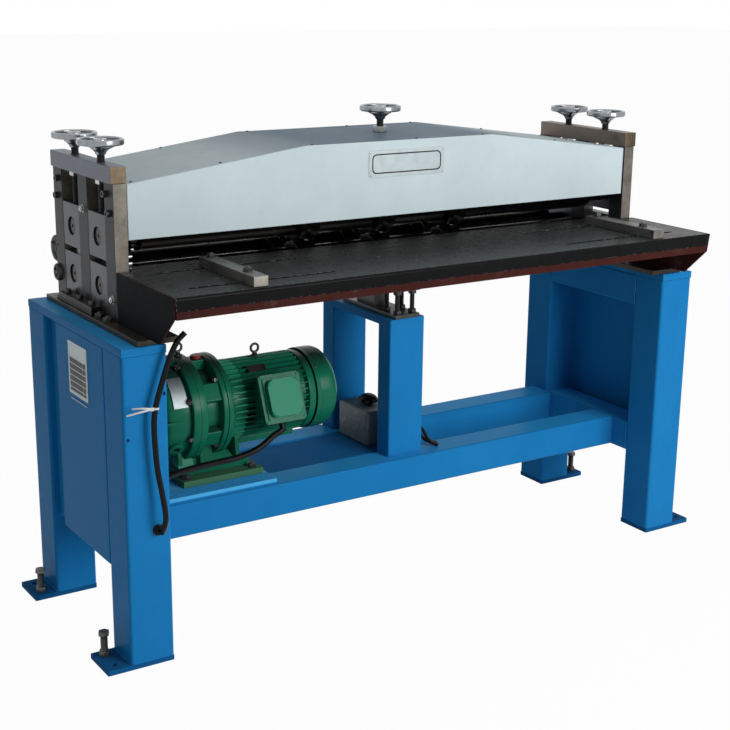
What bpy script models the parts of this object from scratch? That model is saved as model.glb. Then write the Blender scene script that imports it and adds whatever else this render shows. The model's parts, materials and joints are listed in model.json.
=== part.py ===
"""Sheet metal grooving machine: two welded stands with long rails carry a roller head that
presses stiffening grooves into sheet. A gearmotor on the rails turns the rollers by chain.

Metres, +Z up, X along the rollers, Y from the operator (front, -Y) to the back. The origin is
on the floor at the middle of the machine's length and depth.
"""

import math

import bmesh
import bpy
from mathutils import Euler, Matrix, Vector

# Gears of the rolls, which set how far apart the rolls lie
MODULE = 0.003
ROLL_GEAR_TEETH = 36
IDLER_TEETH = 13
ROLL_RISE = MODULE * ROLL_GEAR_TEETH
ROLL_SPACING = MODULE * (ROLL_GEAR_TEETH + IDLER_TEETH)

# Depth of the head, from its slots for the roll blocks and the cheeks in front and behind
SLOT_WIDTH = 0.096
FRONT_CHEEK = 0.048
REAR_CHEEK = 0.051
END_FRAME_DEPTH = FRONT_CHEEK + SLOT_WIDTH + ROLL_SPACING + REAR_CHEEK

# Overall places that the other sizes are measured from
HEAD_SETBACK = 0.287
BIG_CAP_BACK = 0.0115
BIG_CAP_RADIUS = 0.0305
OVERALL_DEPTH = HEAD_SETBACK + END_FRAME_DEPTH + BIG_CAP_BACK + BIG_CAP_RADIUS
FRONT_Y = -OVERALL_DEPTH / 2
REAR_Y = OVERALL_DEPTH / 2
TOUCH_GAP = 0.0003
RUNNING_GAP = 0.0005
WELD_OVERLAP = 0.001
SHARE_OF_TURN = math.tau

# Stands
STAND_OUTER_X = 0.794
STAND_HEIGHT = 0.708
STAND_DEPTH = 0.536
TABLE_OVERHANG = 0.115
LEG_SIZE = 0.100
TUBE_WALL = 0.005
STAND_TOP_THICKNESS = 0.018
RAIL_SIZE = 0.080
RAIL_TOP_Z = 0.288
RAIL_SETBACK = 0.020
FOOT_REACH = 0.054
FOOT_THICKNESS = 0.012
ANCHOR_RADIUS = 0.007
ANCHOR_FROM_EDGE = 0.025
JACK_RADIUS = 0.008
JACK_HEAD_RADIUS = 0.0125
JACK_HEAD_THICKNESS = 0.010
JACK_HEIGHT = 0.060
JACK_NUT_THICKNESS = 0.013
PANEL_DEPTH = RAIL_SETBACK - TOUCH_GAP
PANEL_SHEET = 0.003
PANEL_RECESS = 0.072
STAND_FRONT_Y = FRONT_Y + TABLE_OVERHANG
STAND_REAR_Y = STAND_FRONT_Y + STAND_DEPTH
STAND_INNER_X = STAND_OUTER_X - LEG_SIZE
CROSS_OUTER_X = STAND_OUTER_X - RAIL_SETBACK
RAIL_BOTTOM_Z = RAIL_TOP_Z - RAIL_SIZE
TOP_RAIL_TOP_Z = STAND_HEIGHT - STAND_TOP_THICKNESS

# Long rails, middle portal and the shelf between the rails
FRONT_RAIL_SETBACK = 0.157
REAR_RAIL_SETBACK = 0.117
FRONT_RAIL_Y = STAND_FRONT_Y + FRONT_RAIL_SETBACK
REAR_RAIL_Y = STAND_REAR_Y - REAR_RAIL_SETBACK
PORTAL_X = 0.029
PORTAL_WIDTH = 0.100
PORTAL_POST_DEPTH = 0.054
PORTAL_BELOW_STAND = 0.072
PORTAL_HEIGHT = STAND_HEIGHT - PORTAL_BELOW_STAND
PORTAL_TOP_THICKNESS = 0.018
PORTAL_POST_INSET = 0.026
SHELF_THICKNESS = 0.005
SHELF_SLOT = 0.008
SHELF_DROP = 0.003
SHELF_FRONT_Y = FRONT_RAIL_Y + RAIL_SIZE + SHELF_SLOT

# Head
END_FRAME_INSET = 0.002
END_FRAME_THICKNESS = 0.031
END_FRAME_RISE = 0.306
BED_PLATE_THICKNESS = 0.012
BED_PLATE_OUTSIDE = 0.030
BED_PLATE_INSIDE = 0.034
BED_PLATE_SETBACK = 0.006
CAP_BAR_WIDTH = 0.036
CAP_BAR_HEIGHT = 0.036
LOWER_ROLL_RISE = 0.075
SLOT_BOTTOM_OVER_ROLL = 0.048
FLANGE_WIDTH = 0.025
FLANGE_HEIGHT = 0.018
FLANGE_LENGTH = 0.190
SIDE_SCREW_RADIUS = 0.008
END_FRAME_INNER_X = STAND_INNER_X + END_FRAME_INSET
END_FRAME_OUTER_X = END_FRAME_INNER_X + END_FRAME_THICKNESS
END_FRAME_FRONT_Y = FRONT_Y + HEAD_SETBACK
END_FRAME_REAR_Y = END_FRAME_FRONT_Y + END_FRAME_DEPTH
END_FRAME_BOTTOM_Z = STAND_HEIGHT + BED_PLATE_THICKNESS + 2 * TOUCH_GAP
END_FRAME_TOP_Z = STAND_HEIGHT + END_FRAME_RISE
LOWER_ROLL_Z = STAND_HEIGHT + LOWER_ROLL_RISE
SLOT_BOTTOM_Z = LOWER_ROLL_Z + SLOT_BOTTOM_OVER_ROLL
BED_PLATE_OUTER_X = END_FRAME_OUTER_X + BED_PLATE_OUTSIDE
BED_PLATE_INNER_X = END_FRAME_INNER_X - BED_PLATE_INSIDE
BED_PLATE_FRONT_Y = STAND_FRONT_Y + BED_PLATE_SETBACK
CAP_TOP_Z = END_FRAME_TOP_Z + TOUCH_GAP + CAP_BAR_HEIGHT

# Rolls
ROLL_RADIUS = 0.040
RING_RADIUS = 0.0532
RING_WIDTH = 0.050
RING_CENTRE_X = -0.012
RING_PITCH = 0.210
BEAD_HEIGHT = 0.006
BEAD_WIDTH = 0.010
GROOVE_DEPTH = 0.008
GROOVE_WIDTH = 0.014
JOURNAL_RADIUS = 0.017
JOURNAL_RECESS = 0.0035
ROLL_END_GAP = 0.056
HUB_RADIUS = 0.028
GEAR_WIDTH = 0.022
GEAR_FROM_FRAME = 0.006
BLOCK_HEIGHT = 0.098
BLOCK_SIDE_GAP = 0.0005
BLOCK_RISE = 0.002
IDLER_STUB_RADIUS = 0.008
UPPER_ROLL_Z = LOWER_ROLL_Z + ROLL_RISE
FRONT_ROLL_Y = END_FRAME_FRONT_Y + FRONT_CHEEK + SLOT_WIDTH / 2
REAR_ROLL_Y = FRONT_ROLL_Y + ROLL_SPACING
ROLL_END_X = END_FRAME_INNER_X - ROLL_END_GAP

# Press screws and handwheels
SCREW_FROM_FRAME = 0.015
SCREW_RADIUS = 0.009
WHEEL_RADIUS = 0.0505
RIM_THICKNESS = 0.009
RIM_HEIGHT = 0.0135
RIM_CHAMFER = 0.002
WHEEL_HUB_LIFT = 0.015
WHEEL_HEIGHT = 0.033
WHEEL_RIM_LIFT = 0.027
WHEEL_HUB_RADIUS = 0.0155
WHEEL_HUB_FOOT_RADIUS = 0.0115
SPOKE_RADIUS = 0.0075
SPOKES = 3
SCREW_NUT_SIZE = 0.026
SCREW_NUT_HEIGHT = 0.014
CENTRE_SCREW_X = 0.045
CENTRE_WHEEL_LIFT = 0.031
SCREW_X = END_FRAME_INNER_X + SCREW_FROM_FRAME
SCREW_HOLE_RADIUS = SCREW_RADIUS + RUNNING_GAP

# Centre beam, saddle and lower support
BEAM_DEPTH = 0.060
BEAM_HEIGHT = 0.042
BEAM_BELOW_FRAME_TOP = 0.007
BEAM_TOP_Z = END_FRAME_TOP_Z - BEAM_BELOW_FRAME_TOP
BOSS_RADIUS = 0.0145
HEX_NUT_RADIUS = 0.0135
HEX_NUT_HEIGHT = 0.015
SADDLE_TRAVEL = 0.006
LIFT_TRAVEL = 0.006
BACKING_RADIUS = 0.008
BACKING_LENGTH = 0.040
SADDLE_WIDTH = 0.046
SUPPORT_WIDTH = 0.070
SUPPORT_FOOT_THICKNESS = 0.010
SUPPORT_TOP_THICKNESS = 0.012
SUPPORT_PILLAR = 0.040
SUPPORT_CLEARANCE = 0.009
STUD_RADIUS = 0.006
STUD_NUT_RADIUS = 0.011
STUD_NUT_HEIGHT = 0.009

# Cover over the head
COVER_END_GAP = 0.0015
COVER_SETBACK = 0.003
COVER_REAR_INSET = 0.010
COVER_FLAT_HALF_LENGTH = 0.262
COVER_SKIRT = 0.121
COVER_SHOULDER_DROP = 0.0017
COVER_CROWN = 0.0546
COVER_SHEET = 0.002
NAMEPLATE_CENTRE_X = 0.012
NAMEPLATE_LENGTH = 0.212
NAMEPLATE_HEIGHT = 0.063
NAMEPLATE_FROM_CROWN = 0.0521
NAMEPLATE_THICKNESS = 0.001
COVER_BOTTOM_Z = END_FRAME_TOP_Z - COVER_SKIRT
COVER_SHOULDER_Z = END_FRAME_TOP_Z - COVER_SHOULDER_DROP
COVER_TOP_Z = END_FRAME_TOP_Z + COVER_CROWN
NAMEPLATE_CENTRE_Z = COVER_TOP_Z - NAMEPLATE_FROM_CROWN
COVER_HALF_LENGTH = END_FRAME_INNER_X - COVER_END_GAP
COVER_FRONT_Y = END_FRAME_FRONT_Y + COVER_SETBACK
COVER_REAR_Y = END_FRAME_REAR_Y - COVER_REAR_INSET

# Work table
TABLE_OVER_LOWER_ROLL = 0.046
TABLE_SHEET = 0.005
TABLE_END_INSET = 0.0035
TABLE_TONGUE_GAP = 0.006
TABLE_TONGUE_DEPTH = 0.046
TABLE_TO_HEAD = 0.007
TABLE_BRACKET_SHEET = 0.005
LIP_HEIGHT = 0.028
STIFFENER_DEPTH = 0.030
STIFFENER_HEIGHT = 0.0165
TABLE_SLOT_WIDTH = 0.011
TABLE_SLOT_LENGTH = 0.345
TABLE_SLOT_FROM_END = 0.0585
FRONT_SLOT_SETBACK = 0.068
REAR_SLOT_SETBACK = 0.233
LEFT_GUIDE_FROM_SLOT_END = 0.135
RIGHT_GUIDE_FROM_SLOT_END = 0.100
GUIDE_WIDTH = 0.034
GUIDE_HEIGHT = 0.022
GUIDE_LENGTH = 0.248
GUIDE_INSET = 0.011
GUIDE_BOLT_RADIUS = 0.005
GUIDE_NUT_RADIUS = 0.0095
GUIDE_NUT_HEIGHT = 0.007
GUIDE_WASHER_RADIUS = 0.012
GUIDE_WASHER_THICKNESS = 0.002
BRACKET_FOOT_SETBACK = 0.074
BRACKET_NOSE_DROP = 0.045
BRACKET_NOSE_BACK = 0.006
TABLE_TOP_Z = LOWER_ROLL_Z + TABLE_OVER_LOWER_ROLL
TABLE_HALF_LENGTH = END_FRAME_OUTER_X - TABLE_END_INSET
TABLE_TONGUE_HALF_LENGTH = END_FRAME_INNER_X - TABLE_TONGUE_GAP
TABLE_REAR_Y = END_FRAME_FRONT_Y - TABLE_TO_HEAD
TABLE_SLOT_END_X = TABLE_HALF_LENGTH - TABLE_SLOT_FROM_END
TABLE_SLOT_START_X = TABLE_SLOT_END_X - TABLE_SLOT_LENGTH
FRONT_SLOT_Y = FRONT_Y + FRONT_SLOT_SETBACK
REAR_SLOT_Y = FRONT_Y + REAR_SLOT_SETBACK
LEFT_GUIDE_X = -(TABLE_SLOT_END_X - LEFT_GUIDE_FROM_SLOT_END)
RIGHT_GUIDE_X = TABLE_SLOT_END_X - RIGHT_GUIDE_FROM_SLOT_END
BRACKET_FOOT_Y = FRONT_Y + BRACKET_FOOT_SETBACK

# Chain drive from the gearmotor to the lower rear roll
CHAIN_FROM_FRAME = 0.045
CHAIN_WIDTH = 0.010
CHAIN_THICKNESS = 0.010
CHAIN_GAP = 0.001
SPROCKET_WIDTH = 0.006
DRIVEN_TEETH = 30
DRIVER_TEETH = 15
CHAIN_PITCH = 0.0127
SPROCKET_TOOTH = 0.003
OUTPUT_SHAFT_RADIUS = 0.018
OUTPUT_SHAFT_GAP = 0.0006
CHAIN_X = CHAIN_FROM_FRAME - END_FRAME_INNER_X

# Gearmotor, from its output end at the chain to the fan cover
MOTOR_SETBACK = 0.333
MOTOR_Z = 0.456
REDUCER_FROM_CHAIN = 0.036
HOUSING_NOSE_LENGTH = 0.018
HOUSING_NOSE_RADIUS = 0.055
HOUSING_LENGTH = 0.062
HOUSING_RADIUS = 0.112
BIG_FLANGE_WIDTH = 0.038
BIG_FLANGE_RADIUS = 0.1255
NECK_LENGTH = 0.041
NECK_RADIUS = 0.100
MOTOR_FLANGE_WIDTH = 0.028
MOTOR_FLANGE_RADIUS = 0.120
MOTOR_LENGTH = 0.2345
MOTOR_RADIUS = 0.0975
FAN_COVER_RADIUS = 0.100
FAN_COVER_LENGTH = 0.0715
FAN_COVER_DOME = 0.034
FAN_COVER_CROWN = 0.050
FAN_COVER_WALL = 0.002
FAN_RADIUS = 0.080
FAN_THICKNESS = 0.030
FAN_BLADES = 6
ROTOR_RADIUS = 0.012
GREEN_PLATE_THICKNESS = 0.0147
GREEN_PLATE_FROM_NOSE = 0.055
GREEN_PLATE_PAST_FLANGE = 0.076
GREEN_PLATE_HALF_DEPTH = 0.1145
REDUCER_FOOT_THICKNESS = 0.016
REDUCER_FOOT_HALF_DEPTH = 0.078
REDUCER_FOOT_LEFT_INSET = 0.004
REDUCER_FOOT_RIGHT_INSET = 0.020
REDUCER_WAIST_HALF_DEPTH = 0.062
REDUCER_WAIST_INSET = 0.020
EYE_RING_RADIUS = 0.0105
EYE_WIRE_RADIUS = 0.0035
EYE_STEM_RADIUS = 0.007
EYE_STEM_HEIGHT = 0.010
MOTOR_EYE_FROM_FLANGE = 0.116
REDUCER_EYE_INSET = 0.017
PLUG_FROM_FLANGE = 0.029
PLUG_RADIUS = 0.014
PLUG_HEIGHT = 0.021
TERMINAL_BOX_FROM_FLANGE = 0.1136
TERMINAL_BOX_LENGTH = 0.109
TERMINAL_BOX_HEIGHT = 0.115
TERMINAL_BOX_DEPTH = 0.043
TERMINAL_BOX_DROP = 0.025
TERMINAL_BOX_TILT = math.radians(22)
TERMINAL_BOX_FLANGE = 0.010
TERMINAL_BOX_FLANGE_THICKNESS = 0.006
TERMINAL_LID_BORDER = 0.0135
TERMINAL_LID_RISE = 0.016
GLAND_RADIUS = 0.011
GLAND_LENGTH = 0.010
MOTOR_Y = STAND_FRONT_Y + MOTOR_SETBACK
HOUSING_NOSE_LEFT_X = CHAIN_X + REDUCER_FROM_CHAIN
HOUSING_LEFT_X = HOUSING_NOSE_LEFT_X + HOUSING_NOSE_LENGTH
BIG_FLANGE_LEFT_X = HOUSING_LEFT_X + HOUSING_LENGTH
BIG_FLANGE_RIGHT_X = BIG_FLANGE_LEFT_X + BIG_FLANGE_WIDTH
MOTOR_FLANGE_LEFT_X = BIG_FLANGE_RIGHT_X + NECK_LENGTH
MOTOR_LEFT_X = MOTOR_FLANGE_LEFT_X + MOTOR_FLANGE_WIDTH
MOTOR_RIGHT_X = MOTOR_LEFT_X + MOTOR_LENGTH
GREEN_PLATE_LEFT_X = HOUSING_NOSE_LEFT_X + GREEN_PLATE_FROM_NOSE
GREEN_PLATE_RIGHT_X = MOTOR_LEFT_X + GREEN_PLATE_PAST_FLANGE
REDUCER_FOOT_LEFT_X = GREEN_PLATE_LEFT_X + REDUCER_FOOT_LEFT_INSET
REDUCER_FOOT_RIGHT_X = GREEN_PLATE_RIGHT_X - REDUCER_FOOT_RIGHT_INSET
MOTOR_EYE_X = MOTOR_LEFT_X + MOTOR_EYE_FROM_FLANGE
REDUCER_EYE_X = BIG_FLANGE_RIGHT_X - REDUCER_EYE_INSET
PLUG_X = BIG_FLANGE_RIGHT_X + PLUG_FROM_FLANGE
TERMINAL_BOX_X = MOTOR_LEFT_X + TERMINAL_BOX_FROM_FLANGE

# Thick pad on the rails under the gearmotor
MOTOR_PAD_THICKNESS = 0.010
MOTOR_PAD_INSET = 0.014
MOTOR_PAD_PAST_PLATE = 0.0105
MOTOR_PAD_RIGHT_X = GREEN_PLATE_RIGHT_X + MOTOR_PAD_PAST_PLATE

# Bearing caps behind the left end frame
CAP_DISC_THICKNESS = 0.008
BIG_CAP_RECESS = 0.001
BIG_CAP_OVER_ROLL = 0.039
BIG_CAP_Z = LOWER_ROLL_Z + BIG_CAP_OVER_ROLL
SMALL_CAP_RADIUS = 0.020
SMALL_CAP_INSET = 0.012
SMALL_CAP_BELOW_ROLL = 0.012
SMALL_CAP_Z = LOWER_ROLL_Z - SMALL_CAP_BELOW_ROLL
CAP_PLATE_OVER_BIG_CAP = 0.058
CAP_PLATE_BELOW_SMALL_CAP = 0.036
CAP_PLATE_TOP_Z = BIG_CAP_Z + CAP_PLATE_OVER_BIG_CAP
CAP_PLATE_BOTTOM_Z = SMALL_CAP_Z - CAP_PLATE_BELOW_SMALL_CAP
CAP_PLATE_DEPTH = 0.018

# Foot switch stored behind the middle post
SWITCH_PAST_POST = 0.001
SWITCH_FROM_SHELF_EDGE = 0.036
SWITCH_WIDTH = 0.096
SWITCH_DEPTH = 0.1355
SWITCH_HEIGHT = 0.092
SWITCH_EDGE = 0.008
PEDAL_RADIUS = 0.026
PEDAL_HEIGHT = 0.020
PEDAL_STEM_RADIUS = 0.010
PEDAL_TRAVEL = 0.006
PEDAL_FROM_REAR = 0.0665
SWITCH_LEFT_X = PORTAL_X - PORTAL_WIDTH / 2 - SWITCH_PAST_POST
SWITCH_FRONT_Y = SHELF_FRONT_Y + SWITCH_FROM_SHELF_EDGE

# Cables
MOTOR_CABLE_DIAMETER = 0.0145
SUPPLY_CABLE_DIAMETER = 0.012
SWITCH_LEAD_DIAMETER = 0.009
SUPPLY_EXIT_X = -0.7235
SUPPLY_EXIT_Z = 0.309
LEG_GLAND_RADIUS = 0.010
LEG_GLAND_LENGTH = 0.010

# Left rating plate
RATING_SETBACK = 0.1845
RATING_LENGTH = 0.106
RATING_HEIGHT = 0.118
RATING_BELOW_STAND_TOP = 0.042
RATING_TOP_Z = STAND_HEIGHT - RATING_BELOW_STAND_TOP
RATING_BOTTOM_Z = RATING_TOP_Z - RATING_HEIGHT
RATING_THICKNESS = 0.0008

# Facets on round shapes, and the bore whose flats stay clear of a turning journal
ROUND_FACETS = 24
SMALL_FACETS = 12
HEX_FACETS = 6
CABLE_BEVEL_STEPS = 2
SPLINE_STEPS = 24
DOME_STEPS = 4
JOURNAL_FIT = 0.0001
BORE_RADIUS = JOURNAL_RADIUS / math.cos(math.pi / ROUND_FACETS) + JOURNAL_FIT

PARTS = bpy.data.collections.new("sheet_metal_grooving_machine")
HELPERS = bpy.data.collections.new("cutters")

# Colour, roughness and metallic value of each material
FINISHES = {
    "blue_paint": ((0.013, 0.190, 0.440), 0.38, 0.0),
    "cover_paint": ((0.520, 0.610, 0.650), 0.45, 0.0),
    "table_paint": ((0.012, 0.014, 0.018), 0.35, 0.2),
    "primer_red": ((0.070, 0.010, 0.008), 0.60, 0.0),
    "bracket_paint": ((0.022, 0.030, 0.040), 0.45, 0.0),
    "frame_steel": ((0.090, 0.095, 0.110), 0.45, 0.7),
    "roll_steel": ((0.110, 0.105, 0.095), 0.35, 0.9),
    "black_steel": ((0.014, 0.014, 0.016), 0.45, 0.6),
    "chrome": ((0.800, 0.810, 0.830), 0.12, 1.0),
    "motor_green": ((0.016, 0.130, 0.070), 0.35, 0.0),
    "base_green": ((0.060, 0.110, 0.035), 0.55, 0.0),
    "black_rubber": ((0.010, 0.010, 0.011), 0.60, 0.0),
    "switch_grey": ((0.120, 0.125, 0.130), 0.50, 0.0),
    "plate_silver": ((0.560, 0.580, 0.600), 0.35, 0.6),
}


def clear_scene():
    for leftover in list(bpy.data.objects):
        bpy.data.objects.remove(leftover, do_unlink=True)
    bpy.context.scene.collection.children.link(PARTS)
    bpy.context.scene.collection.children.link(HELPERS)


def finish(name):
    found = bpy.data.materials.get(name)
    if found:
        return found
    colour, roughness, metallic = FINISHES[name]
    made = bpy.data.materials.new(name)
    made.use_nodes = True
    shader = made.node_tree.nodes["Principled BSDF"]
    shader.inputs["Base Color"].default_value = (*colour, 1.0)
    shader.inputs["Roughness"].default_value = roughness
    shader.inputs["Metallic"].default_value = metallic
    made.diffuse_color = (*colour, 1.0)
    return made


def place(name, mesh, paint, location=(0, 0, 0), turn=(0, 0, 0)):
    """A new object of the machine that holds this mesh."""
    mesh.materials.append(finish(paint))
    made = bpy.data.objects.new(name, mesh)
    made.location = location
    made.rotation_euler = turn
    PARTS.objects.link(made)
    return made


def hide_as_helper(obj):
    for holder in list(obj.users_collection):
        holder.objects.unlink(obj)
    HELPERS.objects.link(obj)
    obj.hide_render = True
    obj.display_type = "WIRE"


def boolean(target, other, operation):
    """Cuts the other object from the target, or joins it to the target."""
    hide_as_helper(other)
    step = target.modifiers.new(operation.lower(), "BOOLEAN")
    step.operation = operation
    step.solver = "EXACT"
    step.object = other
    return target


def cut(target, *cutters):
    for cutter in cutters:
        boolean(target, cutter, "DIFFERENCE")
    return target


def join(target, *others):
    for other in others:
        boolean(target, other, "UNION")
    return target


def shade(mesh):
    mesh.shade_smooth()
    mesh.set_sharp_from_angle(angle=math.radians(35))


def box(name, low, high, paint, edge=0.0):
    """A box between two corners, with its edges broken by a small bevel where one is given."""
    size = Vector(high) - Vector(low)
    centre = (Vector(high) + Vector(low)) / 2
    shape = bmesh.new()
    bmesh.ops.create_cube(shape, size=1.0, matrix=Matrix.Diagonal((*size, 1.0)))
    mesh = bpy.data.meshes.new(name)
    shape.to_mesh(mesh)
    shape.free()
    made = place(name, mesh, paint, centre)
    if edge:
        rounding = made.modifiers.new("edge", "BEVEL")
        rounding.width = edge
        rounding.segments = 2
    return made


def rod(name, start, end, radius, paint, facets=ROUND_FACETS, end_radius=None):
    """A cylinder between two points, or a cone where the end radius differs."""
    start, end = Vector(start), Vector(end)
    shape = bmesh.new()
    bmesh.ops.create_cone(
        shape,
        cap_ends=True,
        segments=facets,
        radius1=radius,
        radius2=radius if end_radius is None else end_radius,
        depth=(end - start).length,
    )
    mesh = bpy.data.meshes.new(name)
    shape.to_mesh(mesh)
    shape.free()
    if facets > HEX_FACETS:
        shade(mesh)
    turn = (end - start).to_track_quat("Z", "Y").to_euler()
    return place(name, mesh, paint, (start + end) / 2, turn)


def turned(name, profile, location, axis, paint, facets=ROUND_FACETS):
    """A lathe shape. The profile holds (radius, height) points from the top down."""
    mesh = bpy.data.meshes.new(name)
    points = [(radius, 0.0, height) for radius, height in profile]
    mesh.from_pydata(points, [(i, i + 1) for i in range(len(points) - 1)], [])
    turn = Vector(axis).to_track_quat("Z", "Y").to_euler()
    made = place(name, mesh, paint, location, turn)
    lathe = made.modifiers.new("lathe", "SCREW")
    lathe.axis = "Z"
    lathe.steps = facets
    lathe.render_steps = facets
    lathe.use_merge_vertices = True
    lathe.merge_threshold = 0.00005
    return made


def ring_of_points(centre, radius, facets, phase=0.0):
    return [
        (
            centre[0] + radius * math.cos(phase + SHARE_OF_TURN * i / facets),
            centre[1] + radius * math.sin(phase + SHARE_OF_TURN * i / facets),
        )
        for i in range(facets)
    ]


AXIS_TURNS = {
    "X": Matrix(((0, 0, 1), (1, 0, 0), (0, 1, 0))),
    "Y": Matrix(((1, 0, 0), (0, 0, -1), (0, 1, 0))),
    "Z": Matrix.Identity(3),
}


def slab(name, outlines, axis, low, high, paint, about=(0.0, 0.0)):
    """A flat outline with holes, drawn across an axis and made solid from low to high on it.

    The outline's two coordinates are Y and Z across X, X and Z across Y, and X and Y across Z.
    The object's origin lies on the axis through the point about.
    """
    curve = bpy.data.curves.new(name, "CURVE")
    curve.dimensions = "2D"
    curve.fill_mode = "BOTH"
    curve.extrude = (high - low) / 2
    for outline in outlines:
        spline = curve.splines.new("POLY")
        spline.points.add(len(outline) - 1)
        for point, (across, up) in zip(spline.points, outline):
            point.co = (across - about[0], up - about[1], 0.0, 1.0)
        spline.use_cyclic_u = True
    drawn = bpy.data.objects.new(name + "_outline", curve)
    HELPERS.objects.link(drawn)
    bpy.context.view_layer.update()
    graph = bpy.context.evaluated_depsgraph_get()
    mesh = bpy.data.meshes.new_from_object(drawn.evaluated_get(graph))
    bpy.data.objects.remove(drawn, do_unlink=True)
    welded = bmesh.new()
    welded.from_mesh(mesh)
    bmesh.ops.remove_doubles(welded, verts=welded.verts, dist=0.00001)
    bmesh.ops.recalc_face_normals(welded, faces=welded.faces)
    welded.to_mesh(mesh)
    welded.free()
    mesh.materials.clear()
    turn = AXIS_TURNS[axis]
    middle = (low + high) / 2
    location = turn @ Vector((about[0], about[1], 0.0))
    location["XYZ".index(axis)] = middle
    return place(name, mesh, paint, location, turn.to_euler())


def tube(name, points, diameter, paint):
    """A cable along its route, with filled ends."""
    curve = bpy.data.curves.new(name, "CURVE")
    curve.dimensions = "3D"
    curve.bevel_depth = diameter / 2
    curve.bevel_resolution = CABLE_BEVEL_STEPS
    curve.use_fill_caps = True
    spline = curve.splines.new("POLY")
    spline.points.add(len(points) - 1)
    for point, place_on_route in zip(spline.points, points):
        point.co = (*place_on_route, 1.0)
    curve.materials.append(finish(paint))
    made = bpy.data.objects.new(name, curve)
    PARTS.objects.link(made)
    return made


def smooth_route(corners, spacing):
    """Points at an even spacing on a smooth curve through the corners, with the first and last
    legs kept straight so that the cable's ends stand square to the faces they meet."""
    start, *middle, end = [Vector(corner) for corner in corners]
    ghosts = [start, *middle, end]
    dense = []
    for before, near, far, after in zip(ghosts, ghosts[1:], ghosts[2:], ghosts[3:]):
        for step in range(SPLINE_STEPS):
            t = step / SPLINE_STEPS
            slope = far - before
            bend = 2 * before - 5 * near + 4 * far - after
            twist = 3 * near - before - 3 * far + after
            dense.append(near + (slope * t + bend * t**2 + twist * t**3) / 2)
    dense.append(middle[-1])
    length = sum((b - a).length for a, b in zip(dense, dense[1:]))
    count = max(3, round(length / spacing))
    route = [start, dense[0]]
    walked = 0.0
    for a, b in zip(dense, dense[1:]):
        walked += (b - a).length
        if walked >= length * (len(route) - 1) / count and len(route) <= count:
            route.append(b)
    return [*route, dense[-1], end]


def pivot(name, location, *pieces):
    """An empty on a joint's axis that carries the pieces moving on it."""
    empty = bpy.data.objects.new(name, None)
    empty.empty_display_size = LEG_SIZE / 2
    empty.location = location
    PARTS.objects.link(empty)
    bpy.context.view_layer.update()
    for piece in pieces:
        piece.parent = empty
        piece.matrix_parent_inverse = empty.matrix_world.inverted()
    return empty


def hollow(tube_box, low, high, axis, ends=(True, True)):
    """Cuts the inside out of a square tube, through the ends that are open."""
    low, high = list(low), list(high)
    for i in range(3):
        if i == axis:
            low[i] -= TUBE_WALL if ends[0] else -TUBE_WALL
            high[i] += TUBE_WALL if ends[1] else -TUBE_WALL
        else:
            low[i] += TUBE_WALL
            high[i] -= TUBE_WALL
    return cut(tube_box, box(tube_box.name + "_inside", low, high, "blue_paint"))


def square_tube(name, low, high, axis, paint="blue_paint"):
    return hollow(box(name, low, high, paint), low, high, axis)


def mirrored(side, inner, outer):
    """The lower and upper X of a span between two distances from the middle, on one side."""
    return sorted((side * inner, side * outer))


# Stands


def jack_bolt(name, x, y):
    """A levelling bolt with its lock nut, standing in the foot plate."""
    base = FOOT_THICKNESS - WELD_OVERLAP
    shank = rod(name, (x, y, base), (x, y, JACK_HEIGHT), JACK_RADIUS, "black_steel", SMALL_FACETS)
    nut = rod(
        name + "_nut",
        (x, y, base),
        (x, y, FOOT_THICKNESS + JACK_NUT_THICKNESS),
        JACK_HEAD_RADIUS,
        "black_steel",
        HEX_FACETS,
    )
    head = rod(
        name + "_head",
        (x, y, JACK_HEIGHT - WELD_OVERLAP),
        (x, y, JACK_HEIGHT + JACK_HEAD_THICKNESS),
        JACK_HEAD_RADIUS,
        "black_steel",
        HEX_FACETS,
    )
    return shank, nut, head


def leg(side_name, side, row_name, front_y):
    """A square tube leg open at its top, welded to a foot plate with an anchor hole."""
    name = f"{side_name}_{row_name}_leg"
    low_x, high_x = mirrored(side, STAND_INNER_X, STAND_OUTER_X)
    low = (low_x, front_y, FOOT_THICKNESS - WELD_OVERLAP)
    high = (high_x, front_y + LEG_SIZE, TOP_RAIL_TOP_Z)
    tube_part = box(name, low, high, "blue_paint")
    foot_low, foot_high = mirrored(side, STAND_INNER_X, STAND_OUTER_X + FOOT_REACH)
    foot = box(
        name + "_foot",
        (foot_low, front_y, 0.0),
        (foot_high, front_y + LEG_SIZE, FOOT_THICKNESS),
        "blue_paint",
    )
    join(tube_part, foot)
    hollow(tube_part, low, high, 2, (False, True))
    middle_x = side * (STAND_OUTER_X + FOOT_REACH / 2 + JACK_RADIUS / 2)
    toward_front = front_y + ANCHOR_FROM_EDGE
    toward_back = front_y + LEG_SIZE - ANCHOR_FROM_EDGE
    anchor_y, jack_y = (toward_front, toward_back)
    if row_name == "rear":
        anchor_y, jack_y = (toward_back, toward_front)
    hole = rod(
        name + "_anchor",
        (middle_x, anchor_y, -FOOT_THICKNESS),
        (middle_x, anchor_y, 2 * FOOT_THICKNESS),
        ANCHOR_RADIUS,
        "blue_paint",
        SMALL_FACETS,
    )
    cut(tube_part, hole)
    join(tube_part, *jack_bolt(name + "_jack", middle_x, jack_y))
    return tube_part


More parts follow.
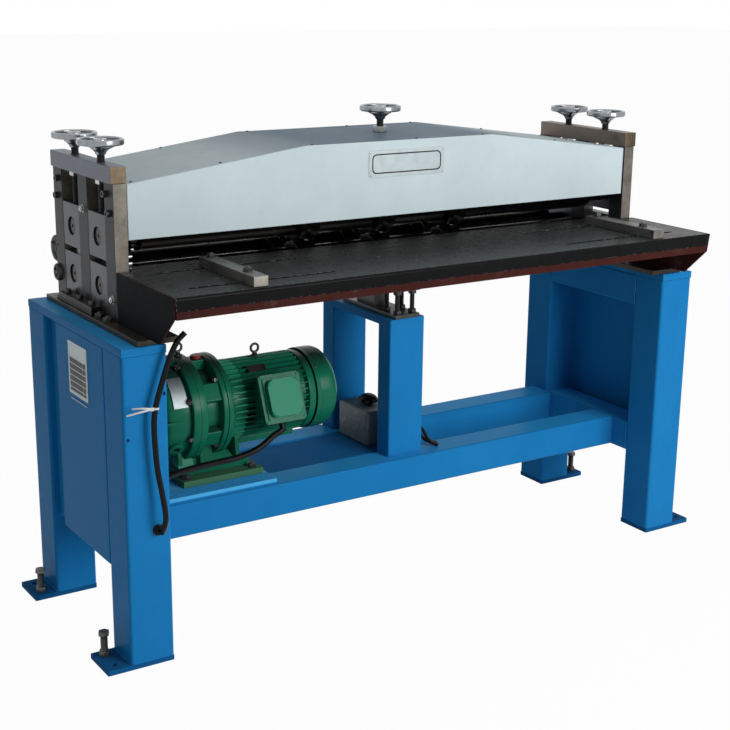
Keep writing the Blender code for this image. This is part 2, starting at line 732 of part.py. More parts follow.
def stand_top(side_name, side):
    """The top rail between the legs, welded under the plate that closes both legs."""
    low_x, high_x = mirrored(side, STAND_INNER_X, STAND_OUTER_X)
    plate = box(
        f"{side_name}_stand_top",
        (low_x, STAND_FRONT_Y, TOP_RAIL_TOP_Z + TOUCH_GAP),
        (high_x, STAND_REAR_Y, STAND_HEIGHT),
        "blue_paint",
    )
    low_x, high_x = mirrored(side, STAND_INNER_X, CROSS_OUTER_X)
    low = (low_x, STAND_FRONT_Y + LEG_SIZE + TOUCH_GAP, TOP_RAIL_TOP_Z - RAIL_SIZE)
    high = (high_x, STAND_REAR_Y - LEG_SIZE - TOUCH_GAP, TOP_RAIL_TOP_Z + 2 * WELD_OVERLAP)
    rail = box(f"{side_name}_top_rail", low, high, "blue_paint")
    join(plate, rail)
    inside_low = (low[0] + TUBE_WALL, low[1] - TUBE_WALL, low[2] + TUBE_WALL)
    inside_high = (high[0] - TUBE_WALL, high[1] + TUBE_WALL, TOP_RAIL_TOP_Z - TUBE_WALL)
    return cut(plate, box(plate.name + "_inside", inside_low, inside_high, "blue_paint"))


def cross_rail(side_name, side):
    low_x, high_x = mirrored(side, STAND_INNER_X, CROSS_OUTER_X)
    return square_tube(
        f"{side_name}_cross_rail",
        (low_x, STAND_FRONT_Y + LEG_SIZE + TOUCH_GAP, RAIL_BOTTOM_Z),
        (high_x, STAND_REAR_Y - LEG_SIZE - TOUCH_GAP, RAIL_TOP_Z),
        1,
    )


def side_panel(side_name, side, rear_y):
    """A folded sheet panel, flush with the legs' outer faces. Its rear fold stops at rear_y, and
    a thin skin closes the rest of the space up to the rear leg."""
    name = f"{side_name}_side_panel"
    front_y = STAND_FRONT_Y + LEG_SIZE + TOUCH_GAP
    low_x, high_x = mirrored(side, STAND_OUTER_X - PANEL_DEPTH, STAND_OUTER_X)
    top_z = TOP_RAIL_TOP_Z
    panel = box(name, (low_x, front_y, RAIL_BOTTOM_Z), (high_x, rear_y, top_z), "blue_paint")
    inner_x = STAND_OUTER_X - PANEL_DEPTH - PANEL_SHEET
    low_x, high_x = mirrored(side, inner_x, STAND_OUTER_X - PANEL_SHEET)
    inside = box(
        name + "_inside",
        (low_x, front_y + PANEL_SHEET, RAIL_BOTTOM_Z + PANEL_SHEET),
        (high_x, rear_y - PANEL_SHEET, top_z - PANEL_SHEET),
        "blue_paint",
    )
    cut(panel, inside)
    leg_y = STAND_REAR_Y - LEG_SIZE - TOUCH_GAP
    if rear_y < leg_y - PANEL_SHEET:
        low_x, high_x = mirrored(
            side, STAND_OUTER_X - PANEL_DEPTH, STAND_OUTER_X - PANEL_DEPTH + PANEL_SHEET
        )
        skin = box(
            name + "_skin",
            (low_x, rear_y - PANEL_SHEET, RAIL_BOTTOM_Z),
            (high_x, leg_y, top_z),
            "blue_paint",
        )
        join(panel, skin)
    return panel


def long_rails():
    end_x = STAND_INNER_X - TOUCH_GAP
    for name, front_y in (("front_rail", FRONT_RAIL_Y), ("rear_rail", REAR_RAIL_Y)):
        square_tube(
            name, (-end_x, front_y, RAIL_BOTTOM_Z), (end_x, front_y + RAIL_SIZE, RAIL_TOP_Z), 0
        )


def middle_portal():
    """Two flat posts on the rails, joined by a top plate."""
    low_x = PORTAL_X - PORTAL_WIDTH / 2
    high_x = PORTAL_X + PORTAL_WIDTH / 2
    front_y = FRONT_RAIL_Y + PORTAL_POST_INSET
    rear_y = REAR_RAIL_Y + RAIL_SIZE
    under_top = PORTAL_HEIGHT - PORTAL_TOP_THICKNESS
    top = box(
        "middle_portal",
        (low_x, front_y, under_top),
        (high_x, rear_y, PORTAL_HEIGHT),
        "blue_paint",
    )
    foot_z = RAIL_TOP_Z + TOUCH_GAP
    for post_name, post_y in (("front", front_y), ("rear", rear_y - PORTAL_POST_DEPTH)):
        low = (low_x, post_y, foot_z)
        high = (high_x, post_y + PORTAL_POST_DEPTH, under_top + WELD_OVERLAP)
        join(top, box(f"portal_{post_name}_post", low, high, "blue_paint"))
        inside_low = (low[0] + TUBE_WALL, low[1] + TUBE_WALL, low[2] - TUBE_WALL)
        inside_high = (high[0] - TUBE_WALL, high[1] - TUBE_WALL, under_top - TUBE_WALL)
        cut(top, box(f"portal_{post_name}_inside", inside_low, inside_high, "blue_paint"))
    return top


def rail_plates():
    """The thick pad under the gearmotor and the thin shelf between the rails."""
    box(
        "motor_pad_plate",
        (-STAND_INNER_X + TOUCH_GAP, FRONT_RAIL_Y + MOTOR_PAD_INSET, RAIL_TOP_Z + TOUCH_GAP),
        (MOTOR_PAD_RIGHT_X, REAR_RAIL_Y + RAIL_SIZE, RAIL_TOP_Z + MOTOR_PAD_THICKNESS),
        "blue_paint",
    )
    shelf_top = RAIL_TOP_Z - SHELF_DROP
    box(
        "shelf_plate",
        (MOTOR_PAD_RIGHT_X, SHELF_FRONT_Y, shelf_top - SHELF_THICKNESS),
        (PORTAL_X + PORTAL_WIDTH / 2, REAR_RAIL_Y - TOUCH_GAP, shelf_top),
        "blue_paint",
    )


def stands():
    for side_name, side in (("left", -1), ("right", 1)):
        leg(side_name, side, "front", STAND_FRONT_Y)
        leg(side_name, side, "rear", STAND_REAR_Y - LEG_SIZE)
        stand_top(side_name, side)
        cross_rail(side_name, side)
        rear_y = STAND_REAR_Y - LEG_SIZE - TOUCH_GAP
        if side_name == "left":
            rear_y -= PANEL_RECESS
        side_panel(side_name, side, rear_y)
    long_rails()
    middle_portal()
    rail_plates()


# Head: end frames, caps and blocks


def bed_plate(side_name, side):
    """The steel plate under an end frame, with the hex bolts that hold it down."""
    low_x, high_x = mirrored(side, BED_PLATE_INNER_X, BED_PLATE_OUTER_X)
    bottom = STAND_HEIGHT + TOUCH_GAP
    top = bottom + BED_PLATE_THICKNESS
    plate = box(
        f"{side_name}_bed_plate",
        (low_x, BED_PLATE_FRONT_Y, bottom),
        (high_x, END_FRAME_REAR_Y, top),
        "frame_steel",
    )
    bolt_x = side * (END_FRAME_OUTER_X + FLANGE_WIDTH / 2)
    flange_y = flange_span()
    nut_reach = 1.4 * STUD_NUT_RADIUS
    bolt_ys = (
        flange_y[0] - nut_reach,
        flange_y[0] - 4 * nut_reach,
        flange_y[1] + nut_reach,
    )
    for i, y in enumerate(bolt_ys):
        bolt = rod(
            f"{side_name}_bed_bolt_{i}",
            (bolt_x, y, top - WELD_OVERLAP),
            (bolt_x, y, top + STUD_NUT_HEIGHT),
            STUD_NUT_RADIUS,
            "black_steel",
            HEX_FACETS,
        )
        join(plate, bolt)
    return plate


def flange_span():
    middle = END_FRAME_FRONT_Y + 0.52 * END_FRAME_DEPTH
    return middle - FLANGE_LENGTH / 2, middle + FLANGE_LENGTH / 2


def end_frame(side_name, side):
    """A thick plate with two slots open at the top and a bore under each for a lower roll."""
    half_slot = SLOT_WIDTH / 2
    outline = [
        (END_FRAME_FRONT_Y, END_FRAME_BOTTOM_Z),
        (END_FRAME_REAR_Y, END_FRAME_BOTTOM_Z),
        (END_FRAME_REAR_Y, END_FRAME_TOP_Z),
        (REAR_ROLL_Y + half_slot, END_FRAME_TOP_Z),
        (REAR_ROLL_Y + half_slot, SLOT_BOTTOM_Z),
        (REAR_ROLL_Y - half_slot, SLOT_BOTTOM_Z),
        (REAR_ROLL_Y - half_slot, END_FRAME_TOP_Z),
        (FRONT_ROLL_Y + half_slot, END_FRAME_TOP_Z),
        (FRONT_ROLL_Y + half_slot, SLOT_BOTTOM_Z),
        (FRONT_ROLL_Y - half_slot, SLOT_BOTTOM_Z),
        (FRONT_ROLL_Y - half_slot, END_FRAME_TOP_Z),
        (END_FRAME_FRONT_Y, END_FRAME_TOP_Z),
    ]
    bores = [
        ring_of_points((y, LOWER_ROLL_Z), BORE_RADIUS, ROUND_FACETS)
        for y in (FRONT_ROLL_Y, REAR_ROLL_Y)
    ]
    low_x, high_x = mirrored(side, END_FRAME_INNER_X, END_FRAME_OUTER_X)
    plate = slab(f"{side_name}_end_frame", [outline, *bores], "X", low_x, high_x, "frame_steel")
    low_y, high_y = flange_span()
    low_x, high_x = mirrored(
        side, END_FRAME_OUTER_X - WELD_OVERLAP, END_FRAME_OUTER_X + FLANGE_WIDTH
    )
    flange = box(
        f"{side_name}_foot_flange",
        (low_x, low_y, END_FRAME_BOTTOM_Z),
        (high_x, high_y, END_FRAME_BOTTOM_Z + FLANGE_HEIGHT),
        "frame_steel",
    )
    join(plate, flange)
    for screw in side_screws(side_name, side):
        join(plate, screw)
    if side_name == "left":
        join(plate, *bearing_caps())
    return plate


def side_screws(side_name, side):
    """Screw heads on an end frame's outer face: four socket heads and two hex heads."""
    start_x = side * (END_FRAME_OUTER_X - WELD_OVERLAP)
    between_rolls = (FRONT_ROLL_Y + REAR_ROLL_Y) / 2
    upper_z = END_FRAME_TOP_Z - 0.25 * SLOT_WIDTH
    lower_z = END_FRAME_TOP_Z - 0.66 * SLOT_WIDTH
    cheek = (SLOT_WIDTH - BLOCK_SIDE_GAP) / 2 + 1.4 * SIDE_SCREW_RADIUS
    heads = (
        (FRONT_ROLL_Y - cheek, upper_z, SMALL_FACETS),
        (FRONT_ROLL_Y - cheek - 2 * SIDE_SCREW_RADIUS, lower_z, SMALL_FACETS),
        (REAR_ROLL_Y + cheek + SIDE_SCREW_RADIUS, upper_z, SMALL_FACETS),
        (REAR_ROLL_Y + cheek + 2 * SIDE_SCREW_RADIUS, lower_z, SMALL_FACETS),
        (between_rolls, END_FRAME_TOP_Z - 0.77 * SLOT_WIDTH, HEX_FACETS),
        (END_FRAME_FRONT_Y + 0.2 * SLOT_WIDTH, LOWER_ROLL_Z - JOURNAL_RADIUS, HEX_FACETS),
    )
    for i, (y, z, facets) in enumerate(heads):
        reach = SIDE_SCREW_RADIUS * (1.6 if facets == SMALL_FACETS else 1)
        yield rod(
            f"{side_name}_side_screw_{i}",
            (start_x, y, z),
            (start_x + side * (reach + WELD_OVERLAP), y, z),
            SIDE_SCREW_RADIUS,
            "black_steel",
            facets,
        )


def bearing_caps():
    """The round caps at the left end frame's rear edge, on their small plate."""
    face_x = -END_FRAME_OUTER_X
    plate_x = face_x + BIG_CAP_RECESS + CAP_DISC_THICKNESS
    plate = box(
        "bearing_cap_plate",
        (plate_x, END_FRAME_REAR_Y - WELD_OVERLAP, CAP_PLATE_BOTTOM_Z),
        (plate_x + CAP_DISC_THICKNESS, END_FRAME_REAR_Y + CAP_PLATE_DEPTH, CAP_PLATE_TOP_Z),
        "frame_steel",
    )
    discs = (
        ("big", face_x + BIG_CAP_RECESS, BIG_CAP_BACK, BIG_CAP_Z, BIG_CAP_RADIUS),
        ("small", face_x - CAP_DISC_THICKNESS, -SMALL_CAP_INSET, SMALL_CAP_Z, SMALL_CAP_RADIUS),
    )
    yield plate
    for size, outer_x, back, z, radius in discs:
        y = END_FRAME_REAR_Y + back
        yield rod(
            f"{size}_bearing_cap",
            (outer_x, y, z),
            (plate_x + WELD_OVERLAP, y, z),
            radius,
            "frame_steel",
        )


def cap_bar(side_name, side):
    """The bar bolted over the slots, with the square nuts that the press screws turn in."""
    low_x, high_x = mirrored(side, END_FRAME_INNER_X, END_FRAME_INNER_X + CAP_BAR_WIDTH)
    bottom = END_FRAME_TOP_Z + TOUCH_GAP
    bar = box(
        f"{side_name}_cap_bar",
        (low_x, END_FRAME_FRONT_Y, bottom),
        (high_x, END_FRAME_REAR_Y, CAP_TOP_Z),
        "frame_steel",
    )
    half = SCREW_NUT_SIZE / 2
    for row_name, y in (("front", FRONT_ROLL_Y), ("rear", REAR_ROLL_Y)):
        nut = box(
            f"{side_name}_{row_name}_screw_nut",
            (side * SCREW_X - half, y - half, bottom - SCREW_NUT_HEIGHT),
            (side * SCREW_X + half, y + half, bottom + WELD_OVERLAP),
            "chrome",
        )
        join(bar, nut)
        hole = rod(
            f"{side_name}_{row_name}_screw_hole",
            (side * SCREW_X, y, bottom - 2 * SCREW_NUT_HEIGHT),
            (side * SCREW_X, y, CAP_TOP_Z + SCREW_NUT_HEIGHT),
            SCREW_HOLE_RADIUS,
            "chrome",
            SMALL_FACETS,
        )
        cut(bar, hole)
    return bar


def upper_block(side_name, side, row_name, y):
    """A bearing block that slides in an end frame's slot and holds an upper roll's journal."""
    half = SLOT_WIDTH / 2 - BLOCK_SIDE_GAP
    middle_z = UPPER_ROLL_Z + BLOCK_RISE
    outline = [
        (y - half, middle_z - BLOCK_HEIGHT / 2),
        (y + half, middle_z - BLOCK_HEIGHT / 2),
        (y + half, middle_z + BLOCK_HEIGHT / 2),
        (y - half, middle_z + BLOCK_HEIGHT / 2),
    ]
    bore = ring_of_points((y, UPPER_ROLL_Z), BORE_RADIUS, ROUND_FACETS)
    low_x, high_x = mirrored(
        side, END_FRAME_INNER_X + BLOCK_SIDE_GAP, END_FRAME_OUTER_X - BLOCK_SIDE_GAP
    )
    return slab(
        f"{side_name}_{row_name}_upper_block", [outline, bore], "X", low_x, high_x, "frame_steel"
    )


# Rolls and gears


def gear_outline(teeth, centre, phase):
    """Straight-sided teeth, a little thinner than half a pitch, so that meshed gears stay clear."""
    pitch_radius = MODULE * teeth / 2
    root = pitch_radius - 1.12 * MODULE
    tip = pitch_radius + 0.80 * MODULE
    step = SHARE_OF_TURN / teeth
    outline = []
    for i in range(teeth):
        middle = phase + i * step
        for radius, share in ((root, -0.31), (tip, -0.12), (tip, 0.12), (root, 0.31)):
            angle = middle + share * step
            outline.append(
                (centre[0] + radius * math.cos(angle), centre[1] + radius * math.sin(angle))
            )
    return outline


def gear_span():
    high = -(END_FRAME_INNER_X - GEAR_FROM_FRAME)
    return high, high + GEAR_WIDTH


def roll_profile(beaded):
    """(radius, X) points of a roll from its right end to its left end: journals, necks, the plain
    body and three grooving rings, with a bead on the lower rings and a groove in the upper."""
    journal_end = END_FRAME_OUTER_X - JOURNAL_RECESS
    shoulder = END_FRAME_INNER_X - RUNNING_GAP
    points = [(0.0, journal_end), (JOURNAL_RADIUS, journal_end), (JOURNAL_RADIUS, shoulder)]
    points += [(HUB_RADIUS, shoulder), (HUB_RADIUS, ROLL_END_X), (ROLL_RADIUS, ROLL_END_X)]
    centre_radius = RING_RADIUS + BEAD_HEIGHT if beaded else RING_RADIUS - GROOVE_DEPTH
    centre_width = BEAD_WIDTH if beaded else GROOVE_WIDTH
    for ring in (1, 0, -1):
        x = RING_CENTRE_X + ring * RING_PITCH
        points += [
            (ROLL_RADIUS, x + RING_WIDTH / 2),
            (RING_RADIUS, x + RING_WIDTH / 2),
            (RING_RADIUS, x + centre_width),
            (centre_radius, x + centre_width / 2),
            (centre_radius, x - centre_width / 2),
            (RING_RADIUS, x - centre_width),
            (RING_RADIUS, x - RING_WIDTH / 2),
            (ROLL_RADIUS, x - RING_WIDTH / 2),
        ]
    points += [(ROLL_RADIUS, -ROLL_END_X), (HUB_RADIUS, -ROLL_END_X), (HUB_RADIUS, -shoulder)]
    points += [(JOURNAL_RADIUS, -shoulder), (JOURNAL_RADIUS, -journal_end), (0.0, -journal_end)]
    return points


def roll(name, y, z, beaded, gear_phase):
    """A roll with its gear fixed on its left neck."""
    made = turned(name, roll_profile(beaded), (0.0, y, z), (1, 0, 0), "roll_steel")
    low_x, high_x = gear_span()
    outline = gear_outline(ROLL_GEAR_TEETH, (y, z), gear_phase)
    gear = slab(name + "_gear", [outline], "X", low_x, high_x, "roll_steel", (y, z))
    return join(made, gear)


def sprocket_radius(teeth):
    return CHAIN_PITCH / (2 * math.sin(math.pi / teeth))


def sprocket_outline(teeth, centre):
    outer = sprocket_radius(teeth)
    step = SHARE_OF_TURN / teeth
    outline = []
    for i in range(teeth):
        for radius, share in ((outer - SPROCKET_TOOTH, -0.3), (outer, -0.1), (outer, 0.1)):
            angle = (i + share) * step
            outline.append(
                (centre[0] + radius * math.cos(angle), centre[1] + radius * math.sin(angle))
            )
    return outline


def rolls_and_gears():
    half_step = math.pi / ROLL_GEAR_TEETH
    lower_front = roll("lower_front_roll", FRONT_ROLL_Y, LOWER_ROLL_Z, True, 0.0)
    lower_rear = roll("lower_rear_roll", REAR_ROLL_Y, LOWER_ROLL_Z, True, half_step)
    upper_front = roll("upper_front_roll", FRONT_ROLL_Y, UPPER_ROLL_Z, False, half_step)
    upper_rear = roll("upper_rear_roll", REAR_ROLL_Y, UPPER_ROLL_Z, False, 0.0)
    sprocket = slab(
        "driven_sprocket",
        [sprocket_outline(DRIVEN_TEETH, (REAR_ROLL_Y, LOWER_ROLL_Z))],
        "X",
        CHAIN_X - SPROCKET_WIDTH / 2,
        CHAIN_X + SPROCKET_WIDTH / 2,
        "roll_steel",
    )
    join(lower_rear, sprocket)
    idler_centre = (FRONT_ROLL_Y + MODULE * (ROLL_GEAR_TEETH + IDLER_TEETH) / 2, LOWER_ROLL_Z)
    low_x, high_x = gear_span()
    idler = slab(
        "idler_gear",
        [gear_outline(IDLER_TEETH, idler_centre, 0.0)],
        "X",
        low_x,
        high_x,
        "roll_steel",
        idler_centre,
    )
    stub = rod(
        "idler_stub",
        (-END_FRAME_INNER_X + TOUCH_GAP, *idler_centre),
        (low_x + WELD_OVERLAP, *idler_centre),
        IDLER_STUB_RADIUS,
        "roll_steel",
        SMALL_FACETS,
    )
    join(idler, stub)
    return lower_front, lower_rear, upper_front, upper_rear, idler


# Handwheels


def handwheel(name, x, y, screw_foot_z, hub_foot_z):
    """A dished three-spoke handwheel with an upright rim, on its press screw."""
    foot_to_rim = hub_foot_z + WHEEL_RIM_LIFT
    hub = [
        (0.0, hub_foot_z + WHEEL_HEIGHT),
        (0.8 * WHEEL_HUB_RADIUS, hub_foot_z + WHEEL_HEIGHT),
        (WHEEL_HUB_RADIUS, hub_foot_z + 0.88 * WHEEL_HEIGHT),
        (WHEEL_HUB_RADIUS, hub_foot_z + 0.45 * WHEEL_HEIGHT),
        (WHEEL_HUB_FOOT_RADIUS, hub_foot_z),
        (SCREW_RADIUS, hub_foot_z),
        (SCREW_RADIUS, screw_foot_z),
        (0.0, screw_foot_z),
    ]
    hub = [(radius, z - foot_to_rim) for radius, z in hub]
    made = turned(name, hub, (x, y, foot_to_rim), (0, 0, 1), "chrome", SMALL_FACETS)
    inner = WHEEL_RADIUS - RIM_THICKNESS
    section = [
        (inner + RIM_CHAMFER, RIM_HEIGHT / 2),
        (WHEEL_RADIUS - RIM_CHAMFER, RIM_HEIGHT / 2),
        (WHEEL_RADIUS, RIM_HEIGHT / 2 - RIM_CHAMFER),
        (WHEEL_RADIUS, RIM_CHAMFER - RIM_HEIGHT / 2),
        (WHEEL_RADIUS - RIM_CHAMFER, -RIM_HEIGHT / 2),
        (inner + RIM_CHAMFER, -RIM_HEIGHT / 2),
        (inner, RIM_CHAMFER - RIM_HEIGHT / 2),
        (inner, RIM_HEIGHT / 2 - RIM_CHAMFER),
        (inner + RIM_CHAMFER, RIM_HEIGHT / 2),
    ]
    rim = turned(name + "_rim", section, (x, y, foot_to_rim), (0, 0, 1), "chrome")
    spokes = []
    for i in range(SPOKES):
        angle = SHARE_OF_TURN * i / SPOKES
        outward = Vector((math.cos(angle), math.sin(angle), 0.0))
        hub_point = Vector((x, y, hub_foot_z + 0.32 * WHEEL_HEIGHT))
        rim_point = Vector((x, y, foot_to_rim)) + outward * (inner + RIM_THICKNESS / 4)
        spokes.append(
            rod(
                f"{name}_spoke_{i}",
                hub_point,
                rim_point,
                SPOKE_RADIUS,
                "chrome",
                HEX_FACETS,
                SPOKE_RADIUS / 2,
            )
        )
    return join(made, rim, *spokes)


def screws_and_blocks():
    """Both pairs of upper blocks and the four press screws that set their height."""
    block_top = UPPER_ROLL_Z + BLOCK_RISE + BLOCK_HEIGHT / 2
    hub_foot = CAP_TOP_Z + WHEEL_HUB_LIFT
    carriages = {}
    for row_name, y in (("front", FRONT_ROLL_Y), ("rear", REAR_ROLL_Y)):
        moving = []
        for side_name, side in (("left", -1), ("right", 1)):
            moving.append(upper_block(side_name, side, row_name, y))
            wheel = handwheel(
                f"{side_name}_{row_name}_handwheel",
                side * SCREW_X,
                y,
                block_top + TOUCH_GAP,
                hub_foot,
            )
            moving.append(wheel)
        carriages[row_name] = moving
    return carriages


# Centre beam, saddle and support


def bridge_beam():
    """A tube between the end frames. Its boss carries the centre screw up through the cover."""
    middle_y = (FRONT_ROLL_Y + REAR_ROLL_Y) / 2
    end_x = END_FRAME_INNER_X - TOUCH_GAP
    low = (-end_x, middle_y - BEAM_DEPTH / 2, BEAM_TOP_Z - BEAM_HEIGHT)
    high = (end_x, middle_y + BEAM_DEPTH / 2, BEAM_TOP_Z)
    beam = square_tube("bridge_beam", low, high, 0, "black_steel")
    boss = rod(
        "bridge_boss",
        (CENTRE_SCREW_X, middle_y, BEAM_TOP_Z - BEAM_HEIGHT + WELD_OVERLAP),
        (CENTRE_SCREW_X, middle_y, COVER_TOP_Z + TOUCH_GAP + WELD_OVERLAP),
        BOSS_RADIUS,
        "black_steel",
    )
    nut = rod(
        "bridge_nut",
        (CENTRE_SCREW_X, middle_y, COVER_TOP_Z + TOUCH_GAP),
        (CENTRE_SCREW_X, middle_y, COVER_TOP_Z + HEX_NUT_HEIGHT),
        HEX_NUT_RADIUS,
        "chrome",
        HEX_FACETS,
    )
    join(beam, boss, nut)
    hole = rod(
        "bridge_hole",
        (CENTRE_SCREW_X, middle_y, BEAM_TOP_Z - 2 * BEAM_HEIGHT),
        (CENTRE_SCREW_X, middle_y, COVER_TOP_Z + 2 * HEX_NUT_HEIGHT),
        SCREW_HOLE_RADIUS,
        "black_steel",
        SMALL_FACETS,
    )
    return cut(beam, hole)


def backing_roller(name, x, y, z):
    half = BACKING_LENGTH / 2
    return rod(name, (x - half, y, z), (x + half, y, z), BACKING_RADIUS, "roll_steel", SMALL_FACETS)


def centre_saddle():
    """The plate under the centre screw, with a backing roller over each upper roll."""
    beam_bottom = BEAM_TOP_Z - BEAM_HEIGHT
    lifted_roll_top = UPPER_ROLL_Z + ROLL_RADIUS + LIFT_TRAVEL
    roller_z = lifted_roll_top + SADDLE_TRAVEL + RUNNING_GAP + BACKING_RADIUS
    half = SADDLE_WIDTH / 2
    saddle = box(
        "centre_saddle",
        (CENTRE_SCREW_X - half, FRONT_ROLL_Y, roller_z),
        (CENTRE_SCREW_X + half, REAR_ROLL_Y, beam_bottom - TOUCH_GAP),
        "black_steel",
    )
    for row_name, y in (("front", FRONT_ROLL_Y), ("rear", REAR_ROLL_Y)):
        join(saddle, backing_roller(f"upper_{row_name}_backing", CENTRE_SCREW_X, y, roller_z))
    return saddle


def centre_support():
    """The pillar on the portal that backs up the lower rolls, with its levelling studs."""
    foot_z = PORTAL_HEIGHT + TOUCH_GAP
    roller_z = LOWER_ROLL_Z - ROLL_RADIUS - RUNNING_GAP - BACKING_RADIUS
    half = SUPPORT_WIDTH / 2
    low_y = FRONT_RAIL_Y + PORTAL_POST_INSET
    high_y = REAR_ROLL_Y + BACKING_RADIUS
    support = box(
        "centre_support",
        (PORTAL_X - half, low_y, foot_z),
        (PORTAL_X + half, high_y, foot_z + SUPPORT_FOOT_THICKNESS),
        "black_steel",
    )
    middle_y = (FRONT_ROLL_Y + REAR_ROLL_Y) / 2
    yoke_top = LOWER_ROLL_Z - RING_RADIUS - BEAD_HEIGHT - SUPPORT_CLEARANCE
    pillar = box(
        "support_pillar",
        (PORTAL_X - SUPPORT_PILLAR / 2, middle_y - SUPPORT_PILLAR, foot_z + WELD_OVERLAP),
        (PORTAL_X + SUPPORT_PILLAR / 2, middle_y + SUPPORT_PILLAR, yoke_top - WELD_OVERLAP),
        "black_steel",
    )
    yoke = box(
        "support_yoke",
        (PORTAL_X - half, low_y, yoke_top - SUPPORT_TOP_THICKNESS),
        (PORTAL_X + half, high_y, yoke_top),
        "black_steel",
    )
    join(support, pillar, yoke)
    for row_name, y in (("front", FRONT_ROLL_Y), ("rear", REAR_ROLL_Y)):
        cradle = box(
            f"lower_{row_name}_cradle",
            (CENTRE_SCREW_X - 0.4 * BACKING_LENGTH, y - BACKING_RADIUS, yoke_top - WELD_OVERLAP),
            (CENTRE_SCREW_X + 0.4 * BACKING_LENGTH, y + BACKING_RADIUS, roller_z),
            "black_steel",
        )
        roller = backing_roller(f"lower_{row_name}_backing", CENTRE_SCREW_X, y, roller_z)
        join(support, cradle, roller)
    stud_y = low_y + 1.3 * STUD_NUT_RADIUS
    for i, side in enumerate((-1, 1)):
        x = PORTAL_X + side * (half - 1.2 * STUD_NUT_RADIUS)
        stud = rod(
            f"support_stud_{i}",
            (x, stud_y, foot_z + WELD_OVERLAP),
            (x, stud_y, yoke_top - WELD_OVERLAP),
            STUD_RADIUS,
            "black_steel",
            SMALL_FACETS,
        )
        nut_z = yoke_top - SUPPORT_TOP_THICKNESS
        nut = rod(
            f"support_nut_{i}",
            (x, stud_y, nut_z - STUD_NUT_HEIGHT),
            (x, stud_y, nut_z + WELD_OVERLAP),
            STUD_NUT_RADIUS,
            "black_steel",
            HEX_FACETS,
        )
        join(support, stud, nut)
    return support


# Cover and plates


def cover_outline(inset, drop):
    """The cover's front view: upright ends, two slopes and a flat middle. Inset lowers the top and
    drop lengthens the open bottom, for the cutter that hollows it."""
    end = COVER_HALF_LENGTH + drop
    slope = (COVER_TOP_Z - COVER_SHOULDER_Z) / (COVER_HALF_LENGTH - COVER_FLAT_HALF_LENGTH)
    end_z = COVER_SHOULDER_Z - inset - slope * drop
    top_z = COVER_TOP_Z - inset
    return [
        (-end, COVER_BOTTOM_Z - drop),
        (end, COVER_BOTTOM_Z - drop),
        (end, end_z),
        (COVER_FLAT_HALF_LENGTH, top_z),
        (-COVER_FLAT_HALF_LENGTH, top_z),
        (-end, end_z),
    ]


def cover():
    shell = slab(
        "cover", [cover_outline(0.0, 0.0)], "Y", COVER_FRONT_Y, COVER_REAR_Y, "cover_paint"
    )
    inside = slab(
        "cover_inside",
        [cover_outline(COVER_SHEET, 5 * COVER_SHEET)],
        "Y",
        COVER_FRONT_Y + COVER_SHEET,
        COVER_REAR_Y - COVER_SHEET,
        "cover_paint",
    )
    middle_y = (FRONT_ROLL_Y + REAR_ROLL_Y) / 2
    hole = rod(
        "cover_hole",
        (CENTRE_SCREW_X, middle_y, COVER_TOP_Z - BEAM_HEIGHT / 2),
        (CENTRE_SCREW_X, middle_y, COVER_TOP_Z + BEAM_HEIGHT / 2),
        BOSS_RADIUS + RUNNING_GAP,
        "cover_paint",
    )
    return cut(shell, inside, hole)


def thin_plate(name, low, high):
    return box(name, low, high, "plate_silver")


def plates():
    half = NAMEPLATE_LENGTH / 2
    half_height = NAMEPLATE_HEIGHT / 2
    thin_plate(
        "nameplate",
        (
            NAMEPLATE_CENTRE_X - half,
            COVER_FRONT_Y - TOUCH_GAP - NAMEPLATE_THICKNESS,
            NAMEPLATE_CENTRE_Z - half_height,
        ),
        (
            NAMEPLATE_CENTRE_X + half,
            COVER_FRONT_Y - TOUCH_GAP,
            NAMEPLATE_CENTRE_Z + half_height,
        ),
    )
    front_y = STAND_FRONT_Y + RATING_SETBACK
    thin_plate(
        "rating_plate",
        (-STAND_OUTER_X - TOUCH_GAP - RATING_THICKNESS, front_y, RATING_BOTTOM_Z),
        (-STAND_OUTER_X - TOUCH_GAP, front_y + RATING_LENGTH, RATING_TOP_Z),
    )


# Work table


def table_slot(name, side, y):
    low_x, high_x = mirrored(side, TABLE_SLOT_START_X, TABLE_SLOT_END_X)
    half = TABLE_SLOT_WIDTH / 2
    return [(low_x, y - half), (high_x, y - half), (high_x, y + half), (low_x, y + half)]


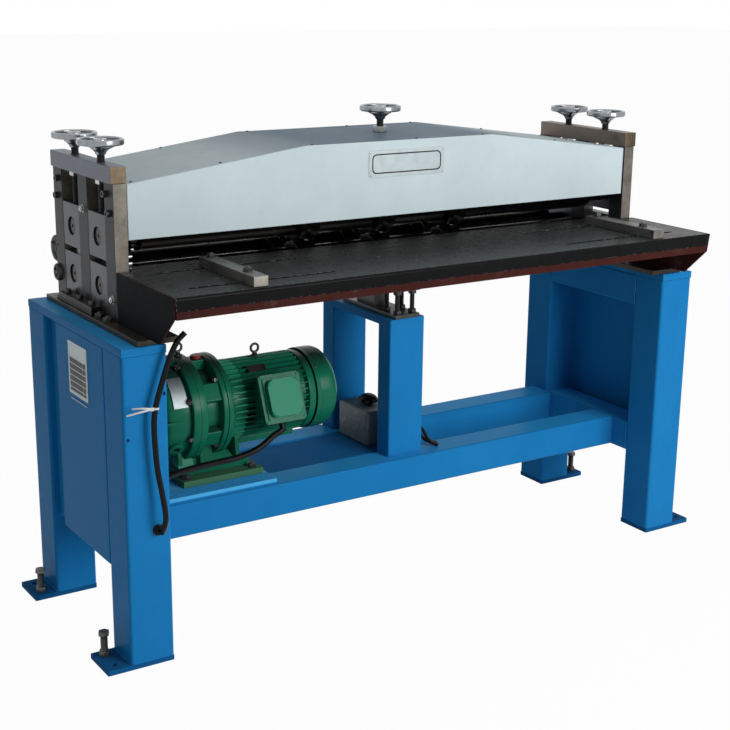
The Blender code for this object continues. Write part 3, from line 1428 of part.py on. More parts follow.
def work_table():
    """The table sheet with its folded front lip, a tongue between the end frames and four slots."""
    outline = [
        (-TABLE_HALF_LENGTH, FRONT_Y),
        (TABLE_HALF_LENGTH, FRONT_Y),
        (TABLE_HALF_LENGTH, TABLE_REAR_Y),
        (TABLE_TONGUE_HALF_LENGTH, TABLE_REAR_Y),
        (TABLE_TONGUE_HALF_LENGTH, TABLE_REAR_Y + TABLE_TONGUE_DEPTH),
        (-TABLE_TONGUE_HALF_LENGTH, TABLE_REAR_Y + TABLE_TONGUE_DEPTH),
        (-TABLE_TONGUE_HALF_LENGTH, TABLE_REAR_Y),
        (-TABLE_HALF_LENGTH, TABLE_REAR_Y),
    ]
    slots = [
        table_slot("slot", side, y) for side in (-1, 1) for y in (FRONT_SLOT_Y, REAR_SLOT_Y)
    ]
    bottom = TABLE_TOP_Z - TABLE_SHEET
    table = slab("work_table", [outline, *slots], "Z", bottom, TABLE_TOP_Z, "table_paint")
    lip = box(
        "table_lip",
        (-TABLE_HALF_LENGTH, FRONT_Y, TABLE_TOP_Z - LIP_HEIGHT),
        (TABLE_HALF_LENGTH, FRONT_Y + TABLE_SHEET, TABLE_TOP_Z - TABLE_SHEET / 2),
        "table_paint",
    )
    join(table, lip)
    lip_bottom = TABLE_TOP_Z - LIP_HEIGHT - TOUCH_GAP
    box(
        "table_stiffener",
        (-TABLE_HALF_LENGTH, FRONT_Y + TOUCH_GAP, lip_bottom - STIFFENER_HEIGHT),
        (TABLE_HALF_LENGTH, FRONT_Y + STIFFENER_DEPTH, lip_bottom),
        "primer_red",
    )
    return table


def table_bracket(side_name, side):
    """The five-sided end plate that holds the table on the bed plate."""
    foot_z = END_FRAME_BOTTOM_Z
    nose_y = FRONT_Y + BRACKET_NOSE_BACK
    outline = [
        (TABLE_REAR_Y, TABLE_TOP_Z),
        (FRONT_Y, TABLE_TOP_Z),
        (nose_y, TABLE_TOP_Z - BRACKET_NOSE_DROP),
        (BRACKET_FOOT_Y, foot_z),
        (TABLE_REAR_Y, foot_z),
    ]
    inner = TABLE_HALF_LENGTH + TOUCH_GAP
    low_x, high_x = mirrored(side, inner, inner + TABLE_BRACKET_SHEET)
    return slab(
        f"{side_name}_table_bracket", [outline], "X", low_x, high_x, "bracket_paint"
    )


def side_guide(side_name, x):
    """A square bar across the table, clamped in the slots by two bolts with washers and nuts."""
    bottom = TABLE_TOP_Z + TOUCH_GAP
    top = bottom + GUIDE_HEIGHT
    low_y = FRONT_Y + GUIDE_INSET
    bar = box(
        f"{side_name}_side_guide",
        (x - GUIDE_WIDTH / 2, low_y, bottom),
        (x + GUIDE_WIDTH / 2, low_y + GUIDE_LENGTH, top),
        "black_steel",
    )
    below = TABLE_TOP_Z - TABLE_SHEET - TOUCH_GAP
    for row_name, y in (("front", FRONT_SLOT_Y), ("rear", REAR_SLOT_Y)):
        label = f"{side_name}_{row_name}_guide"
        stem = rod(
            label + "_bolt",
            (x, y, below - GUIDE_WASHER_THICKNESS),
            (x, y, top + GUIDE_WASHER_THICKNESS + 1.4 * GUIDE_NUT_HEIGHT),
            GUIDE_BOLT_RADIUS,
            "chrome",
            SMALL_FACETS,
        )
        washer = rod(
            label + "_washer",
            (x, y, top - WELD_OVERLAP / 2),
            (x, y, top + GUIDE_WASHER_THICKNESS),
            GUIDE_WASHER_RADIUS,
            "chrome",
            SMALL_FACETS,
        )
        nut = rod(
            label + "_nut",
            (x, y, top + WELD_OVERLAP / 2),
            (x, y, top + GUIDE_WASHER_THICKNESS + GUIDE_NUT_HEIGHT),
            GUIDE_NUT_RADIUS,
            "chrome",
            HEX_FACETS,
        )
        head = rod(
            label + "_head",
            (x, y, below - GUIDE_NUT_HEIGHT),
            (x, y, below),
            GUIDE_NUT_RADIUS,
            "chrome",
            HEX_FACETS,
        )
        join(bar, stem, washer, nut, head)
    return bar


# Gearmotor


def eye_bolt(name, x, foot_z):
    """A lifting eye: a ring across the motor's axis on a short stem."""
    ring_z = foot_z + EYE_STEM_HEIGHT + EYE_RING_RADIUS
    profile = [
        (EYE_RING_RADIUS + EYE_WIRE_RADIUS * math.cos(a), EYE_WIRE_RADIUS * math.sin(a))
        for a in (math.pi / 2 - i * SHARE_OF_TURN / 6 for i in range(7))
    ]
    ring = turned(
        name + "_ring", profile, (x, MOTOR_Y, ring_z), (0, 1, 0), "black_steel", SMALL_FACETS
    )
    stem = rod(
        name + "_stem",
        (x, MOTOR_Y, foot_z - EYE_STEM_HEIGHT),
        (x, MOTOR_Y, ring_z - EYE_RING_RADIUS),
        EYE_STEM_RADIUS,
        "black_steel",
        SMALL_FACETS,
    )
    return stem, ring


def green_plate():
    bottom = RAIL_TOP_Z + MOTOR_PAD_THICKNESS + TOUCH_GAP
    return box(
        "gearmotor_base_plate",
        (GREEN_PLATE_LEFT_X, MOTOR_Y - GREEN_PLATE_HALF_DEPTH, bottom),
        (GREEN_PLATE_RIGHT_X, MOTOR_Y + GREEN_PLATE_HALF_DEPTH, bottom + GREEN_PLATE_THICKNESS),
        "base_green",
    )


def reducer():
    """The cycloidal reducer: turned housing with two flanges on a cast foot."""
    right = MOTOR_LEFT_X - TOUCH_GAP
    profile = [
        (0.0, right),
        (MOTOR_FLANGE_RADIUS, right),
        (MOTOR_FLANGE_RADIUS, MOTOR_FLANGE_LEFT_X),
        (NECK_RADIUS, MOTOR_FLANGE_LEFT_X),
        (NECK_RADIUS, BIG_FLANGE_RIGHT_X),
        (BIG_FLANGE_RADIUS, BIG_FLANGE_RIGHT_X),
        (BIG_FLANGE_RADIUS, BIG_FLANGE_LEFT_X),
        (HOUSING_RADIUS, BIG_FLANGE_LEFT_X),
        (HOUSING_RADIUS, HOUSING_LEFT_X),
        (HOUSING_NOSE_RADIUS, HOUSING_LEFT_X),
        (HOUSING_NOSE_RADIUS, HOUSING_NOSE_LEFT_X),
        (0.0, HOUSING_NOSE_LEFT_X),
    ]
    body = turned(
        "cycloidal_reducer", profile, (0.0, MOTOR_Y, MOTOR_Z), (1, 0, 0), "motor_green"
    )
    foot_z = RAIL_TOP_Z + MOTOR_PAD_THICKNESS + GREEN_PLATE_THICKNESS + 2 * TOUCH_GAP
    foot = box(
        "reducer_foot",
        (REDUCER_FOOT_LEFT_X, MOTOR_Y - REDUCER_FOOT_HALF_DEPTH, foot_z),
        (
            REDUCER_FOOT_RIGHT_X,
            MOTOR_Y + REDUCER_FOOT_HALF_DEPTH,
            foot_z + REDUCER_FOOT_THICKNESS,
        ),
        "motor_green",
    )
    waist_outline = [
        (MOTOR_Y - REDUCER_FOOT_HALF_DEPTH * 0.9, foot_z + REDUCER_FOOT_THICKNESS / 2),
        (MOTOR_Y + REDUCER_FOOT_HALF_DEPTH * 0.9, foot_z + REDUCER_FOOT_THICKNESS / 2),
        (MOTOR_Y + REDUCER_WAIST_HALF_DEPTH, MOTOR_Z),
        (MOTOR_Y - REDUCER_WAIST_HALF_DEPTH, MOTOR_Z),
    ]
    waist = slab(
        "reducer_waist",
        [waist_outline],
        "X",
        REDUCER_FOOT_LEFT_X + REDUCER_WAIST_INSET,
        MOTOR_FLANGE_LEFT_X + WELD_OVERLAP,
        "motor_green",
    )
    join(body, foot, waist)
    join(body, *eye_bolt("reducer_eye", REDUCER_EYE_X, MOTOR_Z + BIG_FLANGE_RADIUS))
    plug_z = MOTOR_Z + NECK_RADIUS
    plug = rod(
        "filler_plug",
        (PLUG_X, MOTOR_Y, plug_z - PLUG_HEIGHT),
        (PLUG_X, MOTOR_Y, plug_z + PLUG_HEIGHT),
        PLUG_RADIUS,
        "primer_red",
        HEX_FACETS,
    )
    return join(body, plug)


def dome_profile(radius, right):
    """(radius, X) points of the fan cover's round end, from its middle to its straight wall."""
    crown = radius - FAN_COVER_RADIUS + FAN_COVER_CROWN
    points = [(0.0, right)]
    for i in range(DOME_STEPS + 1):
        angle = i * SHARE_OF_TURN / 4 / DOME_STEPS
        points.append(
            (
                crown + (radius - crown) * math.sin(angle),
                right - FAN_COVER_DOME * (1 - math.cos(angle)),
            )
        )
    return points


def motor():
    """The motor body with its lifting eye, the fan cover and the fan on the rotor's rear end."""
    body = rod(
        "motor_body",
        (MOTOR_LEFT_X, MOTOR_Y, MOTOR_Z),
        (MOTOR_RIGHT_X, MOTOR_Y, MOTOR_Z),
        MOTOR_RADIUS,
        "motor_green",
    )
    join(body, *eye_bolt("motor_eye", MOTOR_EYE_X, MOTOR_Z + MOTOR_RADIUS))
    rotor_hole = rod(
        "rotor_hole",
        (MOTOR_RIGHT_X - 2 * FAN_THICKNESS, MOTOR_Y, MOTOR_Z),
        (MOTOR_RIGHT_X + FAN_THICKNESS, MOTOR_Y, MOTOR_Z),
        ROTOR_RADIUS + RUNNING_GAP,
        "motor_green",
    )
    cut(body, rotor_hole)
    left = MOTOR_RIGHT_X + TOUCH_GAP
    right = left + FAN_COVER_LENGTH
    outer = dome_profile(FAN_COVER_RADIUS, right)
    inner = dome_profile(FAN_COVER_RADIUS - FAN_COVER_WALL, right - FAN_COVER_WALL)
    outer += [(FAN_COVER_RADIUS, left), (FAN_COVER_RADIUS - FAN_COVER_WALL, left)]
    fan_cover = turned(
        "fan_cover", [*outer, *reversed(inner)], (0.0, MOTOR_Y, MOTOR_Z), (1, 0, 0), "motor_green"
    )
    return body, fan_cover


def motor_fan():
    left = MOTOR_RIGHT_X + FAN_THICKNESS / 2
    right = left + FAN_THICKNESS
    axis_left = MOTOR_RIGHT_X - FAN_THICKNESS
    profile = [
        (0.0, right),
        (2 * ROTOR_RADIUS, right),
        (2 * ROTOR_RADIUS, left + FAN_THICKNESS / 6),
        (FAN_RADIUS, left + FAN_THICKNESS / 6),
        (FAN_RADIUS, left),
        (ROTOR_RADIUS, left),
        (ROTOR_RADIUS, axis_left),
        (0.0, axis_left),
    ]
    fan = turned("motor_fan", profile, (0.0, MOTOR_Y, MOTOR_Z), (1, 0, 0), "black_steel")
    for i in range(FAN_BLADES):
        angle = SHARE_OF_TURN * i / FAN_BLADES
        blade = box(
            f"fan_blade_{i}",
            (left + WELD_OVERLAP, ROTOR_RADIUS, -FAN_COVER_WALL / 2),
            (right, 0.95 * FAN_RADIUS, FAN_COVER_WALL / 2),
            "black_steel",
        )
        turn = Matrix.Translation((0.0, MOTOR_Y, MOTOR_Z)) @ Matrix.Rotation(angle, 4, "X")
        blade.matrix_world = turn @ Matrix.Translation(blade.location)
        join(fan, blade)
    return fan


def terminal_box():
    """The tilted terminal box on the motor's front: a case seated on the motor's round, its flange,
    its raised lid and its cable gland."""
    half_length = TERMINAL_BOX_LENGTH / 2
    half_height = TERMINAL_BOX_HEIGHT / 2
    lip = TERMINAL_BOX_FLANGE
    border = TERMINAL_LID_BORDER
    tilt = Matrix.Rotation(-TERMINAL_BOX_TILT, 4, "X")
    middle = Matrix.Translation((TERMINAL_BOX_X, MOTOR_Y, MOTOR_Z)) @ tilt
    frame = middle @ Matrix.Translation((0.0, 0.0, -TERMINAL_BOX_DROP))
    front_y = -MOTOR_RADIUS - TOUCH_GAP - TERMINAL_BOX_DEPTH
    flange_y = front_y + 2 * TERMINAL_BOX_FLANGE_THICKNESS
    case = box(
        "terminal_box",
        (-half_length + lip, front_y + TERMINAL_BOX_FLANGE_THICKNESS, -half_height + lip),
        (half_length - lip, -MOTOR_RADIUS / 2, half_height - lip),
        "motor_green",
    )
    flange = box(
        "terminal_flange",
        (-half_length, front_y, -half_height),
        (half_length, flange_y, half_height),
        "motor_green",
    )
    lid = box(
        "terminal_lid",
        (-half_length + border, front_y - TERMINAL_LID_RISE, -half_height + border),
        (half_length - border, front_y + WELD_OVERLAP, half_height - border),
        "motor_green",
    )
    for piece in (case, flange, lid):
        piece.matrix_world = frame @ Matrix.Translation(piece.location)
    seat = rod(
        "terminal_seat",
        (TERMINAL_BOX_X - half_length, MOTOR_Y, MOTOR_Z),
        (TERMINAL_BOX_X + half_length, MOTOR_Y, MOTOR_Z),
        MOTOR_RADIUS + TOUCH_GAP,
        "motor_green",
    )
    gland_y = (flange_y - MOTOR_RADIUS) / 2
    gland_top = frame @ Vector((0.0, gland_y, -half_height + 2 * lip))
    gland_foot = frame @ Vector((0.0, gland_y, -half_height + lip - GLAND_LENGTH))
    gland = rod(
        "terminal_gland", gland_top, gland_foot, GLAND_RADIUS, "black_rubber", SMALL_FACETS
    )
    join(cut(case, seat), flange, lid, gland)
    return case, gland_foot, (gland_foot - gland_top).normalized()


# Chain drive


def belt_outline(small, small_radius, large, large_radius):
    """The outline of a belt around two wheels, as arcs joined by straight runs."""
    small, large = Vector(small), Vector(large)
    across = large - small
    heading = math.atan2(across.y, across.x)
    lean = math.acos((small_radius - large_radius) / across.length)
    outline = []
    steps = 10
    for centre, radius, start, sweep in (
        (large, large_radius, heading - lean, 2 * lean),
        (small, small_radius, heading + lean, SHARE_OF_TURN - 2 * lean),
    ):
        for i in range(steps + 1):
            angle = start + sweep * i / steps
            outline.append(
                (centre.x + radius * math.cos(angle), centre.y + radius * math.sin(angle))
            )
    return outline


def chain_drive():
    driver = (MOTOR_Y, MOTOR_Z)
    driven = (REAR_ROLL_Y, LOWER_ROLL_Z)
    inner_small = sprocket_radius(DRIVER_TEETH) + CHAIN_GAP
    inner_large = sprocket_radius(DRIVEN_TEETH) + 3 * CHAIN_GAP
    chain = slab(
        "drive_chain",
        [
            belt_outline(
                driver, inner_small + CHAIN_THICKNESS, driven, inner_large + CHAIN_THICKNESS
            ),
            belt_outline(driver, inner_small, driven, inner_large),
        ],
        "X",
        CHAIN_X - CHAIN_WIDTH / 2,
        CHAIN_X + CHAIN_WIDTH / 2,
        "black_steel",
    )
    sprocket = slab(
        "output_sprocket",
        [sprocket_outline(DRIVER_TEETH, driver)],
        "X",
        CHAIN_X - SPROCKET_WIDTH / 2,
        CHAIN_X + SPROCKET_WIDTH / 2,
        "roll_steel",
        driver,
    )
    shaft = rod(
        "output_shaft",
        (CHAIN_X - SPROCKET_WIDTH, *driver),
        (HOUSING_NOSE_LEFT_X - OUTPUT_SHAFT_GAP, *driver),
        OUTPUT_SHAFT_RADIUS,
        "roll_steel",
    )
    join(sprocket, shaft)
    return chain, sprocket


# Foot switch


def foot_switch():
    """The boxy foot switch that stands on the shelf, with its sprung domed pedal."""
    low = Vector((SWITCH_LEFT_X, SWITCH_FRONT_Y, RAIL_TOP_Z - SHELF_DROP + TOUCH_GAP))
    high = low + Vector((SWITCH_WIDTH, SWITCH_DEPTH, SWITCH_HEIGHT))
    case = box("foot_switch_case", low, high, "switch_grey", SWITCH_EDGE)
    x = low.x + SWITCH_WIDTH / 2
    y = high.y - PEDAL_FROM_REAR
    well = rod(
        "pedal_well",
        (x, y, high.z - 3 * PEDAL_TRAVEL),
        (x, y, high.z + PEDAL_TRAVEL),
        PEDAL_STEM_RADIUS + RUNNING_GAP,
        "switch_grey",
    )
    cut(case, well)
    skirt_z = high.z + PEDAL_TRAVEL + RUNNING_GAP
    dome = [
        (PEDAL_RADIUS * math.sin(a), skirt_z + PEDAL_HEIGHT * math.cos(a))
        for a in (i * math.pi / 10 for i in range(6))
    ]
    stem_z = high.z - PEDAL_TRAVEL
    profile = [*dome, (PEDAL_STEM_RADIUS, skirt_z), (PEDAL_STEM_RADIUS, stem_z), (0.0, stem_z)]
    profile[0] = (0.0, profile[0][1])
    pedal = turned("foot_pedal", [(r, z - skirt_z) for r, z in profile], (x, y, skirt_z),
                   (0, 0, 1), "black_rubber", SMALL_FACETS)
    return case, pedal


# Cables


def motor_cable(start, heading):
    """From the terminal box's gland, in a low sag past the reducer, into the left front leg."""
    exit_point = Vector(start) + heading * TOUCH_GAP
    end_x = -STAND_INNER_X + TOUCH_GAP
    corners = [
        exit_point,
        exit_point + heading * MOTOR_CABLE_DIAMETER,
        (-0.3425, -0.0345, 0.3990),
        (-0.3630, -0.0385, 0.3875),
        (-0.3900, -0.0430, 0.3765),
        (-0.4250, -0.0485, 0.3700),
        (-0.4569, -0.0535, 0.3680),
        (-0.492, -0.058, 0.369),
        (-0.563, -0.073, 0.372),
        (-0.630, -0.094, 0.374),
        (end_x + 2 * MOTOR_CABLE_DIAMETER, -0.118, 0.374),
        (end_x + MOTOR_CABLE_DIAMETER, -0.135, 0.374),
        (end_x, -0.135, 0.374),
    ]
    route = smooth_route(corners, 2.5 * MOTOR_CABLE_DIAMETER)
    return tube("motor_cable", route, MOTOR_CABLE_DIAMETER, "black_rubber")


def supply_cable():
    """From its gland in the left front leg, up in front of the leg to its free end."""
    gland_y = STAND_FRONT_Y - LEG_GLAND_LENGTH
    gland = rod(
        "supply_gland",
        (SUPPLY_EXIT_X, STAND_FRONT_Y + TUBE_WALL / 2, SUPPLY_EXIT_Z),
        (SUPPLY_EXIT_X, gland_y + TOUCH_GAP, SUPPLY_EXIT_Z),
        LEG_GLAND_RADIUS,
        "black_rubber",
        SMALL_FACETS,
    )
    exit_y = gland_y
    corners = [
        (SUPPLY_EXIT_X, exit_y, SUPPLY_EXIT_Z),
        (SUPPLY_EXIT_X, exit_y - 0.010, SUPPLY_EXIT_Z),
        (-0.7210, -0.2545, 0.345),
        (-0.7255, -0.2480, 0.400),
        (-0.7325, -0.2430, 0.457),
        (-0.7363, -0.2420, 0.538),
        (-0.7319, -0.2420, 0.583),
        (-0.7155, -0.2430, 0.637),
        (-0.6963, -0.2440, 0.690),
        (-0.6780, -0.2450, 0.722),
        (-0.6640, -0.2460, 0.734),
    ]
    route = smooth_route(corners, 2 * SUPPLY_CABLE_DIAMETER)
    return join_gland(gland, route)


def join_gland(gland, route):
    cable = tube("supply_cable", route, SUPPLY_CABLE_DIAMETER, "black_rubber")
    return cable, gland


def switch_lead():
    """From the foot switch, round the middle post in two loose folds, back to the post's side."""
    case_right = SWITCH_LEFT_X + SWITCH_WIDTH
    post_right = PORTAL_X + PORTAL_WIDTH / 2
    radius = SWITCH_LEAD_DIAMETER / 2
    floor_z = RAIL_TOP_Z + radius + TOUCH_GAP
    corners = [
        (case_right + TOUCH_GAP, 0.100, 0.330),
        (case_right + 0.012, 0.100, 0.330),
        (0.112, 0.070, 0.352),
        (0.106, 0.036, 0.378),
        (0.098, 0.014, 0.350),
        (0.104, 0.000, 0.312),
        (0.122, -0.012, floor_z + 0.006),
        (0.138, -0.018, floor_z + 0.002),
        (0.130, -0.030, floor_z + 0.002),
        (0.110, -0.020, floor_z + 0.018),
        (post_right + 0.016, -0.018, 0.336),
        (post_right + 0.008, -0.018, 0.345),
        (post_right + TOUCH_GAP, -0.018, 0.345),
    ]
    route = smooth_route(corners, 2.5 * SWITCH_LEAD_DIAMETER)
    return tube("foot_switch_lead", route, SWITCH_LEAD_DIAMETER, "black_rubber")


def build():
    clear_scene()
    stands()
    for side_name, side in (("left", -1), ("right", 1)):
        bed_plate(side_name, side)
        end_frame(side_name, side)
        cap_bar(side_name, side)
        table_bracket(side_name, side)
    side_guide("left", LEFT_GUIDE_X)
    side_guide("right", RIGHT_GUIDE_X)
    lower_front, lower_rear, upper_front, upper_rear, idler = rolls_and_gears()
    carriages = screws_and_blocks()
    pivot("front_lift_pivot", (0.0, FRONT_ROLL_Y, UPPER_ROLL_Z), *carriages["front"], upper_front)
    pivot("rear_lift_pivot", (0.0, REAR_ROLL_Y, UPPER_ROLL_Z), *carriages["rear"], upper_rear)
    bridge_beam()
    saddle = centre_saddle()
    middle_y = (FRONT_ROLL_Y + REAR_ROLL_Y) / 2
    screw_foot = BEAM_TOP_Z - BEAM_HEIGHT
    centre_wheel = handwheel(
        "centre_handwheel",
        CENTRE_SCREW_X,
        middle_y,
        screw_foot,
        COVER_TOP_Z + CENTRE_WHEEL_LIFT,
    )
    pivot("centre_lift_pivot", (CENTRE_SCREW_X, middle_y, screw_foot), saddle, centre_wheel)
    centre_support()
    cover()
    plates()
    work_table()
    green_plate()
    reducer()
    motor()
    motor_fan()
    _, gland_foot, heading = terminal_box()
    chain_drive()
    foot_switch()
    motor_cable(gland_foot, heading)
    _, gland = supply_cable()
    join(bpy.data.objects["left_front_leg"], gland)
    switch_lead()


build()
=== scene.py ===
"""Looks for the sheet metal grooving machine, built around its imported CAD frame.

Each sub-assembly is a class that holds its sizes in metres and builds, dresses and places its
own pieces. Every piece lies where the CAD part lies, in the machine's own frame.
"""

import json
import logging
import math
from dataclasses import dataclass, field, replace
from enum import Enum
from typing import Any, Iterable, Sequence

import bmesh
import bpy
from mathutils import Matrix, Vector

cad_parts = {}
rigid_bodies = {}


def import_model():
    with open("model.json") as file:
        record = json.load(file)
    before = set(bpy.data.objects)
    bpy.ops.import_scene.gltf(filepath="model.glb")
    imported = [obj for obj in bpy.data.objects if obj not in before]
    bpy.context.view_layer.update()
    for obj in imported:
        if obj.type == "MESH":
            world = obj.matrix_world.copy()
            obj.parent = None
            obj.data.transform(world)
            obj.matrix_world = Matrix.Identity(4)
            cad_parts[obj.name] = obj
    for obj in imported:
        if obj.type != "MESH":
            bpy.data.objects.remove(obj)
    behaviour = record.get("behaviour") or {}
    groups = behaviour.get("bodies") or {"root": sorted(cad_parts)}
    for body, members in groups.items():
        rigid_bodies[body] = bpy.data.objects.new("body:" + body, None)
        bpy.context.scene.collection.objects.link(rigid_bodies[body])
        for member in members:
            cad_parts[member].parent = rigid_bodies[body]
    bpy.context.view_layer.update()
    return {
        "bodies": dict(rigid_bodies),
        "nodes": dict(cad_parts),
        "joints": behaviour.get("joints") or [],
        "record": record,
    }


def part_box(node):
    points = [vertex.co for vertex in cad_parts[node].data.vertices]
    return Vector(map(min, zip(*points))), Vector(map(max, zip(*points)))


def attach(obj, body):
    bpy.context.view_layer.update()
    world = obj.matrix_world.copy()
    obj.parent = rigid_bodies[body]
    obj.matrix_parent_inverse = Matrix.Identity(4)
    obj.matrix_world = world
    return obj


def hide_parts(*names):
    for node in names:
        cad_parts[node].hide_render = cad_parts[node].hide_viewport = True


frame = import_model()
TURN = math.tau
UP, RIGHT, LEFT, FRONT = (0, 0, 1), (1, 0, 0), (-1, 0, 0), (0, -1, 0)

log = logging.getLogger("grooving_machine")

Point = Sequence[float]
Colour = tuple[float, float, float]
Outline = list[tuple[float, float]]


# Shader and geometry graphs


class Wire:
    """One output of a node, which takes part in Python expressions as a number does."""

    def __init__(self, graph: "Graph", socket: bpy.types.NodeSocket) -> None:
        """Keeps the socket and the graph that new nodes go into."""
        self.graph = graph
        self.socket = socket

    def _math(self, operation: str, *values: Any) -> "Wire":
        """The result of a Math node on these numbers or wires."""
        return self.graph.wire("ShaderNodeMath", {"operation": operation}, dict(enumerate(values)))

    def __add__(self, other: Any) -> "Wire":
        """self + other."""
        return self._math("ADD", self, other)

    def __radd__(self, other: Any) -> "Wire":
        """other + self."""
        return self._math("ADD", other, self)

    def __sub__(self, other: Any) -> "Wire":
        """self - other."""
        return self._math("SUBTRACT", self, other)

    def __rsub__(self, other: Any) -> "Wire":
        """other - self."""
        return self._math("SUBTRACT", other, self)

    def __mul__(self, other: Any) -> "Wire":
        """self * other."""
        return self._math("MULTIPLY", self, other)

    def __rmul__(self, other: Any) -> "Wire":
        """other * self."""
        return self._math("MULTIPLY", other, self)

    def __abs__(self) -> "Wire":
        """The size of self without its sign."""
        return self._math("ABSOLUTE", self)

    def __mod__(self, other: Any) -> "Wire":
        """What is left of self after whole multiples of other."""
        return self._math("FLOORED_MODULO", self, other)

    def cos(self) -> "Wire":
        """Cosine of self in radians."""
        return self._math("COSINE", self)

    def sin(self) -> "Wire":
        """Sine of self in radians."""
        return self._math("SINE", self)

    def below(self, limit: Any) -> "Wire":
        """1 where self is under the limit, else 0."""
        return self._math("LESS_THAN", self, limit)

    def most(self, other: Any) -> "Wire":
        """The greater of self and other."""
        return self._math("MAXIMUM", self, other)

    def step(self, start: float, end: float) -> "Wire":
        """A smooth step.

        Args:
            start: The value of self where the step is 0.
            end: The value of self where the step is 1.

        Returns:
            The step, from 0 to 1.
        """
        inputs = {0: self, 1: start, 2: end, 3: 0.0, 4: 1.0}
        return self.graph.wire("ShaderNodeMapRange", {"interpolation_type": "SMOOTHSTEP"}, inputs)


class Graph:
    """A node tree that nodes are added to by type, settings and inputs."""

    def __init__(self, tree: bpy.types.NodeTree) -> None:
        """Keeps the tree."""
        self.tree = tree

    def node(self, kind: str, settings: dict | None = None, inputs: dict | None = None) -> Any:
        """Adds a node.

        Args:
            kind: The node's type name.
            settings: Properties set before the inputs.
            inputs: Socket name or number to a value, a wire or a socket.

        Returns:
            The new node.
        """
        made = self.tree.nodes.new(kind)
        for name, value in (settings or {}).items():
            setattr(made, name, value)
        for name, value in (inputs or {}).items():
            socket = made.inputs[name]
            if isinstance(value, Wire):
                self.tree.links.new(value.socket, socket)
            elif isinstance(value, bpy.types.NodeSocket):
                self.tree.links.new(value, socket)
            else:
                socket.default_value = value
        return made

    def wire(self, kind: str, settings: dict | None = None, inputs: dict | None = None,
             output: int | str = 0) -> Wire:
        """Adds a node and gives one of its outputs.

        Args:
            kind: The node's type name.
            settings: Properties set before the inputs.
            inputs: Socket name or number to a value, a wire or a socket.
            output: The output's number or name.

        Returns:
            The output.
        """
        return Wire(self, self.node(kind, settings, inputs).outputs[output])


class SurfaceGraph(Graph):
    """A material's tree, with the masks and patterns that the finishes share."""

    def __init__(self, material: bpy.types.Material) -> None:
        """Empties the material's tree and adds its coordinates and its shader.

        Args:
            material: The new material.
        """
        material.use_nodes = True
        super().__init__(material.node_tree)
        self.tree.nodes.clear()
        self.place = self.wire("ShaderNodeTexCoord", output="Object")
        self.shader = self.node("ShaderNodeBsdfPrincipled")
        self.node("ShaderNodeOutputMaterial", inputs={"Surface": self.shader.outputs[0]})
        self.normal = self.wire("ShaderNodeNewGeometry", output="Normal")

    def give(self, **values: Any) -> None:
        """Sets or links the shader's inputs.

        Args:
            values: Input names, with _ for a space, and their values or wires.
        """
        for name, value in values.items():
            socket = self.shader.inputs[name.replace("_", " ")]
            if isinstance(value, Wire):
                self.tree.links.new(value.socket, socket)
            elif isinstance(value, tuple) and len(value) == 3:
                socket.default_value = (*value, 1.0)
            else:
                socket.default_value = value

    def stretched(self, scale: Point) -> Wire:
        """The surface's coordinates, scaled along each axis.

        Args:
            scale: How many times finer the pattern gets along X, Y and Z.

        Returns:
            The scaled coordinates.
        """
        inputs = {"Vector": self.place, "Scale": tuple(scale)}
        return self.wire("ShaderNodeMapping", {"vector_type": "POINT"}, inputs)

    def noise(self, scale: float, detail: float = 3.0, rough: float = 0.5,
              along: Wire | None = None) -> Wire:
        """Cloudy noise from 0 to 1.

        Args:
            scale: Features per metre.
            detail: Octaves of finer noise.
            rough: Strength of the finer octaves.
            along: Coordinates, or None for the piece's own.

        Returns:
            The noise.
        """
        inputs = {"Vector": along or self.place, "Scale": scale, "Detail": detail,
                  "Roughness": rough}
        return self.wire("ShaderNodeTexNoise", {"noise_dimensions": "3D"}, inputs)

    def blend(self, share: Any, first: Any, second: Any) -> Wire:
        """Mixes two colours.

        Args:
            share: 0 for the first colour, 1 for the second.
            first: A colour or a wire.
            second: A colour or a wire.

        Returns:
            The mixed colour.
        """
        inputs = {0: share}
        for number, value in ((6, first), (7, second)):
            inputs[number] = value if isinstance(value, Wire) else (*value, 1.0)
        return self.wire("ShaderNodeMix", {"data_type": "RGBA"}, inputs, 2)

    def facing(self, direction: Any) -> Wire:
        """How far the surface faces a direction, from -1 to 1."""
        return self.wire("ShaderNodeVectorMath", {"operation": "DOT_PRODUCT"},
                         {0: self.normal, 1: direction}, "Value")

    def edges(self, radius: float) -> Wire:
        """1 on the piece's edges, as wide as the radius, and 0 on flat stretches."""
        bent = self.wire("ShaderNodeBevel", {"samples": 4}, {"Radius": radius}, "Normal")
        return (1.0 - self.facing(bent)).step(0.015, 0.12)

    def shine(self, gloss: float) -> None:
        """Sets how strongly the bare surface reflects."""
        self.shader.inputs["Specular IOR Level"].default_value = gloss

    def bump(self, height: Any, distance: float, strength: float = 1.0,
             under: Wire | None = None) -> Wire:
        """A bumped normal.

        Args:
            height: The pattern, from 0 to 1.
            distance: How high 1 stands, in metres.
            strength: Share of the bump that shows.
            under: Another bump that this one goes over.

        Returns:
            The normal.
        """
        inputs = {"Height": height, "Distance": distance, "Strength": strength}
        if under:
            inputs["Normal"] = under
        return self.wire("ShaderNodeBump", {}, inputs)


# Finishes


@dataclass(frozen=True)
class Finish:
    """A surface finish: its name, the record's slot that it is meant for, which is not used, and
    its main colour.
    """

    name: str
    slot: str
    colour: Colour

    def material(self) -> bpy.types.Material:
        """The finish's material, made once."""
        name = f"{self.name}_finish"
        found = bpy.data.materials.get(name)
        if found:
            return found
        made = bpy.data.materials.new(name)
        self.dress(SurfaceGraph(made))
        return made

    def dress(self, graph: SurfaceGraph) -> None:
        """Builds the finish's nodes in the graph."""
        raise NotImplementedError


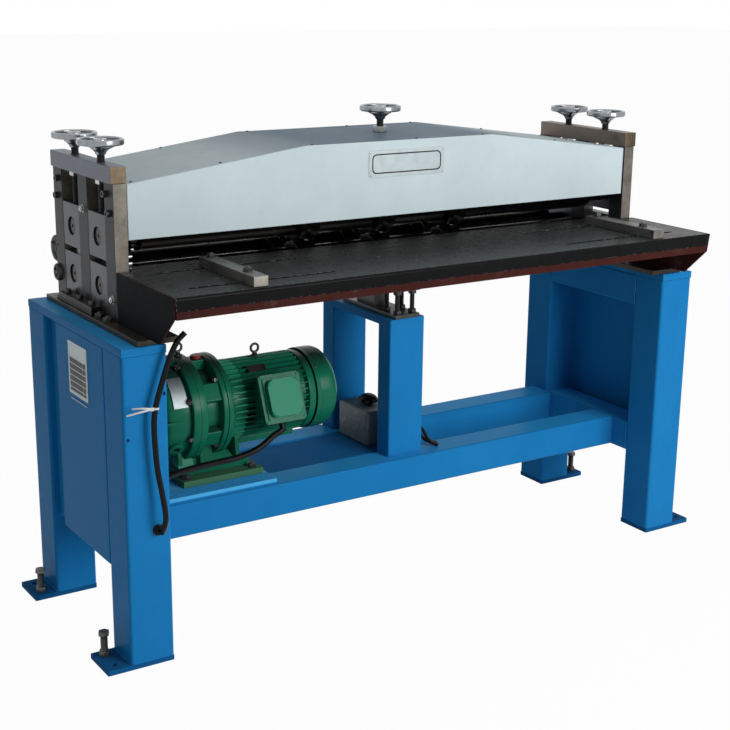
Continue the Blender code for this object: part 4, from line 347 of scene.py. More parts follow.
@dataclass(frozen=True)
class Enamel(Finish):
    """Sprayed or brushed paint over steel, with chipped edges, dust on top, grime, and painted
    light and shade on level tops.
    """

    rough: float = 0.38
    chips: float = 0.5
    chip_colour: Colour = (0.20, 0.24, 0.27)
    dust: float = 0.3
    # Grey dust colours are real dust; tinted ones also paint light (blue paints) and shade (motor
    # green) on upward faces.
    dust_and_shading_colour: Colour = (0.30, 0.29, 0.26)
    grime: float = 0.3
    peel: float = 0.00012
    grain: float = 320.0
    coat: float = 0.05
    gloss: float = 0.18
    # Painted top light and shade: how much, from how level a face, and in which colour.
    above: float = 0.0
    top_shading_from: float = 0.9955
    top_shading_colour: Colour = (0.05, 0.05, 0.05)
    strokes: Point = (1.0, 1.0, 1.0)

    def dress(self, graph: SurfaceGraph) -> None:
        """Builds the paint's nodes.

        Args:
            graph: The material's graph.
        """
        clouds = graph.noise(3.5, 4.0)
        mottle = graph.noise(38.0, 5.0, 0.62)
        streaks = graph.noise(9.0, 5.0, 0.65, graph.stretched(self.strokes))
        pale = tuple(min(1.0, c * 1.18 + 0.008) for c in self.colour)
        deep = tuple(c * 0.80 for c in self.colour)
        tone = graph.blend(clouds * 0.55 + streaks * 0.45, deep, pale)
        scuffs = (mottle * streaks).step(0.30, 0.42) * self.grime
        tone = graph.blend(scuffs * 0.35, tone, self.dust_and_shading_colour)
        upward = graph.facing(UP).step(0.75, 0.98)
        # Painted light and shade: level, upward faces take a lighter colour on some paints and a
        # darker one on others, for how the light falls on them.
        level = graph.facing(UP).step(self.top_shading_from, 0.999)
        tone = graph.blend(level * self.above, tone, self.top_shading_colour)
        # Dust on upward faces, which with a tinted dust colour is also painted light and shade.
        dusty = upward * (mottle * 0.6 + clouds * 0.6).step(0.45, 0.75) * self.dust
        tone = graph.blend(dusty, tone, self.dust_and_shading_colour)
        worn = graph.edges(0.0022)
        chips = worn * graph.noise(120.0, 4.0, 0.7).step(0.50, 0.62) * self.chips
        tone = graph.blend(chips, tone, self.chip_colour)
        dark_seams = graph.noise(22.0, 3.0).step(0.56, 0.72) * self.grime * 0.4
        tone = graph.blend(dark_seams, tone, tuple(c * 0.45 for c in self.colour))
        fine = graph.noise(self.grain, 2.0, 0.5)
        under = graph.bump(streaks, 0.0006, 0.35)
        graph.give(
            Base_Color=tone,
            Roughness=self.rough + (mottle - 0.5) * 0.22 + dusty * 0.35 + chips * 0.1,
            Coat_Weight=self.coat * (1.0 - dusty),
            Normal=graph.bump(fine, self.peel, 0.8, under),
        )
        graph.shader.inputs["Coat Roughness"].default_value = 0.18
        graph.shine(self.gloss)


@dataclass(frozen=True)
class Metal(Finish):
    """Bare, oiled or blackened metal with tool marks, worn edges and rust."""

    rough: float = 0.38
    metallic: float = 0.85
    light: Colour = (0.32, 0.32, 0.31)
    marks: Point = (1.0, 1.0, 24.0)
    mark_depth: float = 0.00006
    rust: float = 0.25
    rust_colour: Colour = (0.16, 0.085, 0.035)
    worn: float = 0.5
    front: float = 0.0
    front_colour: Colour = (0.30, 0.27, 0.22)
    gloss: float = 0.4

    def dress(self, graph: SurfaceGraph) -> None:
        """Builds the metal's nodes.

        Args:
            graph: The material's graph.
        """
        clouds = graph.noise(7.0, 5.0, 0.6)
        grain = graph.noise(85.0, 3.0, 0.6, graph.stretched(self.marks))
        fine = graph.noise(420.0, 2.0, 0.6, graph.stretched(self.marks))
        stains = graph.noise(24.0, 6.0, 0.68)
        soft_light = tuple(c * 0.55 + l * 0.45 for c, l in zip(self.colour, self.light))
        tone = graph.blend(grain * 0.45 + clouds * 0.55, self.colour, soft_light)
        oil = stains.step(0.52, 0.70)
        tone = graph.blend(oil * 0.45, tone, tuple(c * 0.45 for c in self.colour))
        rusty = graph.noise(15.0, 7.0, 0.72).step(0.60 - 0.10 * self.rust, 0.74) * self.rust
        tone = graph.blend(rusty, tone, self.rust_colour)
        if self.front:
            ahead = graph.facing(FRONT).step(0.6, 0.95) * self.front
            raw = graph.blend(stains.step(0.35, 0.65), self.front_colour,
                              tuple(c * 0.62 for c in self.front_colour))
            tone = graph.blend(ahead, tone, raw)
        bright = graph.edges(0.0012) * stains.step(0.30, 0.55) * self.worn
        tone = graph.blend(bright, tone, self.light)
        graph.give(
            Base_Color=tone,
            Metallic=self.metallic * (1.0 - rusty * 0.8),
            Roughness=self.rough + (grain - 0.5) * 0.18 - oil * 0.12 + rusty * 0.35,
            Normal=graph.bump(fine, self.mark_depth, 0.9, graph.bump(clouds, 0.0006, 0.25)),
        )
        graph.shine(self.gloss)


@dataclass(frozen=True)
class Plated(Finish):
    """Bright chrome or zinc plate over a polished casting."""

    rough: float = 0.10
    haze: float = 0.38

    def dress(self, graph: SurfaceGraph) -> None:
        """Builds the plate's nodes.

        Args:
            graph: The material's graph.
        """
        haze = graph.noise(40.0, 5.0, 0.65)
        ripple = graph.noise(75.0, 2.0, 0.4)
        scratches = graph.noise(300.0, 2.0, 0.7, graph.stretched((1.0, 6.0, 1.0)))
        dull = tuple(c * (1.0 - self.haze) for c in self.colour)
        tint = graph.blend(haze.step(0.35, 0.75), self.colour, dull)
        spots = graph.noise(130.0, 4.0, 0.7).step(0.66, 0.74)
        graph.give(
            Base_Color=graph.blend(spots * 0.5, tint, (0.16, 0.13, 0.10)),
            Metallic=1.0 - spots * 0.3,
            Roughness=self.rough + haze * 0.12 + spots * 0.25,
            Normal=graph.bump(scratches, 0.00002, 0.4, graph.bump(ripple, 0.0004, 0.35)),
        )


@dataclass(frozen=True)
class Rubber(Finish):
    """Matt black cable sheath or moulded rubber, dusty in places."""

    rough: float = 0.55
    dust: float = 0.20
    gloss: float = 0.12

    def dress(self, graph: SurfaceGraph) -> None:
        """Builds the rubber's nodes.

        Args:
            graph: The material's graph.
        """
        clouds = graph.noise(30.0, 4.0, 0.6)
        fine = graph.noise(500.0, 2.0)
        dusty = clouds.step(0.45, 0.75) * graph.facing(UP).step(-0.2, 0.9)
        graph.give(
            Base_Color=graph.blend(dusty * self.dust, self.colour, (0.16, 0.15, 0.14)),
            Roughness=self.rough - clouds * 0.18 + dusty * 0.2,
            Normal=graph.bump(fine, 0.00008, 0.6),
        )
        graph.shine(self.gloss)


@dataclass(frozen=True)
class Film(Finish):
    """A grey case under crumpled clear wrapping film."""

    def dress(self, graph: SurfaceGraph) -> None:
        """Builds the film's nodes.

        Args:
            graph: The material's graph.
        """
        folds = graph.noise(20.0, 4.0, 0.65)
        creases = 1.0 - abs(graph.noise(46.0, 3.0, 0.6) - 0.5).step(0.0, 0.045)
        # Glints are painted highlights: a lighter colour along the creases; the coat there is real
        # gloss.
        glints = creases * folds.step(0.52, 0.66)
        tone = graph.blend(folds, self.colour, tuple(c * 0.62 for c in self.colour))
        graph.give(
            Base_Color=graph.blend(glints * 0.6, tone, (0.42, 0.44, 0.45)),
            Roughness=0.40 + folds * 0.2,
            Coat_Weight=0.4 * glints,
            Normal=graph.bump(creases, 0.0006, 0.4, graph.bump(folds, 0.0020, 0.4)),
        )


# Blue paint: the pale blue on level tops and the blue-tinted dust are painted light on upward
# faces.
BLUE = Enamel("blue_paint", "blue_paint", (0.009, 0.203, 0.510), chips=0.55,
              strokes=(1.0, 1.0, 0.35), dust=0.04, dust_and_shading_colour=(0.10, 0.26, 0.40), grime=0.12,
              above=0.9, top_shading_colour=(0.034, 0.400, 0.860), coat=0.01, gloss=0.02)
# A lighter copy of the blue paint, with pale blue dust: painted light on the motor pad's top.
LIT_BLUE_PAD = Enamel("blue_pad_paint", "blue_paint", (0.080, 0.480, 0.860), chips=0.8,
                  strokes=(0.25, 9.0, 1.0), dust=0.20, dust_and_shading_colour=(0.22, 0.50, 0.72), gloss=0.03)
# A darker copy of the blue paint: painted shade on the shelf under the head.
SHADED_BLUE_SHELF = Enamel("blue_shelf_paint", "blue_paint", (0.006, 0.145, 0.400), chips=0.4,
                    dust=0.05, grime=0.20, gloss=0.02, rough=0.6, coat=0.0)
# A darker copy of the blue paint: painted shade on the foot plates.
SHADED_BLUE_FOOT = Enamel("blue_foot_paint", "blue_paint", (0.004, 0.105, 0.290),
                   dust=0.15, dust_and_shading_colour=(0.06, 0.08, 0.10), gloss=0.02, rough=0.6, coat=0.0)
# Cover paint: the darker colour on the level top is painted shade.
COVER = Enamel("cover_paint", "cover_paint", (0.62, 0.735, 0.765), rough=0.46, chips=0.35,
               dust=0.0, above=0.9, top_shading_colour=(0.135, 0.200, 0.275), grime=0.10, peel=0.00008,
               chip_colour=(0.12, 0.11, 0.10), coat=0.0, gloss=0.03)
# Table paint: the lighter grey on the level top is a painted sheen.
TABLE = Enamel("table_paint", "table_paint", (0.003, 0.0033, 0.0036), rough=0.26, chips=0.8,
               chip_colour=(0.40, 0.42, 0.43), dust=0.08, dust_and_shading_colour=(0.070, 0.072, 0.074),
               above=0.9, top_shading_colour=(0.048, 0.050, 0.050),
               grime=0.08, peel=0.00010, grain=210.0, coat=0.03, gloss=0.03,
               strokes=(14.0, 1.0, 0.6))
PRIMER = Enamel("primer_red", "primer_red", (0.048, 0.011, 0.009), rough=0.58, chips=0.2,
                dust=0.0, coat=0.0, gloss=0.02)
BRACKET = Enamel("bracket_paint", "bracket_paint", (0.006, 0.0075, 0.0105), rough=0.42, chips=0.35,
                 chip_colour=(0.20, 0.19, 0.18), dust=0.1, dust_and_shading_colour=(0.05, 0.05, 0.05),
                 grime=0.12, coat=0.0, gloss=0.01)
# Motor paint: the dark colour on upward faces and the dark dust colour are painted shade on the
# motor's and reducer's tops.
GREEN = Enamel("motor_green", "motor_green", (0.001, 0.138, 0.072), rough=0.26, chips=0.4,
               chip_colour=(0.05, 0.26, 0.15), dust=0.10, dust_and_shading_colour=(0.010, 0.022, 0.018),
               above=0.92, top_shading_from=0.45, top_shading_colour=(0.012, 0.024, 0.021),
               grime=0.15, peel=0.00035, grain=240.0, coat=0.03, gloss=0.10)
# A lighter copy of the motor paint: painted light on the terminal lid and its screws, a band of
# fins and the reducer foot's front faces.
LIT_GREEN = Enamel("lid_green", "motor_green", (0.015, 0.245, 0.140), rough=0.36,
                   chip_colour=(0.16, 0.40, 0.27), dust=0.1, dust_and_shading_colour=(0.08, 0.26, 0.17),
                   grime=0.15, peel=0.00020, grain=240.0, coat=0.04, gloss=0.08)
OLIVE = Enamel("base_green", "base_green", (0.046, 0.165, 0.085), rough=0.55, chips=0.6,
               chip_colour=(0.16, 0.17, 0.08), dust=0.4, dust_and_shading_colour=(0.10, 0.13, 0.10),
               grime=0.6, coat=0.0)
RED_PLUG = Enamel("red_plug", "primer_red", (0.22, 0.016, 0.010), rough=0.40, chips=0.1)
BLACK_PRINT = Enamel("black_print", "plate_silver", (0.010, 0.010, 0.010), rough=0.45, chips=0.0)
FRAME_STEEL = Metal("frame_steel", "frame_steel", (0.024, 0.028, 0.034), rough=0.40,
                    light=(0.085, 0.094, 0.105), marks=(1.0, 1.0, 18.0), rust=0.15, front=0.90,
                    front_colour=(0.225, 0.205, 0.172), worn=0.3, metallic=0.35, gloss=0.06)
# Dark steel, darkened further as painted shade on the bed plates and foot flanges under the head.
SHADED_BED_STEEL = Metal("bed_steel", "frame_steel", (0.014, 0.013, 0.012), rough=0.42,
                  light=(0.09, 0.078, 0.062), marks=(1.0, 14.0, 1.0), rust=0.4, worn=0.9)
BLOCK_STEEL = Metal("block_steel", "frame_steel", (0.040, 0.044, 0.052), rough=0.36,
                    light=(0.110, 0.118, 0.134), marks=(1.0, 22.0, 1.0), rust=0.2)
CAP_STEEL = Metal("cap_steel", "frame_steel", (0.082, 0.093, 0.115), rough=0.42,
                  light=(0.24, 0.27, 0.32), marks=(1.0, 20.0, 20.0), rust=0.20, front=1.0,
                  front_colour=(0.140, 0.106, 0.070), worn=0.35, metallic=0.7, gloss=0.1)
CAP_STEEL_RIGHT = replace(CAP_STEEL, name="warm_cap_steel", colour=(0.150, 0.125, 0.110),
                          light=(0.30, 0.25, 0.21))
ROLL_STEEL = Metal("roll_steel", "roll_steel", (0.008, 0.0075, 0.007), rough=0.30,
                   light=(0.060, 0.055, 0.048), marks=(30.0, 1.0, 1.0), rust=0.2, metallic=0.95)
GUIDE_STEEL = Metal("guide_steel", "black_steel", (0.095, 0.093, 0.088), rough=0.42,
                    light=(0.34, 0.33, 0.32), marks=(1.0, 0.5, 20.0), rust=0.5, front=0.5)
BLACK_STEEL = Metal("black_steel", "black_steel", (0.016, 0.016, 0.018), rough=0.40,
                    light=(0.16, 0.16, 0.16), metallic=0.6, rust=0.15, worn=0.6)
# Near-black steel for strips and discs that stand in for shade in gaps and hollows.
SHADE_BLACK = Metal("shadowed_steel", "black_steel", (0.006, 0.006, 0.006), rough=0.6,
                  light=(0.02, 0.02, 0.02), metallic=0.3, worn=0.0)
ZINC = Plated("zinc_plate", "chrome", (0.50, 0.51, 0.49), rough=0.26)
DULL_ZINC = Plated("dull_zinc", "chrome", (0.10, 0.105, 0.10), rough=0.42)
CHROME = Plated("chrome", "chrome", (0.30, 0.32, 0.34), rough=0.13)
PLATE = Plated("plate_silver", "plate_silver", (0.33, 0.375, 0.385), rough=0.50, haze=0.08)
BLACK_RUBBER = Rubber("black_rubber", "black_rubber", (0.004, 0.004, 0.0045), rough=0.40,
                      dust=0.04)
TIE = Rubber("white_tie", "switch_grey", (0.70, 0.70, 0.68), rough=0.40)
SWITCH_FILM = Film("switch_grey", "switch_grey", (0.115, 0.148, 0.165))


# Shapes


class Axis(Enum):
    """The axis that a flat outline is drawn across, with the turn from XY to it."""

    X = Matrix(((0, 0, 1), (1, 0, 0), (0, 1, 0)))
    Y = Matrix(((1, 0, 0), (0, 0, -1), (0, 1, 0)))
    Z = Matrix(((1, 0, 0), (0, 1, 0), (0, 0, 1)))

    def at(self, across: float, up: float, along: float) -> Vector:
        """The point in space of an outline's point at a height along the axis."""
        turned = self.value @ Vector((across, up, 0.0))
        turned["XYZ".index(self.name)] = along
        return turned


# Places that several assemblies share, in metres

ROWS = (0.0475, 0.1945)  # Y of the front and rear rolls' axes
LOWER_ROLL_Z = 0.783
UPPER_ROLL_Z = 0.891
PRESS_SCREW_X = 0.711
CENTRE_SCREW = (0.045, 0.121)  # X and Y of the centre screw's axis
SCREW_BORE = 0.0096
GAP = 0.0003  # between painted faces that lie together
CAST = 0.0010  # edge radius of most heavy parts


def link(thing: bpy.types.Object) -> None:
    """Puts an object into the scene."""
    bpy.context.scene.collection.objects.link(thing)


def discard(*things: bpy.types.Object) -> None:
    """Deletes helper objects."""
    for thing in things:
        bpy.data.objects.remove(thing, do_unlink=True)


def spread(side: int, inner: float, outer: float) -> tuple[float, float]:
    """The lower and upper X between two distances from the machine's middle, on one side."""
    low, high = sorted((side * inner, side * outer))
    return low, high


def polar(centre: tuple[float, float], radius: float, angle: float) -> tuple[float, float]:
    """The point at a radius and an angle from a centre."""
    return centre[0] + radius * math.cos(angle), centre[1] + radius * math.sin(angle)


def hexagon(x: float, y: float, radius: float, turn: float = 0.0) -> Outline:
    """A hexagon's corners about a point."""
    return [polar((x, y), radius, TURN * i / 6 + turn) for i in range(6)]


def thread(first: float, second: float, foot: float, turns: int, pitch: float = 0.002) -> Outline:
    """(radius, height) points of a thread that goes between two radii."""
    return [point for i in range(turns)
            for point in ((first, foot + i * pitch), (second, foot + i * pitch + pitch / 2))]


def bored(x: float, y: float, low: float, high: float) -> "Form":
    """The tool that bores a screw's hole along Z."""
    return Form().rod((x, y, low), (x, y, high), SCREW_BORE, 0.0, 28)


def bearing_rings(low_x: float, high_x: float, rows: Sequence[float], z: float) -> "Form":
    """The bearing rings about the rolls' journals, one in each row.

    Args:
        low_x: Where the rings start.
        high_x: Where they end.
        rows: The Y of each ring's axis.
        z: Height of their axes.

    Returns:
        The rings' form.
    """
    form, inner, outer = Form(), 0.0176, 0.0206
    for y in rows:
        form.lathe([(inner, 0.0), (outer, 0.0), (outer, high_x - low_x), (inner, high_x - low_x)],
                   (low_x, y, z), RIGHT, 48)
    return form


class Form:
    """A mesh in the making, in the machine's frame. Its methods add closed shapes to it."""

    def __init__(self) -> None:
        """Starts with nothing in it."""
        self.mesh = bmesh.new()

    def block(self, low: Point, high: Point, edge: float = 0.001, steps: int = 2) -> "Form":
        """Adds a box with rounded edges.

        Args:
            low: Its lowest corner.
            high: Its highest corner.
            edge: Radius of its edges.
            steps: Facets round an edge.

        Returns:
            This form.
        """
        size, centre = Vector(high) - Vector(low), (Vector(high) + Vector(low)) / 2
        place = Matrix.Translation(centre) @ Matrix.Diagonal((*size, 1.0))
        made = bmesh.ops.create_cube(self.mesh, size=1.0, matrix=place)["verts"]
        if edge:
            self._round({e for v in made for e in v.link_edges}, edge, steps)
        return self

    def _round(self, edges: Iterable[bmesh.types.BMEdge], edge: float, steps: int) -> None:
        """Rounds edges.

        Args:
            edges: The edges.
            edge: Their radius.
            steps: Facets round each.
        """
        bmesh.ops.bevel(
            self.mesh, geom=list(edges), offset=edge, segments=steps, profile=0.5,
            affect="EDGES", clamp_overlap=True,
        )

    def prism(self, outline: Outline, axis: Axis, low: float, high: float,
              edge: float = 0.001, steps: int = 2) -> "Form":
        """Adds a flat outline made solid along an axis.

        Args:
            outline: Its corners in order, in the axis's own two coordinates.
            axis: The axis it is drawn across.
            low: Where it starts on the axis.
            high: Where it ends.
            edge: Radius of the edges round both ends.
            steps: Facets round an edge.

        Returns:
            This form.
        """
        ends = [[self.mesh.verts.new(axis.at(a, b, h)) for a, b in outline] for h in (low, high)]
        count = len(outline)
        caps = [self.mesh.faces.new(end) for end in ends]
        for i in range(count):
            j = (i + 1) % count
            self.mesh.faces.new((ends[0][i], ends[0][j], ends[1][j], ends[1][i]))
        if edge:
            self._round({e for cap in caps for e in cap.edges}, edge, steps)
        return self

    def lathe(self, profile: Sequence[tuple[float, float]], base: Point,
              direction: Point = UP, facets: int = 40) -> "Form":
        """Adds a turned shape.

        Args:
            profile: (radius, height) points from one end on the axis to the other.
            base: The point at height 0.
            direction: The axis's direction.
            facets: Facets round the axis.

        Returns:
            This form.
        """
        turn = Vector(direction).to_track_quat("Z", "Y").to_matrix()
        base = Vector(base)
        rings = []
        for radius, height in profile:
            count = 1 if radius < 1e-7 else facets
            rings.append([
                self.mesh.verts.new(base + turn @ Vector((
                    radius * math.cos(TURN * i / facets),
                    radius * math.sin(TURN * i / facets),
                    height,
                )))
                for i in range(count)
            ])
        closed = len(rings[0]) > 1
        pairs = list(zip(rings, rings[1:])) + ([(rings[-1], rings[0])] if closed else [])
        for upper, lower in pairs:
            for i in range(facets):
                j = (i + 1) % facets
                corners = [upper[i % len(upper)], upper[j % len(upper)],
                           lower[j % len(lower)], lower[i % len(lower)]]
                kept = [v for n, v in enumerate(corners) if v not in corners[:n]]
                if len(kept) > 2:
                    self.mesh.faces.new(kept)
        return self

    def rod(self, start: Point, end: Point, radius: float, edge: float = 0.0005,
            facets: int = 32) -> "Form":
        """Adds a cylinder with chamfered ends.

        Args:
            start: Centre of its first end.
            end: Centre of its second end.
            radius: Its radius.
            edge: Size of the chamfers.
            facets: Facets round it.

        Returns:
            This form.
        """
        along = Vector(end) - Vector(start)
        length = along.length
        edge = min(edge, radius * 0.4, length * 0.4)
        profile = [(0.0, 0.0), (radius - edge, 0.0), (radius, edge), (radius, length - edge),
                   (radius - edge, length), (0.0, length)]
        return self.lathe(profile, start, along, facets)

    def sweep(self, path: Sequence[Point], radii: Sequence[tuple[float, float]],
              facets: int = 12) -> "Form":
        """Adds a bar of elliptical section along a path.

        Args:
            path: The points that its middle follows.
            radii: Half width and half height at each point.
            facets: Facets round it.

        Returns:
            This form.
        """
        path = [Vector(p) for p in path]
        rings = []
        for i, (centre, (wide, high)) in enumerate(zip(path, radii)):
            ahead = (path[min(i + 1, len(path) - 1)] - path[max(i - 1, 0)]).normalized()
            across = ahead.cross(Vector(UP)).normalized()
            up = across.cross(ahead)
            rings.append([
                self.mesh.verts.new(centre + across * wide * math.cos(TURN * k / facets)
                                    + up * high * math.sin(TURN * k / facets))
                for k in range(facets)
            ])
        for first, second in zip(rings, rings[1:]):
            for k in range(facets):
                j = (k + 1) % facets
                self.mesh.faces.new((first[k], first[j], second[j], second[k]))
        self.mesh.faces.new(rings[0])
        self.mesh.faces.new(rings[-1])
        return self

    def moved(self, matrix: Matrix) -> "Form":
        """Moves everything in the form by a matrix."""
        bmesh.ops.transform(self.mesh, matrix=matrix, verts=self.mesh.verts)
        return self

    def take(self, mesh: bpy.types.Mesh) -> "Form":
        """Adds a copy of a mesh, with its loose corners merged."""
        self.mesh.from_mesh(mesh)
        bmesh.ops.remove_doubles(self.mesh, verts=self.mesh.verts, dist=1e-6)
        return self

    def add(self, mesh: bpy.types.Mesh) -> "Form":
        """Adds a mesh, which is used up."""
        self.mesh.from_mesh(mesh)
        bpy.data.meshes.remove(mesh)
        return self

    def data(self, name: str = "form") -> bpy.types.Mesh:
        """The finished mesh, with its faces outwards. The form is used up.

        Args:
            name: The mesh's name.

        Returns:
            The mesh.
        """
        bmesh.ops.recalc_face_normals(self.mesh, faces=self.mesh.faces)
        made = bpy.data.meshes.new(name)
        self.mesh.to_mesh(made)
        self.mesh.free()
        return made

    def less(self, *cutters: "Form") -> "Form":
        """Cuts other forms out of this one.

        Args:
            cutters: Closed forms, which are used up.

        Returns:
            This form.
        """
        target = bpy.data.objects.new("target", self.data())
        tools = [bpy.data.objects.new("tool", cutter.data()) for cutter in cutters]
        link(target)
        for tool in tools:
            link(tool)
            step = target.modifiers.new("cut", "BOOLEAN")
            step.operation, step.solver, step.object = "DIFFERENCE", "EXACT", tool
        result = evaluated_mesh(target)
        discard(target, *tools)
        self.mesh = bmesh.new()
        return self.add(result)

    def piece(self, name: str, finish: Finish, body: str = "machine",
              nodes: Sequence[str] = (), smooth: float = 50.0) -> bpy.types.Object:
        """Makes the form a piece of the machine, as dress does with its mesh."""
        return dress(self.data(name), name, finish, body, nodes, smooth)


def evaluated_mesh(holder: bpy.types.Object) -> bpy.types.Mesh:
    """The mesh that an object's modifiers give.

    Args:
        holder: The object, in the scene.

    Returns:
        A mesh of its own, with the object's place applied.
    """
    bpy.context.view_layer.update()
    graph = bpy.context.evaluated_depsgraph_get()
    made = bpy.data.meshes.new_from_object(holder.evaluated_get(graph))
    made.transform(holder.matrix_world)
    return made


def dress(mesh: bpy.types.Mesh, name: str, finish: Finish, body: str = "machine",
          nodes: Sequence[str] = (), smooth: float = 50.0) -> bpy.types.Object:
    """Puts a mesh into the scene as a piece of the machine.

    Args:
        mesh: Its mesh, in the machine's frame.
        name: The piece's name.
        finish: Its surface.
        body: The CAD body that it rides on.
        nodes: CAD nodes that it stands for.
        smooth: Bends sharper than this, in degrees, stay sharp.

    Returns:
        The piece.
    """
    mesh.name = name
    mesh.materials.clear()
    mesh.materials.append(finish.material())
    mesh.shade_smooth()
    mesh.set_sharp_from_angle(angle=math.radians(smooth))
    made = bpy.data.objects.new(name, mesh)
    link(made)
    evened = made.modifiers.new("even_shading", "WEIGHTED_NORMAL")
    evened.keep_sharp = True
    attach(made, body)
    if nodes:
        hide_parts(*nodes)
    log.info("%s: %d faces on %s", name, len(mesh.polygons), body)
    return made


def rounded(low: tuple[float, float], high: tuple[float, float], radius: float,
            steps: int = 5) -> Outline:
    """A rectangle's outline with round corners.

    Args:
        low: Its lowest corner.
        high: Its highest corner.
        radius: Radius of its corners.
        steps: Facets round a corner.

    Returns:
        The outline's points.
    """
    corners = (
        (high[0] - radius, high[1] - radius, 0.0),
        (low[0] + radius, high[1] - radius, 0.25),
        (low[0] + radius, low[1] + radius, 0.5),
        (high[0] - radius, low[1] + radius, 0.75),
    )
    return [polar((x, y), radius, TURN * (start + i / steps / 4))
            for x, y, start in corners for i in range(steps + 1)]


def smooth_route(corners: Sequence[Point], spacing: float) -> list[Vector]:
    """Points at an even spacing on a smooth curve through the corners.

    Args:
        corners: The points that the route passes; its first and last legs stay straight.
        spacing: Distance between the points.

    Returns:
        The points.
    """
    passed = [Vector(corner) for corner in corners]
    dense = []
    for before, near, far, after in zip(passed, passed[1:], passed[2:], passed[3:]):
        for step in range(24):
            t = step / 24
            slope = far - before
            bend = 2 * before - 5 * near + 4 * far - after
            twist = 3 * near - before - 3 * far + after
            dense.append(near + (slope * t + bend * t**2 + twist * t**3) / 2)
    dense.append(passed[-2])
    length = sum((b - a).length for a, b in zip(dense, dense[1:]))
    count = max(3, round(length / spacing))
    route = [passed[0], dense[0]]
    walked = 0.0
    for a, b in zip(dense, dense[1:]):
        walked += (b - a).length
        if walked >= length * (len(route) - 1) / count and len(route) <= count:
            route.append(b)
    return [*route, dense[-1], passed[-1]]


# Geometry Nodes that repeat shapes


class Repeat(Enum):
    """How copies of a shape are set out."""

    RING = "ring"
    PATH = "path"
    POINTS = "points"


